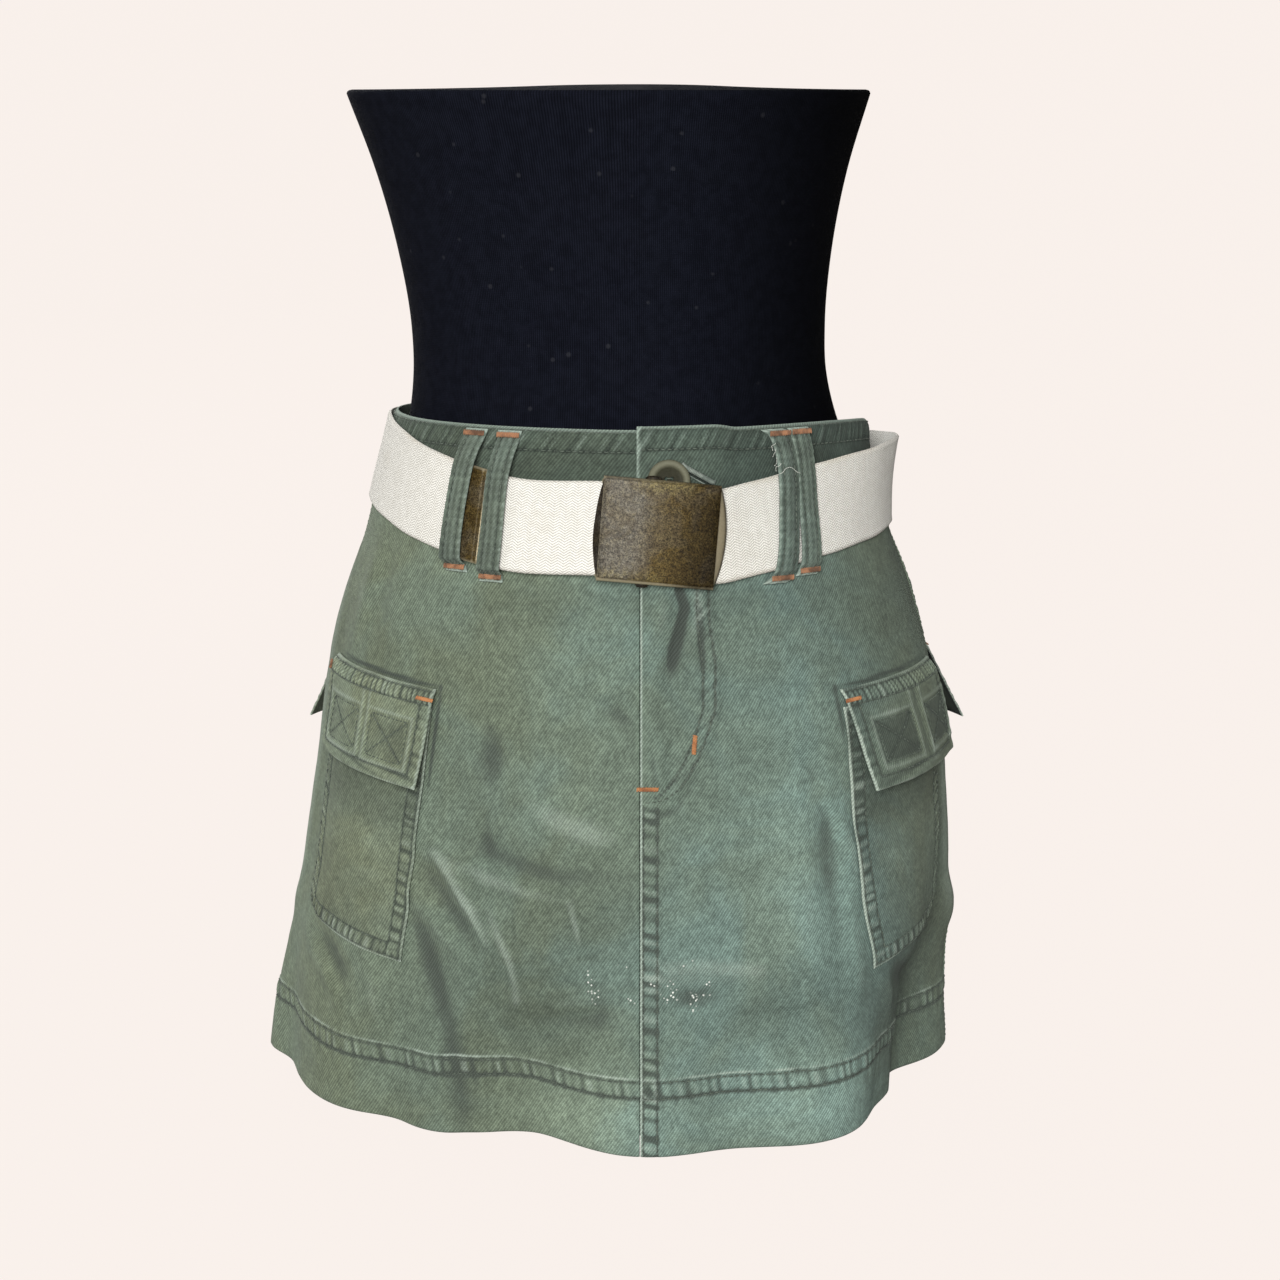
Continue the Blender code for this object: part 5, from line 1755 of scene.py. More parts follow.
    def sew(self, box: SewingBox) -> None:
        """Sew its hem, its seams and its fly.

        Args:
            box: Where the thread goes.
        """
        cloth, face, name = self.cloth, self.face, "seam_stitching"
        turns = np.linspace(self.centre, self.side * 90.0, 700)[3:-3]
        for row in self.hem_rows:
            box.row(name, face, turns, cloth.hem(turns) + row + 0.00025 * np.sin(turns * 0.9 + row * 900))
        top, foot = float(cloth.seam(self.centre)) - 0.002, float(cloth.hem(self.centre)) + 0.002
        heights = np.linspace(top, foot, 420)
        if self.front:
            heights = heights[heights < self.fly_foot]
        felled = [(self.centre, 1 if self.front else -1, self.strip_rows)] if self.felled else []
        if not self.front:
            felled.append((self.side * 90.0, self.side, self.side_rows))
        for seam, way, rows in felled:
            for row in rows:
                box.row(name, face, cloth.angle(cloth.distance(seam, heights) + way * row, heights), heights)
        levels = self.fly_foot + (top - self.fly_foot - 0.004) * np.linspace(0.0, 1.0, 400) ** 3
        for row, least in zip(self.fly_rows, (0.002, 0.011) if self.has_fly else ()):
            reach = self.fly_edge(levels) + row
            keep = reach > least
            box.row(name, face, cloth.angle(reach[keep], levels[keep]), levels[keep])


@dataclass
class Waistband:
    """The waistband, one strip whose ends overlap at the centre front.

    Attributes:
        lift: How far its upper end stands off.
        raise_top: How much higher that end's edge is.
        flat_turn: Angle up to which it stands off in full.
        ramp: Degrees over which it comes down.
        slit_turn: Angle of the buttonhole's inner end.
        slit_turns: Degrees that the buttonhole covers.
        slit_top: Height of its inner end.
        slit_fall: How much lower its outer end is.
    """
    cloth: SkirtSurface
    name: str = "waistband"
    start: float = -0.7
    end: float = 379.0
    lift: float = 0.0029
    raise_top: float = 0.0018
    flat_turn: float = 17.0
    ramp: float = 7.0
    thickness: float = 0.0021
    height: float = 0.040
    radius: float = 0.112
    rows: tuple[float, float] = (0.0016, 0.0108)
    slit_turn: float = 9.2
    slit_turns: float = 7.6
    slit_top: float = 0.3490
    slit_fall: float = 0.0094

    @property
    def face(self) -> Face:
        """Its outer face, by turn and by share from the top edge to the seam."""
        return Face(lambda a, s: self.cloth.point(a, self.level(a, s), self.out(a, s)), (0.25, 0.02))

    def over(self, turn: Array) -> Array:
        """Share of the full lift of the upper end."""
        return 1 - ease((np.asarray(turn) - self.flat_turn) / self.ramp)

    def level(self, turn: Array, share: Array) -> Array:
        """Height of a place on it."""
        top = self.cloth.waist(turn) + self.raise_top * self.over(turn)
        return top + (self.cloth.seam(turn) - top) * share

    def uneven(self, turn: Array, below: Array, size: float, seed: int) -> Array:
        """Soft noise along it, with no break round the body."""
        return soft_noise(np.radians(one_turn(turn)) * self.radius, below, size, seed)

    def sewn(self, turn: Array, share: Array) -> tuple[Array, Array]:
        """Puckers and stitch lines.

        Args:
            turn: Degrees along it.
            share: Shares from the top edge to the seam.

        Returns:
            Puckers from -1 to 1, and the stitch lines.
        """
        below, last = share * self.height, self.rows[1]
        ripple = puckers(np.radians(turn) * self.radius + 0.55 * below, 0.0052, 14)
        window = between(below, self.rows[0] + 0.001, last - 0.0004, 0.003)
        tail = np.where(below > last, np.exp(-np.clip(below - last, 0, None) / 0.0035), 0.0)
        return ripple * (window + 0.45 * tail), hump(below - self.rows[0], 0.0006) + hump(below - last, 0.0007)

    def slit(self, turn: Array, share: Array) -> Array:
        """The buttonhole's cut, from its inner to its outer end.

        Args:
            turn: Degrees round.
            share: Shares from the waistband's top to its seam.

        Returns:
            1 in the cut and 0 away from it.
        """
        along = (np.asarray(turn) - self.slit_turn) / self.slit_turns
        middle = self.slit_top - self.slit_fall * along - 0.0019
        return between(along, 0.04, 0.96, 0.10) * hump(self.level(turn, share) - middle, 0.0012)

    def out(self, turn: Array, share: Array) -> Array:
        """How far its face stands off the surface.

        Args:
            turn: Degrees along it.
            share: Shares from the top edge to the seam.

        Returns:
            Metres out.
        """
        below = share * self.height
        ripple, lines = self.sewn(turn, share)
        ends = np.minimum(np.abs(turn - self.start), np.abs(turn - self.end)) * 0.0018
        edges = rounded(below, 0.0014, 0.0012) + rounded(ends, 0.0010, 0.0008)
        own = 0.00055 * ripple - 0.00030 * lines - 0.0009 * self.slit(turn, share)
        return self.lift * self.over(turn) + own + 0.0005 * self.uneven(turn, below, 0.019, 31) - edges

    def marks(self, turn: Array, share: Array) -> Array:
        """Its marks: scuffed edges and crests, and painted shade in its puckers, in the buttonhole slit and towards
        the wearer's left.

        Args:
            turn: Degrees along it.
            share: Shares from the top edge to the seam.

        Returns:
            The marks.
        """
        below, slit, x = share * self.height, self.slit(turn, share), rough_x(turn)
        ripple, lines = self.sewn(turn, share)
        worn = 0.75 * hump(below, 0.0011) + 0.44 * unit(ripple)
        worn = worn + 0.85 * hump(np.abs(turn - self.start) * 0.0018, 0.0008)
        soil_and_shade = 0.85 * unit(-ripple) + 0.75 * lines + 1.2 * slit
        # painted shade: darker towards the wearer's left, turned from the light, and in the buttonhole slit
        tone = 0.20 * self.uneven(turn, below, 0.016, 35) - 0.25 * ease((x - 0.02) / 0.05) - 0.55 * slit
        return stack_marks(worn, soil_and_shade, 0.25 + 0.45 * ease((x + 0.11) / 0.22), 0.0, tone)

    def build(self, wardrobe: Wardrobe) -> None:
        """Make the waistband.

        Args:
            wardrobe: The materials.
        """
        turn, share = mesh_grid(np.linspace(self.start, self.end, 673), 34)
        inner = self.cloth.point(turn, self.level(turn, share), self.lift * self.over(turn) - self.thickness)
        flat = np.stack([np.radians(turn) * self.radius, 0.6 - share * self.height], axis=-1)
        item = shell("waistband_cloth", self.face(turn, share), inner, flat, self.marks(turn, share))
        dress(item, wardrobe["band"], [self.name])

    def sew(self, box: SewingBox) -> None:
        """Sew its edge, its second row, its seam and the buttonhole's two lips.

        Args:
            box: Where the thread goes.
        """
        turns = np.linspace(self.start + 0.8, self.end - 0.8, 2400)
        for row in (*self.rows, self.height - 0.0016):
            box.row("waistband_stitching", self.face, turns, row / self.height)
        places = np.linspace(0.0, 1.0, 60)
        turn = self.slit_turn + self.slit_turns * places
        top = self.cloth.waist(turn) + self.raise_top
        for drop, radius in ((0.0036, 0.00034), (0.0, 0.00125)):
            height = self.slit_top - self.slit_fall * places - drop
            box.row("buttonhole_stitching", self.face, turn, (top - height) / (top - self.cloth.seam(turn)),
                    stand=radius / 2, pitch=0.00075, length=0.0011, radius=radius)


# ---------------------------------------------------------------- pockets and flaps
class PatchKind(Enum):
    """Kinds of patches sewn on the panels."""
    POCKET = "pocket"
    FLAP = "flap"


class Inset(NamedTuple):
    """Distances of places from a patch's edges, in metres."""
    front: Array
    back: Array
    top: Array
    foot: Array

    @property
    def sides(self) -> Array:
        """Distance from the nearer side edge."""
        return np.minimum(self.front, self.back)

    @property
    def nearest(self) -> Array:
        """Distance from the nearest edge below the top."""
        return np.minimum(self.sides, self.foot)


class PatchLayers(NamedTuple):
    """What shapes or marks a patch at its places."""
    relief: Array
    ladder: Array
    lines: Array
    stitches: Array
    borders: Array
    fields: Array
    puff: Array
    inset: Inset


@dataclass
class Patch:
    """A pocket or a flap: it starts at an angle and runs a width away from the front.

    Attributes:
        front_top: Angle of its front edge at its top.
        front_foot: The same at its foot.
        top: Height of its top at the front edge.
        foot: Height of its foot at the front edge.
        top_rise: How much higher the top is at the back edge.
        foot_rise: The same for the foot.
        corner_rise: How far the lower back corner is rounded up.
        slack: How far the mouth stands off.
        kick_front: How far a flap's front lower corner stands off.
        kick_back: The same for its back lower corner.
        under: The pocket that a flap lies over.
    """
    name: str
    kind: PatchKind
    cloth: SkirtSurface
    front_top: float
    front_foot: float
    width: float
    top: float
    foot: float
    top_rise: float
    foot_rise: float
    corner_rise: float = 0.0
    slack: float = 0.0
    kick_front: float = 0.0
    kick_back: float = 0.0
    under: Optional["Patch"] = None
    columns: int = 121
    lines: int = 97
    layer: float = 0.0010
    pocket_cloth: float = 0.0014
    flap_cloth: float = 0.0018
    band: float = 0.0080
    square: tuple[float, float] = (0.0245, 0.0210)
    square_starts: tuple[float, ...] = ()
    square_top: float = 0.0187
    square_border: float = 0.0026
    square_dirt: float = 0.20
    kick_bend: float = 2.0
    # tone over the whole patch; on the back flaps it is painted shade
    tone: float = 0.0
    edge_shade: float = 0.0

    @property
    def side(self) -> int:
        """1 on the wearer's left, -1 on the right."""
        return 1 if self.front_top > 0 else -1

    @property
    def tall(self) -> float:
        """Height of its front edge."""
        return self.top - self.foot

    @property
    def face(self) -> Face:
        """Its outer face, by share across and share down."""
        return Face(self.points, (0.006, 0.012))

    @property
    def carriers(self) -> list[str]:
        """The panels it is sewn on."""
        half = "left" if self.side > 0 else "right"
        return [f"{part}_{half}_cloth" for part in ("front", "back") if part == "back" or "cargo" in self.name]

    def place(self, across: Array, down: Array) -> tuple[Array, Array]:
        """The angle and the height of places on it.

        Args:
            across: Shares from the front edge.
            down: Shares from the top.

        Returns:
            The angles and the heights.
        """
        round_up = np.maximum(0.0, 1.0 - (1.0 - across) / 0.2)
        foot = self.foot + self.foot_rise * across + self.corner_rise * round_up ** 2
        top = self.top + self.top_rise * across
        height = top + (foot - top) * down
        front = self.front_top + (self.front_foot - self.front_top) * down
        start = self.cloth.distance(front, height)
        return self.cloth.angle(start + self.side * self.width * across, height), height

    def gap(self, across: Array, down: Array) -> Array:
        """Stand-off of its inner face.

        Args:
            across: Shares from the front edge.
            down: Shares from the top.

        Returns:
            Metres out.
        """
        if self.under is None:
            return self.layer + self.slack * np.sin(math.pi * unit(across)) * (1 - down ** 2)
        mouth = self.under.top + self.under.top_rise * across
        reach = (self.place(across, down)[1] - mouth) / (self.top - self.under.top)
        over = self.under.gap(np.clip(across, 0.15, 0.85), 0.0) + self.pocket_cloth
        kick = self.kick_front + (self.kick_back - self.kick_front) * across
        return self.layer + over * ease(1.25 - reach) + kick * down ** self.kick_bend

    def hook_squares(self, at: Inset) -> tuple[Array, Array, Array]:
        """The crossed hook-and-loop squares of a flap, and the raised bar between them.

        Args:
            at: Distances from the edges.

        Returns:
            Their stitches, their raised borders and their fields.
        """
        stitches = borders = fields = np.zeros(at.front.shape)
        wide, high = self.square
        for start in self.square_starts:
            dx = np.abs(at.front - start - wide / 2)
            dy = np.abs(at.top - self.square_top - high / 2)
            away = np.maximum(dx - wide / 2, dy - high / 2)
            stitches = stitches + hump(away, 0.0007) + hump((dx / wide - dy / high) * high, 0.0008) * (away < 0)
            borders = np.maximum(borders, hump(away - self.square_border, 0.0010))
            fields = np.maximum(fields, 1 - ease((away + 0.0016) / 0.0014))
        if self.square_starts:
            left, right = self.square_starts[0] + wide + self.square_border, self.square_starts[1] - self.square_border
            middle, half = (left + right) / 2, (right - left) / 2
            run = between(at.top, self.band, self.tall - 0.007, 0.003)
            borders = np.maximum(borders, run * hump(np.abs(at.front - middle) - half, 0.0010))
            stitches = stitches + run * hump(at.front - middle, 0.0010)
        return stitches, borders, fields

    def layers(self, across: Array, down: Array) -> PatchLayers:
        """Everything that shapes or marks it at its places.

        Args:
            across: Shares from the front edge.
            down: Shares from the top.

        Returns:
            The layers.
        """
        across, down = np.broadcast_arrays(across, down)
        at = Inset(across * self.width, (1 - across) * self.width, down * self.tall, (1 - down) * self.tall)
        band, seed = self.band, int(abs(self.front_top * 7)) % 50
        side_run = puckers(at.top + 0.15 * at.front, 0.0058, seed)
        if self.kind is PatchKind.POCKET:
            foot_run = puckers(at.front + 0.15 * at.foot, 0.0052, seed + 1)
            in_side = between(at.sides, 0.0018, band - 0.0004, 0.0024) * ease((at.foot - 0.002) / 0.004)
            in_foot = between(at.foot, 0.0018, band - 0.0004, 0.0024) * ease((at.sides - 0.002) / 0.004)
            past = np.exp(-np.abs(at.sides - band - 0.003) / 0.0035) * (at.sides > band)
            ladder = side_run * (in_side + 0.35 * past) + foot_run * in_foot * (1 - in_side)
            lines = hump(at.sides - 0.0016, 0.0006) + hump(at.sides - band, 0.0006) * (at.foot > band)
            lines = lines + hump(at.foot - 0.0016, 0.0006) + hump(at.foot - band, 0.0006) * (at.sides > band)
        else:
            below = at.top > band
            dense = puckers(at.front + 0.1 * at.top, 0.0034, seed + 3)
            ladder = dense * between(at.top, 0.0016, band, 0.0022)
            ladder = ladder + 0.6 * side_run * between(at.nearest, 0.0008, 0.0058, 0.003) * below
            lines = two_rows(at.top, (0.0014, band)) + hump(at.nearest - 0.0060, 0.0007) * below
        relief = self.cloth.relief(*self.place(across, down))
        puff = soft_noise(at.front + seed, at.top, 0.013, seed + 9)
        return PatchLayers(relief, ladder, lines, *self.hook_squares(at), puff, at)

    def points(self, across: Array, down: Array) -> Array:
        """Points of the outer face."""
        return self.cloth.point(*self.place(across, down), self.out(across, down))

    def out(self, across: Array, down: Array) -> Array:
        """How far its outer face stands off the surface.

        Args:
            across: Shares from the front edge.
            down: Shares from the top.

        Returns:
            Metres out.
        """
        at = self.layers(across, down)
        cloth = self.pocket_cloth if self.kind is PatchKind.POCKET else self.flap_cloth
        own = 0.00058 * at.ladder - 0.00032 * at.lines + 0.00030 * at.puff * unit(at.inset.nearest / 0.01)
        own = own + 0.00055 * at.borders - 0.00030 * at.stitches
        edges = rounded(at.inset.nearest, 0.0011, 0.0007) + rounded(at.inset.top, 0.0009, 0.0007)
        return self.gap(across, down) + cloth + at.relief + own - edges

    def marks(self, across: Array, down: Array) -> Array:
        """Its marks: scuffed edges and crests, painted shade in its puckers, crease troughs and below a flap, and
        dirty hook-and-loop squares.

        Args:
            across: Shares from the front edge.
            down: Shares from the top.

        Returns:
            The marks.
        """
        at = self.layers(across, down)
        inset = at.inset
        broken = unit(0.65 + 0.8 * soft_noise(inset.front + 1.0, inset.top, 0.008, 33))
        bright = (0.95 if self.side > 0 else 0.60) * (0.6 + 0.4 * broken)
        others = 0.60 * hump(inset.foot, 0.0008) + 0.50 * (hump(inset.top, 0.0008) + hump(inset.back, 0.0008))
        ridges, trough_shade = crease_marks(at.relief)
        worn = 0.42 * unit(at.ladder) + bright * hump(inset.front, 0.0008) + (0.5 + 0.5 * broken) * others
        worn = worn + 0.42 * at.borders + ridges + 0.22 * unit(at.puff)
        # painted shade in pucker valleys, crease troughs and puff hollows, with real dirt on the squares
        soil_and_shade = 1.05 * unit(-at.ladder) + 0.65 * at.lines + self.square_dirt * (at.stitches + 1.3 * at.fields)
        soil_and_shade = soil_and_shade + trough_shade + 0.25 * unit(-at.puff)
        tone = self.tone + 0.18 * soft_noise(inset.front + 2.0, inset.top, 0.026, 37)
        if self.kind is PatchKind.POCKET:
            # painted shadow on the pocket's upper part, below its flap
            tone = tone - 0.24 * (1 - ease((inset.top - 0.052) / 0.020))
        tone = tone - self.edge_shade * (1 - ease(inset.nearest / 0.005))
        return stack_marks(worn, soil_and_shade, washed_tint(rough_x(self.place(across, down)[0])), 0.0, tone)

    def build(self, wardrobe: Wardrobe) -> None:
        """Make the patch.

        Args:
            wardrobe: The materials.
        """
        across, down = mesh_grid(np.linspace(0.0, 1.0, self.columns)[::self.side], self.lines)
        angle, height = self.place(across, down)
        inner = self.cloth.point(angle, height, self.gap(across, down) + self.cloth.relief(angle, height) + 0.0002)
        flat = np.stack([self.cloth.distance(angle, height) + 2.0, height], axis=-1)
        item = shell(self.name + "_cloth", self.points(across, down), inner, flat, self.marks(across, down))
        dress(item, wardrobe["patch"], [self.name])

    def sew(self, box: SewingBox) -> None:
        """Sew its edges and, on a flap, the hook-and-loop squares.

        Args:
            box: Where the thread goes.
        """
        name = f"{self.kind.value}_stitching"

        def line(start: tuple[float, float], end: tuple[float, float], count: int, **sizes: float) -> None:
            """Sew a straight row between two places, in shares across and down."""
            across, down = (np.linspace(*ends, count) for ends in zip(start, end))
            box.row(name, self.face, across, down, **sizes)

        def three_sides(inset: float, top: float, down: int, across: int) -> None:
            """Sew down both side edges and along the foot."""
            a, d = inset / self.width, inset / self.tall
            line((a, top), (a, 1 - d), down)
            line((1 - a, top), (1 - a, 1 - d), down)
            line((a, 1 - d), (1 - a, 1 - d), across)

        if self.kind is PatchKind.POCKET:
            for inset in (0.0016, self.band):
                three_sides(inset, 0.03, 200, 200)
            return
        for inset in (0.0014, self.band):
            line((0.01, inset / self.tall), (0.99, inset / self.tall), 260, pitch=0.0027)
        three_sides(0.0060, (self.band + 0.001) / self.tall, 120, 220)
        wide, high = self.square
        wide_share, tall_share = 1 / self.width, 1 / self.tall
        top, foot = self.square_top * tall_share, (self.square_top + high) * tall_share
        t = np.linspace(0.02, 0.98, 60)
        for start in self.square_starts:
            left, right = start * wide_share, (start + wide) * wide_share
            a, b, c, d = (left, top), (right, top), (right, foot), (left, foot)
            for ends in ((a, b), (b, c), (c, d), (d, a), (a, c), (b, d)):
                across, down = (here + (after - here) * t for here, after in zip(*ends))
                box.row(name, self.face, across, down, pitch=0.0026, length=0.0020)


@dataclass
class Pockets:
    """The four pockets with their flaps and bartacks."""
    cloth: SkirtSurface

    def patches(self) -> list[Patch]:
        """The patches of all four pockets.

        Returns:
            Every pocket followed by its flap.
        """
        pocket, flap, cloth = PatchKind.POCKET, PatchKind.FLAP, self.cloth
        back = {"columns": 79, "lines": 64}
        pockets = [
            Patch("cargo_pocket_right", pocket, cloth, -38.6, -40.6, 0.080, 0.2270, 0.0965, 0.004, 0.009,
                  0.008, 0.0010, tone=-0.06),
            Patch("cargo_pocket_left", pocket, cloth, 39.8, 42.2, 0.079, 0.2270, 0.0930, 0.000, 0.011,
                  0.011, 0.0010, tone=-0.12),
            Patch("back_pocket_right", pocket, cloth, -102.0, -102.0, 0.104, 0.2270, 0.1120, 0.000, 0.000,
                  0.006, 0.0010, **back),
            Patch("back_pocket_left", pocket, cloth, 102.0, 102.0, 0.104, 0.2270, 0.1120, 0.000, 0.000,
                  0.006, 0.0010, **back),
        ]
        cargo = {"kick_front": 0.0060, "columns": 151, "lines": 64}
        back = {"kick_back": 0.0015, "columns": 109, "lines": 46, "kick_bend": 1.2}
        flaps = [
            Patch("cargo_flap_right", flap, cloth, -37.9, -38.7, 0.083, 0.2365, 0.1870, 0.005, 0.006,
                  kick_back=0.0010, under=pockets[0], square_starts=(0.0112, 0.0455), tone=0.12, **cargo),
            Patch("cargo_flap_left", flap, cloth, 39.4, 44.0, 0.082, 0.2360, 0.1845, 0.003, 0.003,
                  kick_back=0.0020, under=pockets[1], square=(0.0260, 0.0210), square_starts=(0.0128, 0.0530),
                  square_dirt=0.50, tone=-0.04, **cargo),
            # painted shade: tone and edge_shade darken the back flaps as if in shadow
            Patch("back_flap_right", flap, cloth, -100.5, -100.5, 0.108, 0.2370, 0.1900, 0.000, 0.000,
                  kick_front=0.0140, under=pockets[2], tone=-0.10, **back),
            Patch("back_flap_left", flap, cloth, 100.5, 100.5, 0.108, 0.2370, 0.1900, 0.000, 0.000,
                  kick_front=0.0190, under=pockets[3], tone=-0.38, edge_shade=0.45, **back),
        ]
        return [patch for pair in zip(pockets, flaps) for patch in pair]

    def build(self, wardrobe: Wardrobe, box: SewingBox) -> None:
        """Make and sew every pocket and flap.

        Args:
            wardrobe: The materials.
            box: Where the thread goes.
        """
        for patch in self.patches():
            patch.build(wardrobe)
            patch.sew(box)
            if patch.kind is PatchKind.FLAP:
                start = -0.015 if "cargo" in patch.name else 0.010
                box.tack("bartacks", patch.face, (start, 0.110), (0.092, 0.105), 0.0022, stand=0.0006)
                if patch.side < 0:
                    box.tack("loop_bartacks", patch.face, (0.985, 0.070), (0.975, 0.160), 0.0022, stand=0.0005)


# ---------------------------------------------------------------- belt, loops, buckle and button
class Station(NamedTuple):
    """A place on the belt's route; gaps are from the cloth surface to the web's inner face."""
    turn: float
    centre: float
    gap_top: float
    gap_foot: float


BELT_ROUTE = table(
    Station,
    (-37.0, 0.3236, 0.0039, 0.0038), (-27.0, 0.3194, 0.0042, 0.0038), (-16.0, 0.3186, 0.0062, 0.0045),
    (-5.0, 0.3186, 0.0101, 0.0064), (0.0, 0.3176, 0.0092, 0.0052), (6.0, 0.3160, 0.0080, 0.0040),
    (16.0, 0.3142, 0.0066, 0.0036), (25.0, 0.3175, 0.0028, 0.0016), (34.0, 0.3205, 0.0012, 0.0010),
    (46.0, 0.3240, 0.0030, 0.0010), (68.0, 0.3282, 0.0100, 0.0010), (92.0, 0.3286, 0.0140, 0.0010),
    (120.0, 0.3260, 0.0060, 0.0012), (150.0, 0.3230, 0.0015, 0.0012), (180.0, 0.3270, 0.0014, 0.0012),
    (210.0, 0.3320, 0.0014, 0.0012), (240.0, 0.3385, 0.0014, 0.0012), (272.0, 0.3434, 0.0010, 0.0010),
    (295.0, 0.3370, 0.0010, 0.0010), (315.0, 0.3272, 0.0010, 0.0010), (333.0, 0.3194, 0.0012, 0.0010),
    (344.0, 0.3186, 0.0038, 0.0022), (355.0, 0.3186, 0.0078, 0.0040),
)
ROUTE_START, ROUTE_END = BELT_ROUTE[0].turn, BELT_ROUTE[-1].turn


def route(name: str, turn: Array) -> Array:
    """Read a column of the belt's route at some turns."""
    return smooth_curve(column(BELT_ROUTE, "turn"), column(BELT_ROUTE, name), turn)


@dataclass
class Belt:
    """The web belt with the metal tip on its free end.

    Attributes:
        upright: How much of its width it keeps as height.
        tip_turn: Degrees that the tip covers.
        tip_gap: Degrees between the tip and where the web's piece starts.
        tip_length: The tip's length along the web.
        tip_margin: How far the tip reaches past each edge of the web.
        wave: How far the edges wander up and down.
        radius: Mean radius, which turns angles into metres of the flat map.
    """
    cloth: SkirtSurface
    width: float = 0.045
    upright: float = 0.985
    thickness: float = 0.0018
    tip_thickness: float = 0.0028
    tip_turn: float = 5.4
    tip_gap: float = 0.15
    tip_length: float = 0.0125
    tip_margin: float = 0.0005
    wave: float = 0.00045
    radius: float = 0.122

    def gap(self, turn: Array, share: Array) -> Array:
        """Stand-off of the web's inner face; share goes from the top edge to the foot."""
        top, foot = route("gap_top", turn), route("gap_foot", turn)
        return top + (foot - top) * share

    def height(self, turn: Array, share: Array) -> Array:
        """Height of a place across the web, with its slightly wavy edges.

        Args:
            turn: Degrees along the route.
            share: Shares from the top edge to the foot.

        Returns:
            Heights in metres.
        """
        sway = self.wave * (0.6 * np.sin(np.radians(turn) * 9.0 + 1.1) + 0.4 * np.sin(np.radians(turn) * 21.0))
        middle = route("centre", turn) + self.width * self.upright * (0.5 - share)
        return middle + sway * (0.3 + np.abs(share - 0.5))

    def face_out(self, turn: Array, share: Array) -> Array:
        """How far the web's outer face stands off the surface.

        Args:
            turn: Degrees along the route.
            share: Shares from the top edge to the foot.

        Returns:
            Metres out.
        """
        edge = (0.5 - np.abs(share - 0.5)) * self.width
        bead = 0.00022 * hump(edge - 0.0013, 0.0008) - rounded(edge, 0.0011, 0.0011)
        lift = 0.0002 * soft_noise(np.radians(turn) * 0.13, share * 0.045, 0.017, 41)
        return self.gap(turn, share) + self.thickness + bead + lift

    def build(self, wardrobe: Wardrobe) -> None:
        """Make the web and the tip.

        Args:
            wardrobe: The materials.
        """
        turn, share = mesh_grid(np.linspace(ROUTE_START + self.tip_turn, ROUTE_END, 649), 37)
        height = self.height(turn, share)
        edge = (0.5 - np.abs(share - 0.5)) * self.width
        outer = self.cloth.point(turn, height, self.face_out(turn, share))
        inner = self.cloth.point(turn, height, self.gap(turn, share) + rounded(edge, 0.0011, 0.0006))
        flat = np.stack([np.radians(turn) * self.radius + 4.0, share * self.width], axis=-1)
        soil_and_shade = 0.5 * hump(edge, 0.0012) + 0.35 * unit(soft_noise(turn * 0.002, share * 0.05, 0.02, 43))
        item = shell("belt_web_cloth", outer, inner, flat, stack_marks(0.0 * edge, soil_and_shade, 0.0 * edge))
        dress(item, wardrobe["web"], ["belt_web"])
        self._build_tip(wardrobe)

    def _build_tip(self, wardrobe: Wardrobe) -> None:
        """Make the folded metal tip, with a crimped edge where it grips the web.

        Args:
            wardrobe: The materials.
        """
        reach = self.tip_turn - self.tip_gap
        turn, share = mesh_grid(np.linspace(ROUTE_START, ROUTE_START + reach, 31), 49)
        wide = 1 + 2 * self.tip_margin / self.width
        share = 0.5 + (share - 0.5) * wide
        along = (turn - ROUTE_START) / reach
        edge = (0.5 * wide - np.abs(share - 0.5)) * self.width
        front, back = along * self.tip_length, (1 - along) * self.tip_length
        nearest = np.minimum(np.minimum(edge, front), back)
        height = self.height(turn, share)
        low = self.gap(turn, share) - (self.tip_thickness - self.thickness) / 2
        crimp = 0.00025 * hump(back - 0.0022, 0.0005)
        outer = self.cloth.point(turn, height, low + self.tip_thickness - rounded(nearest, 0.0012, 0.0010) - crimp)
        inner = self.cloth.point(turn, height, low + 0.0001)
        flat = np.stack([front + 5.0, share * self.width], axis=-1)
        worn = 0.85 * hump(nearest, 0.0007) + 0.3 * hump(back - 0.0030, 0.0004)
        item = shell("belt_tip_metal", outer, inner, flat, stack_marks(worn, 0 * worn, 0.15 + 0 * worn))
        dress(item, wardrobe["brass"], ["belt_tip"])


class LoopPlace(NamedTuple):
    """A belt loop's name, the angles of its two ends and how far its middle bows aside."""
    name: str
    top_angle: float
    foot_angle: float
    bow: float = 0.0


FRAYED_LOOP = "belt_loop_front_left_inner"
LOOPS = table(
    LoopPlace,
    ("belt_loop_front_right_outer", -37.6, -37.6, -0.0008),
    ("belt_loop_front_right_inner", -29.0, -29.2, 0.0004),
    (FRAYED_LOOP, 32.2, 28.3, 0.0087),
    ("belt_loop_front_left_outer", 40.0, 36.8, 0.0028),
    ("belt_loop_back_left_outer", 141.0, 141.6),
    ("belt_loop_back_left_inner", 149.4, 149.6),
    ("belt_loop_back_right_inner", 210.6, 210.4),
    ("belt_loop_back_right_outer", 219.0, 218.4),
)


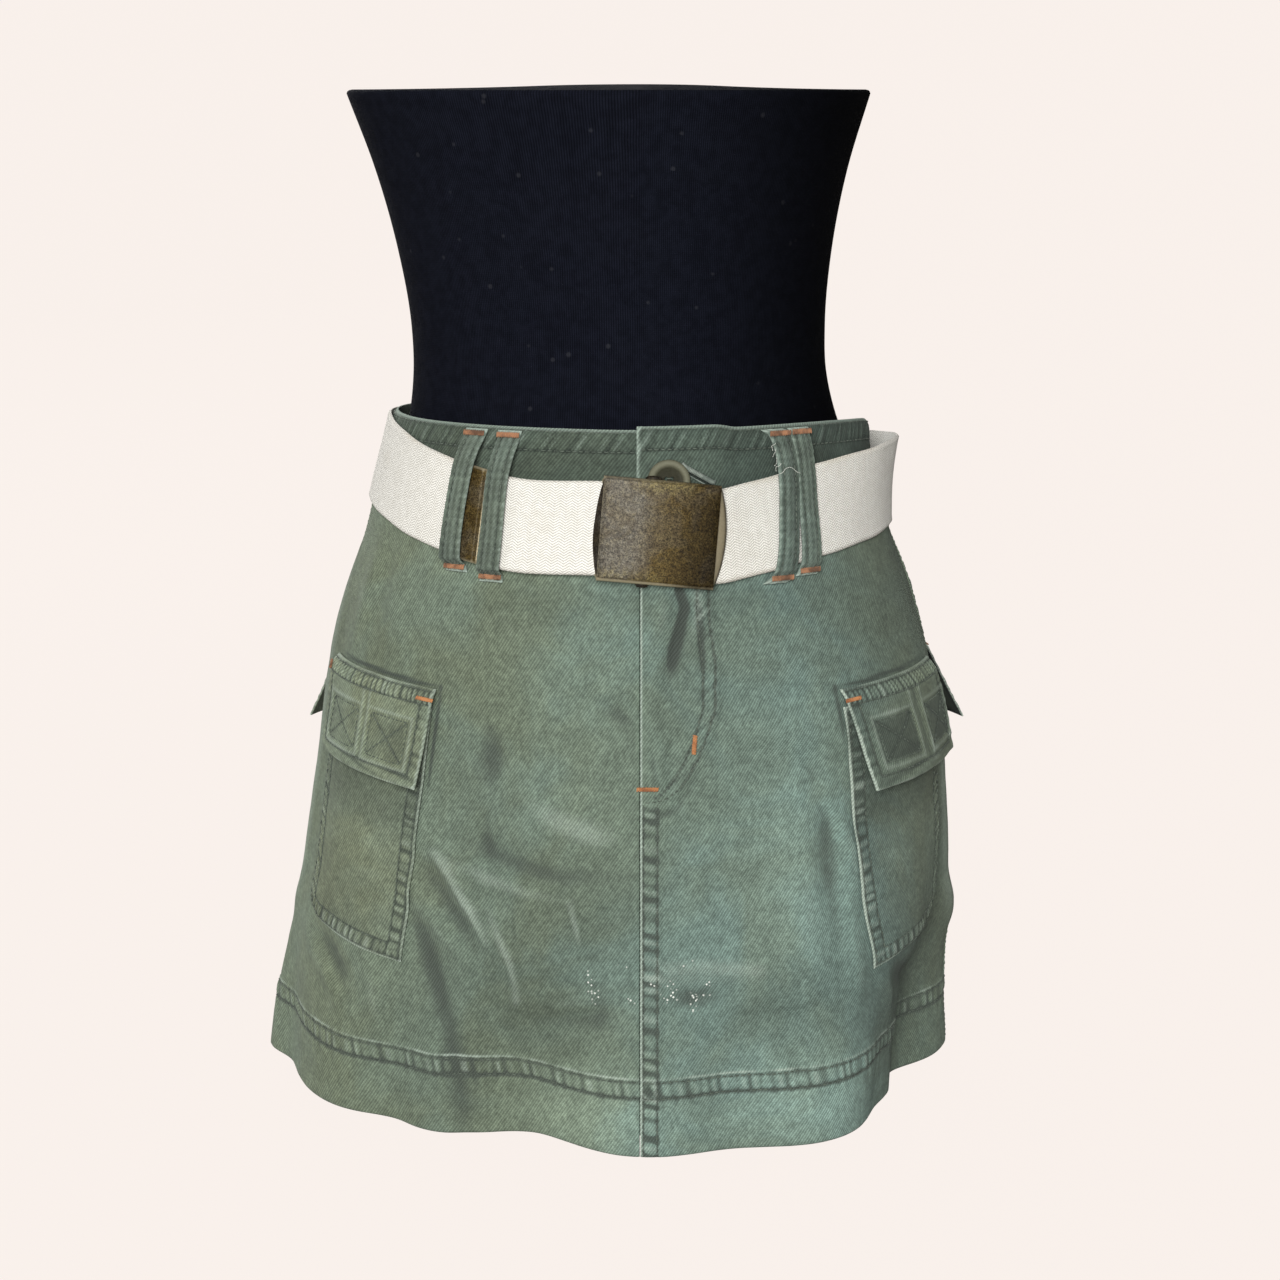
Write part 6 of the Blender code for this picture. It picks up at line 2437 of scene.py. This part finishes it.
@dataclass
class BeltLoop:
    """A narrow folded strip tacked above and below the belt.

    Attributes:
        clearance: How far it passes over the belt.
        layer: How far its sewn ends lie off the surface.
        tack: Length of a sewn end.
        groove: How far its rows of stitches are from its middle line.
        length: Its length along its curve.
        middle_rib: Half the width that stays free of puckers.
    """
    cloth: SkirtSurface
    belt: Belt
    at: LoopPlace
    width: float = 0.0122
    thickness: float = 0.0014
    clearance: float = 0.0008
    layer: float = 0.0010
    tack: float = 0.003
    groove: float = 0.0034
    length: float = 0.075
    middle_rib: float = 0.0025

    @property
    def middle(self) -> float:
        """Its mean angle."""
        return (self.at.top_angle + self.at.foot_angle) / 2

    def belt_face(self, share: float) -> float:
        """Stand-off of the belt's outermost face at the loop.

        Args:
            share: Share from the belt's top edge to its foot.

        Returns:
            Metres out.
        """
        faces = [0.0]
        for turn in (self.middle - 360.0, self.middle, self.middle + 360.0):
            if ROUTE_START - 3.0 <= turn <= ROUTE_END:
                tipped = turn < ROUTE_START + self.belt.tip_turn + 3.0
                cloth = self.belt.tip_thickness if tipped else self.belt.thickness
                faces.append(float(self.belt.gap(turn, share)) + cloth)
        return max(faces)

    def spine(self) -> tuple[Array, Array, Array]:
        """Run, height and stand-off along the strip, from its top end to its foot.

        Returns:
            The shares of its length, the heights and the metres out.
        """
        turn = self.middle if self.middle > ROUTE_START - 3.0 else self.middle + 360.0
        centre = float(route("centre", turn))
        half = self.belt.width * self.belt.upright / 2
        top = float(self.cloth.waist(self.at.top_angle)) - 0.002
        belt_top, belt_foot = centre + half, centre - half
        over_top, over_foot = (self.belt_face(share) + self.clearance for share in (0.0, 1.0))
        foot = belt_foot - 0.0038
        steps = np.array([
            (top, self.layer),
            (top - self.tack, self.layer),
            ((top - self.tack + belt_top + 0.001) / 2, (self.layer + over_top) * 0.6),
            (belt_top + 0.001, over_top),
            (belt_top - 0.006, over_top + 0.0006),
            ((belt_top + belt_foot) / 2, (over_top + over_foot) / 2 + 0.0006),
            (belt_foot + 0.006, over_foot + 0.0006),
            (belt_foot - 0.001, over_foot),
            ((belt_foot - 0.001 + foot) / 2, (self.layer + over_foot) / 2),
            (foot, self.layer),
            (foot - self.tack, self.layer),
        ])
        run = np.concatenate([[0.0], np.cumsum(np.hypot(*np.diff(steps, axis=0).T))])
        return run / run[-1], steps[:, 0], steps[:, 1]

    def locate(self, across: Array, down: Array) -> tuple[Array, Array, Array]:
        """Places on its inner face.

        Args:
            across: Shares towards the wearer's left.
            down: Shares down.

        Returns:
            The angles, the heights and the metres out.
        """
        run, heights, gaps = self.spine()
        height = smooth_curve(run, heights, down)
        share = (heights[0] - height) / (heights[0] - heights[-1])
        angle = self.at.top_angle + (self.at.foot_angle - self.at.top_angle) * share
        arch = np.sin(math.pi * unit(share)) ** 0.35
        bend = 0.00035 * np.sin(down * 7.0 + self.at.top_angle) + self.at.bow * arch
        wide = self.width * (1.05 - 0.15 * arch)
        place = self.cloth.distance(angle, height) + wide * (across - 0.5) + bend
        return self.cloth.angle(place, height), height, np.interp(down, run, gaps)

    @property
    def face(self) -> Face:
        """Its outer face, by share across towards the wearer's left and share down."""
        return Face(self.points, (0.05, 0.01))

    def ripple(self, x: Array, down: Array) -> Array:
        """Puckers beside its rows: -1 to 1, and 0 on its middle rib."""
        return puckers(down * self.length, 0.0042, int(self.at.top_angle)) * (np.abs(x) > self.middle_rib)

    def points(self, across: Array, down: Array) -> Array:
        """Points of its outer face.

        Args:
            across: Shares towards the wearer's left.
            down: Shares down.

        Returns:
            An array of points.
        """
        angle, height, gap = self.locate(across, down)
        x = (across - 0.5) * self.width
        shape = 0.00026 * hump(x, 0.0012) - 0.00034 * hump(np.abs(x) - self.groove, 0.0006)
        shape = shape - rounded(self.width / 2 - np.abs(x), 0.0011, 0.0009)
        shape = shape - rounded(np.minimum(down, 1 - down) * self.length, 0.0008, 0.0007)
        shape = shape + 0.0002 * self.ripple(x, down)
        return self.cloth.point(angle, height, gap + self.thickness + 0.0002 + shape)

    def marks(self, across: Array, down: Array) -> Array:
        """Its marks, with one darker strip on the frayed loop.

        Args:
            across: Shares towards the wearer's left.
            down: Shares down.

        Returns:
            The marks.
        """
        x = (across - 0.5) * self.width
        ends = np.minimum(down, 1 - down) * self.length
        worn = 0.30 * hump(np.abs(x) - 0.0016, 0.0009) + 0.42 * hump(self.width / 2 - np.abs(x), 0.0007)
        worn = worn + 0.20 * unit(self.ripple(x, down)) + 0.80 * (1 - ease((ends - 0.0004) / 0.0010))
        hollow = puckers(down * self.length, 0.0042, int(self.at.top_angle))
        # painted shade in the pucker valleys, with darker stitch grooves and middle line
        soil_and_shade = 0.55 * hump(np.abs(x) - self.groove, 0.0007) + 0.35 * hump(x, 0.0008) + 0.25 * unit(-hollow)
        tint = np.full(x.shape, 0.55 if self.at.top_angle > 0 else 0.3)
        tone = 0.22 * soft_noise(x + 0.3 * self.at.top_angle, down * self.length, 0.007, 41)
        if self.at.name == FRAYED_LOOP:
            tone = tone - 0.30 * between(x, 0.0012, 0.0050, 0.0015)
        return stack_marks(worn, soil_and_shade, tint, 0.0, tone)

    def build(self, wardrobe: Wardrobe) -> None:
        """Make the loop.

        Args:
            wardrobe: The materials.
        """
        across, down = mesh_grid(np.linspace(0, 1, 19), 76)
        angle, height, gap = self.locate(across, down)
        inner = self.cloth.point(angle, height, gap + 0.0001)
        flat = np.stack([across * self.width + 6.0 + self.at.top_angle * 0.1, -down * self.length], axis=-1)
        item = shell(self.at.name + "_cloth", self.points(across, down), inner, flat, self.marks(across, down))
        dress(item, wardrobe["loop"], [self.at.name])

    def sew(self, box: SewingBox) -> None:
        """Sew its two rows and the bartacks at its ends, and leave loose threads on the frayed loop.

        Args:
            box: Where the thread goes.
        """
        for side in (-1, 1):
            run = np.linspace(0.05, 0.95, 200)
            box.row("loop_stitching", self.face, 0.5 + side * self.groove / self.width, run, pitch=0.0029)
        if self.at.name == FRAYED_LOOP:
            loose = {"stand": 0.0006, "pitch": 0.0012, "length": 0.0014, "radius": 0.00018}
            bow, t = np.linspace(-0.12, 1.02, 90), np.linspace(0.0, 1.0, 30)
            sag = 0.300 - 0.045 * np.sin(math.pi * ease((bow + 0.12) / 1.14))
            box.row("loose_thread", self.face, bow, sag, **loose)
            for down in (0.090, 0.130, 0.185, 0.225):
                across = 0.04 - 0.24 * t + 0.05 * np.sin(6 * t + 90 * down)
                box.row("loose_thread", self.face, across, down + 0.05 * t + 0.008 * np.sin(9 * t), **loose)
        for down in (0.029, 0.970):
            box.tack("loop_bartacks", self.face, (0.02, down), (0.98, down), 0.0030, stand=0.0002)


@dataclass
class Buckle:
    """The plaque buckle: a bowed plate whose upper and lower edges fold back over the web.

    Attributes:
        depth: How far the folded edges reach back.
        metal: Thickness of the sheet.
        edge: Radius of the folds.
        bow: Radius that the plate is bowed to.
        angle: Angle of its middle.
        centre: Height of its middle.
        tilt: Degrees that it is turned.
        stand: Stand-off of its front.
        side_inset: How far in from the plate's ends the side walls start.
    """
    cloth: SkirtSurface
    belt: Belt
    width: float = 0.056
    height: float = 0.050
    depth: float = 0.0074
    metal: float = 0.0012
    edge: float = 0.0025
    bow: float = 0.172
    angle: float = 3.8
    centre: float = 0.3163
    tilt: float = -5.5
    stand: float = 0.0130
    side_inset: float = 0.0012
    columns: int = 37

    def outline(self) -> Array:
        """The folded profile from the upper back edge round the front.

        Returns:
            Rows of height and depth.
        """
        half, r = self.height / 2, self.edge
        turn = np.linspace(0.0, math.pi / 2, 9)
        bend = np.stack([half - r + r * np.cos(turn), -r + r * np.sin(turn)], axis=1)
        back = np.stack([np.full(4, half), np.linspace(-self.depth, -r, 5)[:-1]], axis=1)
        front = np.stack([np.linspace(half - r, -(half - r), 31)[1:-1], np.zeros(29)], axis=1)
        upper = np.concatenate([back, bend])
        return np.concatenate([upper, front, upper[::-1] * (-1, 1)])

    def lay(self, high: Array, deep: Array, place: Array) -> Array:
        """Points of the bowed plate.

        Args:
            high: Heights above its middle.
            deep: Metres in front of its face.
            place: Metres along it from its middle.

        Returns:
            An array of points.
        """
        point, along, up, out = self.cloth.frame(self.angle, self.centre)
        lean = math.atan2(float(self.belt.gap(self.angle, 0.0) - self.belt.gap(self.angle, 1.0)), self.belt.width)
        turn = math.radians(self.tilt)
        side = place * math.cos(turn) - high * math.sin(turn)
        rise = place * math.sin(turn) + high * math.cos(turn)
        stand = self.stand + deep - place ** 2 / (2 * self.bow) + rise * math.tan(lean)
        return point + side[..., None] * along + rise[..., None] * up + stand[..., None] * out

    def marks(self, high: Array, across: Array) -> Array:
        """Marks of the plate: bright rims, a coppery right half, a left one that is darker below its top, and gold at
        the folds.

        Args:
            high: Heights above its middle.
            across: Metres along it from its middle.

        Returns:
            The marks.
        """
        folded = hump(np.abs(high) - self.height / 2 + 0.0006, 0.0006) * np.where(high > 0, 0.45, 0.9)
        rim = folded + 0.3 * hump(self.width / 2 - np.abs(across), 0.0005)
        worn = rim * (1 - 0.5 * ease(across / 0.02))
        across = across - 0.15 * high
        tint = 0.95 * (1 - ease((across + 0.016) / 0.020)) + 0.15 * ease((high - 0.012) / 0.014)
        darker_side = 0.92 * ease((across + 0.001) / 0.030) * (1 - 0.45 * ease((high - 0.014) / 0.010))
        gold = 0.50 * ease((high - 0.0165) / 0.006) * (1 - ease((across - 0.008) / 0.010))
        gold = gold * ease((across + 0.020) / 0.012)
        gold = gold + 0.30 * ease((-0.016 - high) / 0.006) * (1 - ease((across - 0.002) / 0.010))
        return stack_marks(worn, darker_side, tint, gold)

    def build(self, wardrobe: Wardrobe) -> None:
        """Make the plate, its side walls and its rollers.

        Args:
            wardrobe: The materials.
        """
        outline = self.outline()
        step = np.gradient(outline, axis=0)
        inward = np.stack([step[:, 1], -step[:, 0]], axis=1)
        inward /= np.linalg.norm(inward, axis=1, keepdims=True)
        inward *= np.sign((inward * (np.array([0.0, -self.depth / 2]) - outline)).sum(axis=1, keepdims=True))
        back = outline + inward * self.metal
        places = np.linspace(-0.5, 0.5, self.columns) * self.width
        across = np.broadcast_to(places, (len(outline), self.columns))
        high = np.broadcast_to(outline[:, :1], across.shape)
        out = self.cloth.frame(self.angle, self.centre)[3]
        soften = rounded(self.width / 2 - np.abs(places)[None, :], 0.0009, 0.0005)
        outer = self.lay(outline[:, :1], outline[:, 1:], across) - soften[..., None] * out
        inner = self.lay(back[:, :1], back[:, 1:], across)
        flat = np.stack([across + 8.0, high], axis=-1)
        rows = 3 * ((len(outline) - 1) // 3) + 1
        keep = np.unique(np.round(np.linspace(0, len(outline) - 1, rows)).astype(int))
        item = shell("belt_buckle_plate", *(grid[keep] for grid in (outer, inner, flat, self.marks(high, across))))
        self._build_sides(wardrobe)
        rollers = ThreadWork("belt_buckle_rollers", sides=14)
        for level, middle, reach in ((self.height / 2 + 0.0004, -0.0044, 0.0085),
                                     (-self.height / 2 - 0.0002, -0.0062, 0.0066)):
            ends = np.array([[middle - reach / 2, middle + reach / 2]])
            rollers.capsules(self.lay(level + 0 * ends, -0.0036 + 0 * ends, ends), out[None, :], 0.0014, 0.0)
        dark = np.tile((0.10, 1.0, 0.6, 0.0, 0.0), (rollers.count, 1))
        set_marks(rollers.make(wardrobe["brass"], "antique_brass"), dark)
        dress(item, wardrobe["brass"], ["belt_buckle"])

    def _build_sides(self, wardrobe: Wardrobe) -> None:
        """Make the two bulging side walls behind the plate: painted shade on one, as a shaded interior with a pale
        rim, and painted light on the other, as if lit.

        Args:
            wardrobe: The materials.
        """
        share = np.linspace(0.0, 1.0, 34)[:, None]
        out = np.linspace(0.0, 1.0, 10)[None, :]
        for side, bulge, name in ((-1, 0.0042, "right"), (1, 0.0046, "left")):
            reach = bulge * np.sin(math.pi * share) ** 0.75 + self.side_inset
            place = side * (self.width / 2 - self.side_inset + reach * out)
            high = (0.5 - share) * (self.height - 0.0012) + 0 * place
            deep = -0.0016 - 0.0030 * out ** 2 + 0 * place
            order = slice(None, None, side)
            front, back = (self.lay(high, deep - down, place)[:, order] for down in (0.0, 0.0010))
            rim = 0.9 * hump((1 - out) * reach, 0.0006)
            # painted shade on the wearer's right wall, painted light on the left one
            worn, soil_and_shade = (rim, 1.0 + 0 * rim) if side < 0 else (0.75 * (1 - rim), 0 * rim)
            flat = np.stack([place + 9.0, high], axis=-1)[:, order]
            marks = stack_marks(worn, soil_and_shade, 0.6 + 0 * worn)[:, order]
            dress(shell(f"belt_buckle_side_{name}", front, back, flat, marks), wardrobe["brass"])


@dataclass
class WaistButton:
    """The four-hole waist button with a raised rim.

    Attributes:
        hole_pitch: How far its holes are from its middle.
        lift: Stand-off of its back.
        dish: Height of its dished middle, as a share of its thickness.
        outline: Its profile from the dished middle to the back, as shares of its radius and thickness.
    """
    cloth: SkirtSurface
    radius: float = 0.0104
    thickness: float = 0.0032
    hole_radius: float = 0.0009
    hole_pitch: float = 0.0019
    angle: float = 6.3
    height: float = 0.3408
    lift: float = 0.0033
    sides: int = 48
    dish: float = 0.62
    outline: tuple[tuple[float, float], ...] = (
        (0.30, 0.62), (0.52, 0.62), (0.62, 0.66), (0.68, 0.80), (0.74, 0.94), (0.82, 1.00), (0.90, 0.95),
        (0.965, 0.80), (1.00, 0.55), (0.985, 0.35), (0.93, 0.18), (0.83, 0.06), (0.70, 0.00))

    def _disc(self) -> bpy.types.Object:
        """Make the turned disc, lying flat about the origin.

        Returns:
            The disc.
        """
        n, turn = self.sides, np.linspace(0, 2 * math.pi, self.sides, endpoint=False)
        points, faces = [[0.0, 0.0, self.dish * self.thickness]], []
        for wide, high in self.outline:
            r, z = wide * self.radius, high * self.thickness
            points += np.stack([r * np.cos(turn), r * np.sin(turn), np.full(n, z)], axis=1).tolist()
        points.append([0.0, 0.0, 0.0])
        rings = len(self.outline)
        for k in range(n):
            after = (k + 1) % n
            faces.append([0, 1 + k, 1 + after])
            for row in range(rings - 1):
                a, b = 1 + row * n, 1 + (row + 1) * n
                faces.append([a + k, b + k, b + after, a + after])
            last = 1 + (rings - 1) * n
            faces.append([len(points) - 1, last + after, last + k])
        return new_object("waist_button_disc", points, faces)

    def _drill(self, disc: bpy.types.Object) -> None:
        """Cut the four holes.

        Args:
            disc: The disc.
        """
        cutters = []
        for i in range(4):
            angle = math.radians(45 + 90 * i)
            centre = (self.hole_pitch * math.cos(angle), self.hole_pitch * math.sin(angle), 0.0)
            bpy.ops.mesh.primitive_cylinder_add(vertices=20, radius=self.hole_radius, depth=0.02, location=centre)
            cutters.append(bpy.context.object)
            hole = disc.modifiers.new("hole", "BOOLEAN")
            hole.object, hole.operation = cutters[-1], "DIFFERENCE"
        settle(disc)
        for cutter in cutters:
            bpy.data.objects.remove(cutter)

    def build(self, wardrobe: Wardrobe) -> None:
        """Make the button and the thread through its holes.

        Args:
            wardrobe: The materials.
        """
        point, along, up, out = self.cloth.frame(self.angle, self.height)
        place = point + out * self.lift
        disc = self._disc()
        self._drill(disc)
        flat = np.array([vertex.co[:] for vertex in disc.data.vertices])
        around = np.hypot(flat[:, 0], flat[:, 1]) / self.radius
        set_marks(disc, stack_marks(hump(around - 0.83, 0.12), 1 - ease((around - 0.60) / 0.12), 0 * around))
        for vertex, spot in zip(disc.data.vertices, place + flat @ np.stack([along, up, out])):
            vertex.co = spot
        disc.data.shade_smooth()
        disc.data.set_sharp_from_angle(angle=math.radians(40.0))
        dress(disc, wardrobe["button"], ["waist_button"])
        sewn = ThreadWork("button_thread", sides=8)
        reach = self.hole_pitch / math.sqrt(2)
        floor = place + out * self.thickness * self.dish - out * 0.0004
        for side in (-1, 1):
            for shift in (-0.00022, 0.00022):
                ends = np.array([[floor + up * side * reach + along * (shift + end * reach) for end in (-1, 1)]])
                sewn.capsules(ends, out[None, :], 0.00032, 0.0008)
        sewn.make(wardrobe["thread"], "twill")


# ---------------------------------------------------------------- the form
@dataclass
class DressForm:
    """The half dress form: its jersey body, and the finishes of its post and base plate.

    Attributes:
        top_edge: Height of the rounding round the flat top.
        lid_slope: How much the top leans to the front.
        lid_reach: How far down the lean dies away.
        rings: Share of the body's size, and of the edge's height, on each ring of the lid.
    """
    columns: int = 160
    rows: int = 110
    top_edge: float = 0.002
    lid_slope: float = 0.059
    lid_reach: float = 0.060
    lid_share: float = 0.98
    rings: tuple[tuple[float, float], ...] = ((1.0, 1.0), (0.45, 0.85), (0.12, 0.5))
    radius: float = 0.115

    def build(self, wardrobe: Wardrobe) -> None:
        """Make the body smooth and dress the stand.

        Args:
            wardrobe: The materials.
        """
        rising = FORM_SECTIONS[::-1]
        top = rising[-1].height
        heights = np.linspace(top - self.top_edge, rising[0].height, self.rows)[:, None]
        angles = np.linspace(-180.0, 180.0, self.columns + 1)[None, :]
        x, y = oval(FORM_SECTIONS, angles, heights)
        lean = self.lid_slope * ease(1 - (top - heights) / self.lid_reach)
        body = np.stack([x, y, heights + lean * y], axis=-1)
        lid = [body[0] * (1 - (1 - self.lid_share) * t, 1 - (1 - self.lid_share) * t, 1) + (0, 0, self.top_edge * h)
               for t, h in self.rings]
        half, none = (0.5, 0.5, 1.0), (0.0, 0.0, 1.0)
        rings = np.concatenate([[lid[0] * none], [lid[0] * half], lid, body, [body[-1] * half], [body[-1] * none]])
        rings[0, :, 2] = rings[0, :, 2].mean()
        along = np.radians(np.broadcast_to(angles, rings.shape[:2])) * self.radius
        run = np.cumsum(np.concatenate([[0.0], np.linalg.norm(np.diff(rings[:, 0], axis=0), axis=1)]))
        flat = np.stack([along, np.broadcast_to(run[:, None], along.shape)], axis=-1)
        item = new_object("form_body_jersey", rings.reshape(-1, 3), grid_faces(*rings.shape[:2]))
        set_map(item, flat.reshape(-1, 2))
        weld = item.modifiers.new("weld", "WELD")
        weld.merge_threshold = 0.00002
        settle(item)
        item.data.shade_smooth()
        item.data.set_sharp_from_angle(angle=math.radians(55.0))
        dress(item, wardrobe["jersey"], ["form_body"])
        for name in ("form_post", "form_base"):
            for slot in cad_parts[name].material_slots:
                slot.material = wardrobe["stand"]


# ---------------------------------------------------------------- the studio
class Lamp(NamedTuple):
    """A square soft light."""
    name: str
    place: Spot
    aim: Spot
    size: float
    power: float
    tone: Colour


LAMPS = table(
    Lamp,
    ("key", (-0.22, -2.20, 0.95), (0.0, 0.0, 0.20), 0.9, 54.0, (1.0, 1.0, 0.99)),
    ("fill", (-2.0, -0.5, 0.9), (0.0, 0.0, 0.2), 1.2, 5.0, (1.0, 0.98, 0.94)),
    ("overhead", (0.0, 0.1, 2.3), (0.0, 0.0, 0.2), 1.4, 5.0, (0.98, 1.0, 1.0)),
    ("back", (-0.9, 1.9, 1.2), (0.0, 0.0, 0.25), 1.4, 34.0, (1.0, 0.99, 0.97)),
)


@dataclass
class Studio:
    """Floor and backdrop in one pale bowl, soft lights and the camera.

    Attributes:
        floor_radius: Radius of the flat floor.
        curve: Radius of the bend up into the backdrop.
        wall: Height of the backdrop above the bend.
        focal: Focal length, in widths of the frame.
        dip: Degrees that the camera looks down.
    """
    pale: Colour = (0.968, 0.895, 0.850)
    air: Colour = (1.0, 0.96, 0.93)
    air_strength: float = 0.22
    floor_radius: float = 1.9
    curve: float = 0.8
    wall: float = 1.6
    sides: int = 96
    focal: float = 1979.0 / 1280.0
    sensor: float = 36.0
    camera_place: Spot = (0.0, -1.043, 0.467)
    dip: float = 12.2

    def build(self) -> None:
        """Make all of it."""
        self._stage()
        for lamp in LAMPS:
            self._light(lamp)
        scene = bpy.context.scene
        scene.world = bpy.data.worlds.new("studio air")
        scene.world.use_nodes = True
        light = scene.world.node_tree.nodes["Background"].inputs
        light["Color"].default_value = (*self.air, 1.0)
        light["Strength"].default_value = self.air_strength
        scene.view_settings.view_transform = "Standard"
        scene.view_settings.look = "None"
        data = bpy.data.cameras.new("camera")
        data.lens, data.sensor_width = self.focal * self.sensor, self.sensor
        data.clip_start, data.clip_end = 0.05, 30.0
        scene.camera = bpy.data.objects.new("camera", data)
        scene.camera.location = self.camera_place
        scene.camera.rotation_euler = (math.radians(90.0 - self.dip), 0.0, 0.0)
        scene.collection.objects.link(scene.camera)

    def _light(self, lamp: Lamp) -> None:
        """Add a light that looks at its aim.

        Args:
            lamp: Its sizes.
        """
        data = bpy.data.lights.new(lamp.name, "AREA")
        data.shape, data.size, data.energy, data.color = "SQUARE", lamp.size, lamp.power, lamp.tone
        item = bpy.data.objects.new(lamp.name, data)
        item.location = lamp.place
        x, y, z = np.subtract(lamp.aim, lamp.place)
        item.rotation_euler = (math.atan2(math.hypot(x, y), -z), 0.0, math.atan2(y, x) - math.pi / 2)
        bpy.context.scene.collection.objects.link(item)

    def _stage(self) -> None:
        """Make the floor that curves up into its backdrop, and its paper, which glows a little."""
        turn = np.linspace(0, 2 * math.pi, self.sides + 1)
        bend = np.linspace(0, math.pi / 2, 14)[1:]
        edge = self.floor_radius + self.curve
        radii = [0.001, 0.4, 0.9, 1.4, self.floor_radius, *(self.floor_radius + self.curve * np.sin(bend)), edge]
        levels = [0.0] * 5 + [*(self.curve * (1 - np.cos(bend))), self.curve + self.wall]
        radii, levels = np.array(radii)[:, None], np.array(levels)[:, None]
        rings = np.stack([radii * np.cos(turn), radii * np.sin(turn), levels + 0 * turn], axis=-1)
        bowl = new_object("studio_floor", rings.reshape(-1, 3), grid_faces(*rings.shape[:2]))
        material = bpy.data.materials.new("pale paper")
        material.use_nodes = True
        nodes = material.node_tree.nodes
        board, shader = Board(material.node_tree), nodes["Principled BSDF"]
        grain = board.noise(30.0, 3.0, 0.5)
        board.feed(shader.inputs["Base Color"], board.mix(grain, (0.33, 0.32, 0.31), (0.35, 0.34, 0.33)))
        shader.inputs["Roughness"].default_value = 0.95
        shader.inputs["Specular IOR Level"].default_value = 0.05
        glow = board.add("Emission", {"Color": self.pale, "Strength": 1.0})
        path, blend = board.add("LightPath"), board.add("MixShader")
        board.feed(blend.inputs[0], board.math("MULTIPLY", path.outputs["Is Camera Ray"], 0.97))
        board.feed(blend.inputs[1], shader.outputs[0])
        board.feed(blend.inputs[2], glow.outputs[0])
        board.feed(nodes["Material Output"].inputs["Surface"], blend.outputs[0])
        bowl.data.materials.append(material)


def main() -> None:
    """Build the studio, the form and the skirt with its belt."""
    Studio().build()
    effects = Effects()
    wardrobe = {name: finish.material(effects) for name, finish in FINISHES.items()}
    cloth, box = SkirtSurface(), SewingBox()
    DressForm().build(wardrobe)
    back = {"columns": 208, "pitch": 0.0030}
    panels = [
        Panel("front_left", 1, True, cloth),
        Panel("front_right", -1, True, cloth),
        Panel("back_left", 1, False, cloth, **back),
        Panel("back_right", -1, False, cloth, **back),
    ]
    for panel in panels:
        panel.build(wardrobe)
        panel.sew(box)
    front = panels[0].face
    box.tack("bartacks", front, (-0.5, 0.1937), (3.1, 0.1937), 0.0024, stand=0.0007)
    box.tack("bartacks", front, (9.3, 0.2107), (9.7, 0.2195), 0.0026, stand=0.0007)
    waistband = Waistband(cloth)
    waistband.build(wardrobe)
    waistband.sew(box)
    Pockets(cloth).build(wardrobe, box)
    belt = Belt(cloth)
    belt.build(wardrobe)
    for place in LOOPS:
        loop = BeltLoop(cloth, belt, place)
        loop.build(wardrobe)
        loop.sew(box)
    Buckle(cloth, belt).build(wardrobe)
    WaistButton(cloth).build(wardrobe)
    special = {"bartacks": "tack", "loop_bartacks": "brown", "loose_thread": "pale", "buttonhole_stitching": "cord"}
    for name, work in box.works.items():
        work.make(wardrobe[special.get(name, "thread")], "twill")


if __name__ == "__main__":
    main()
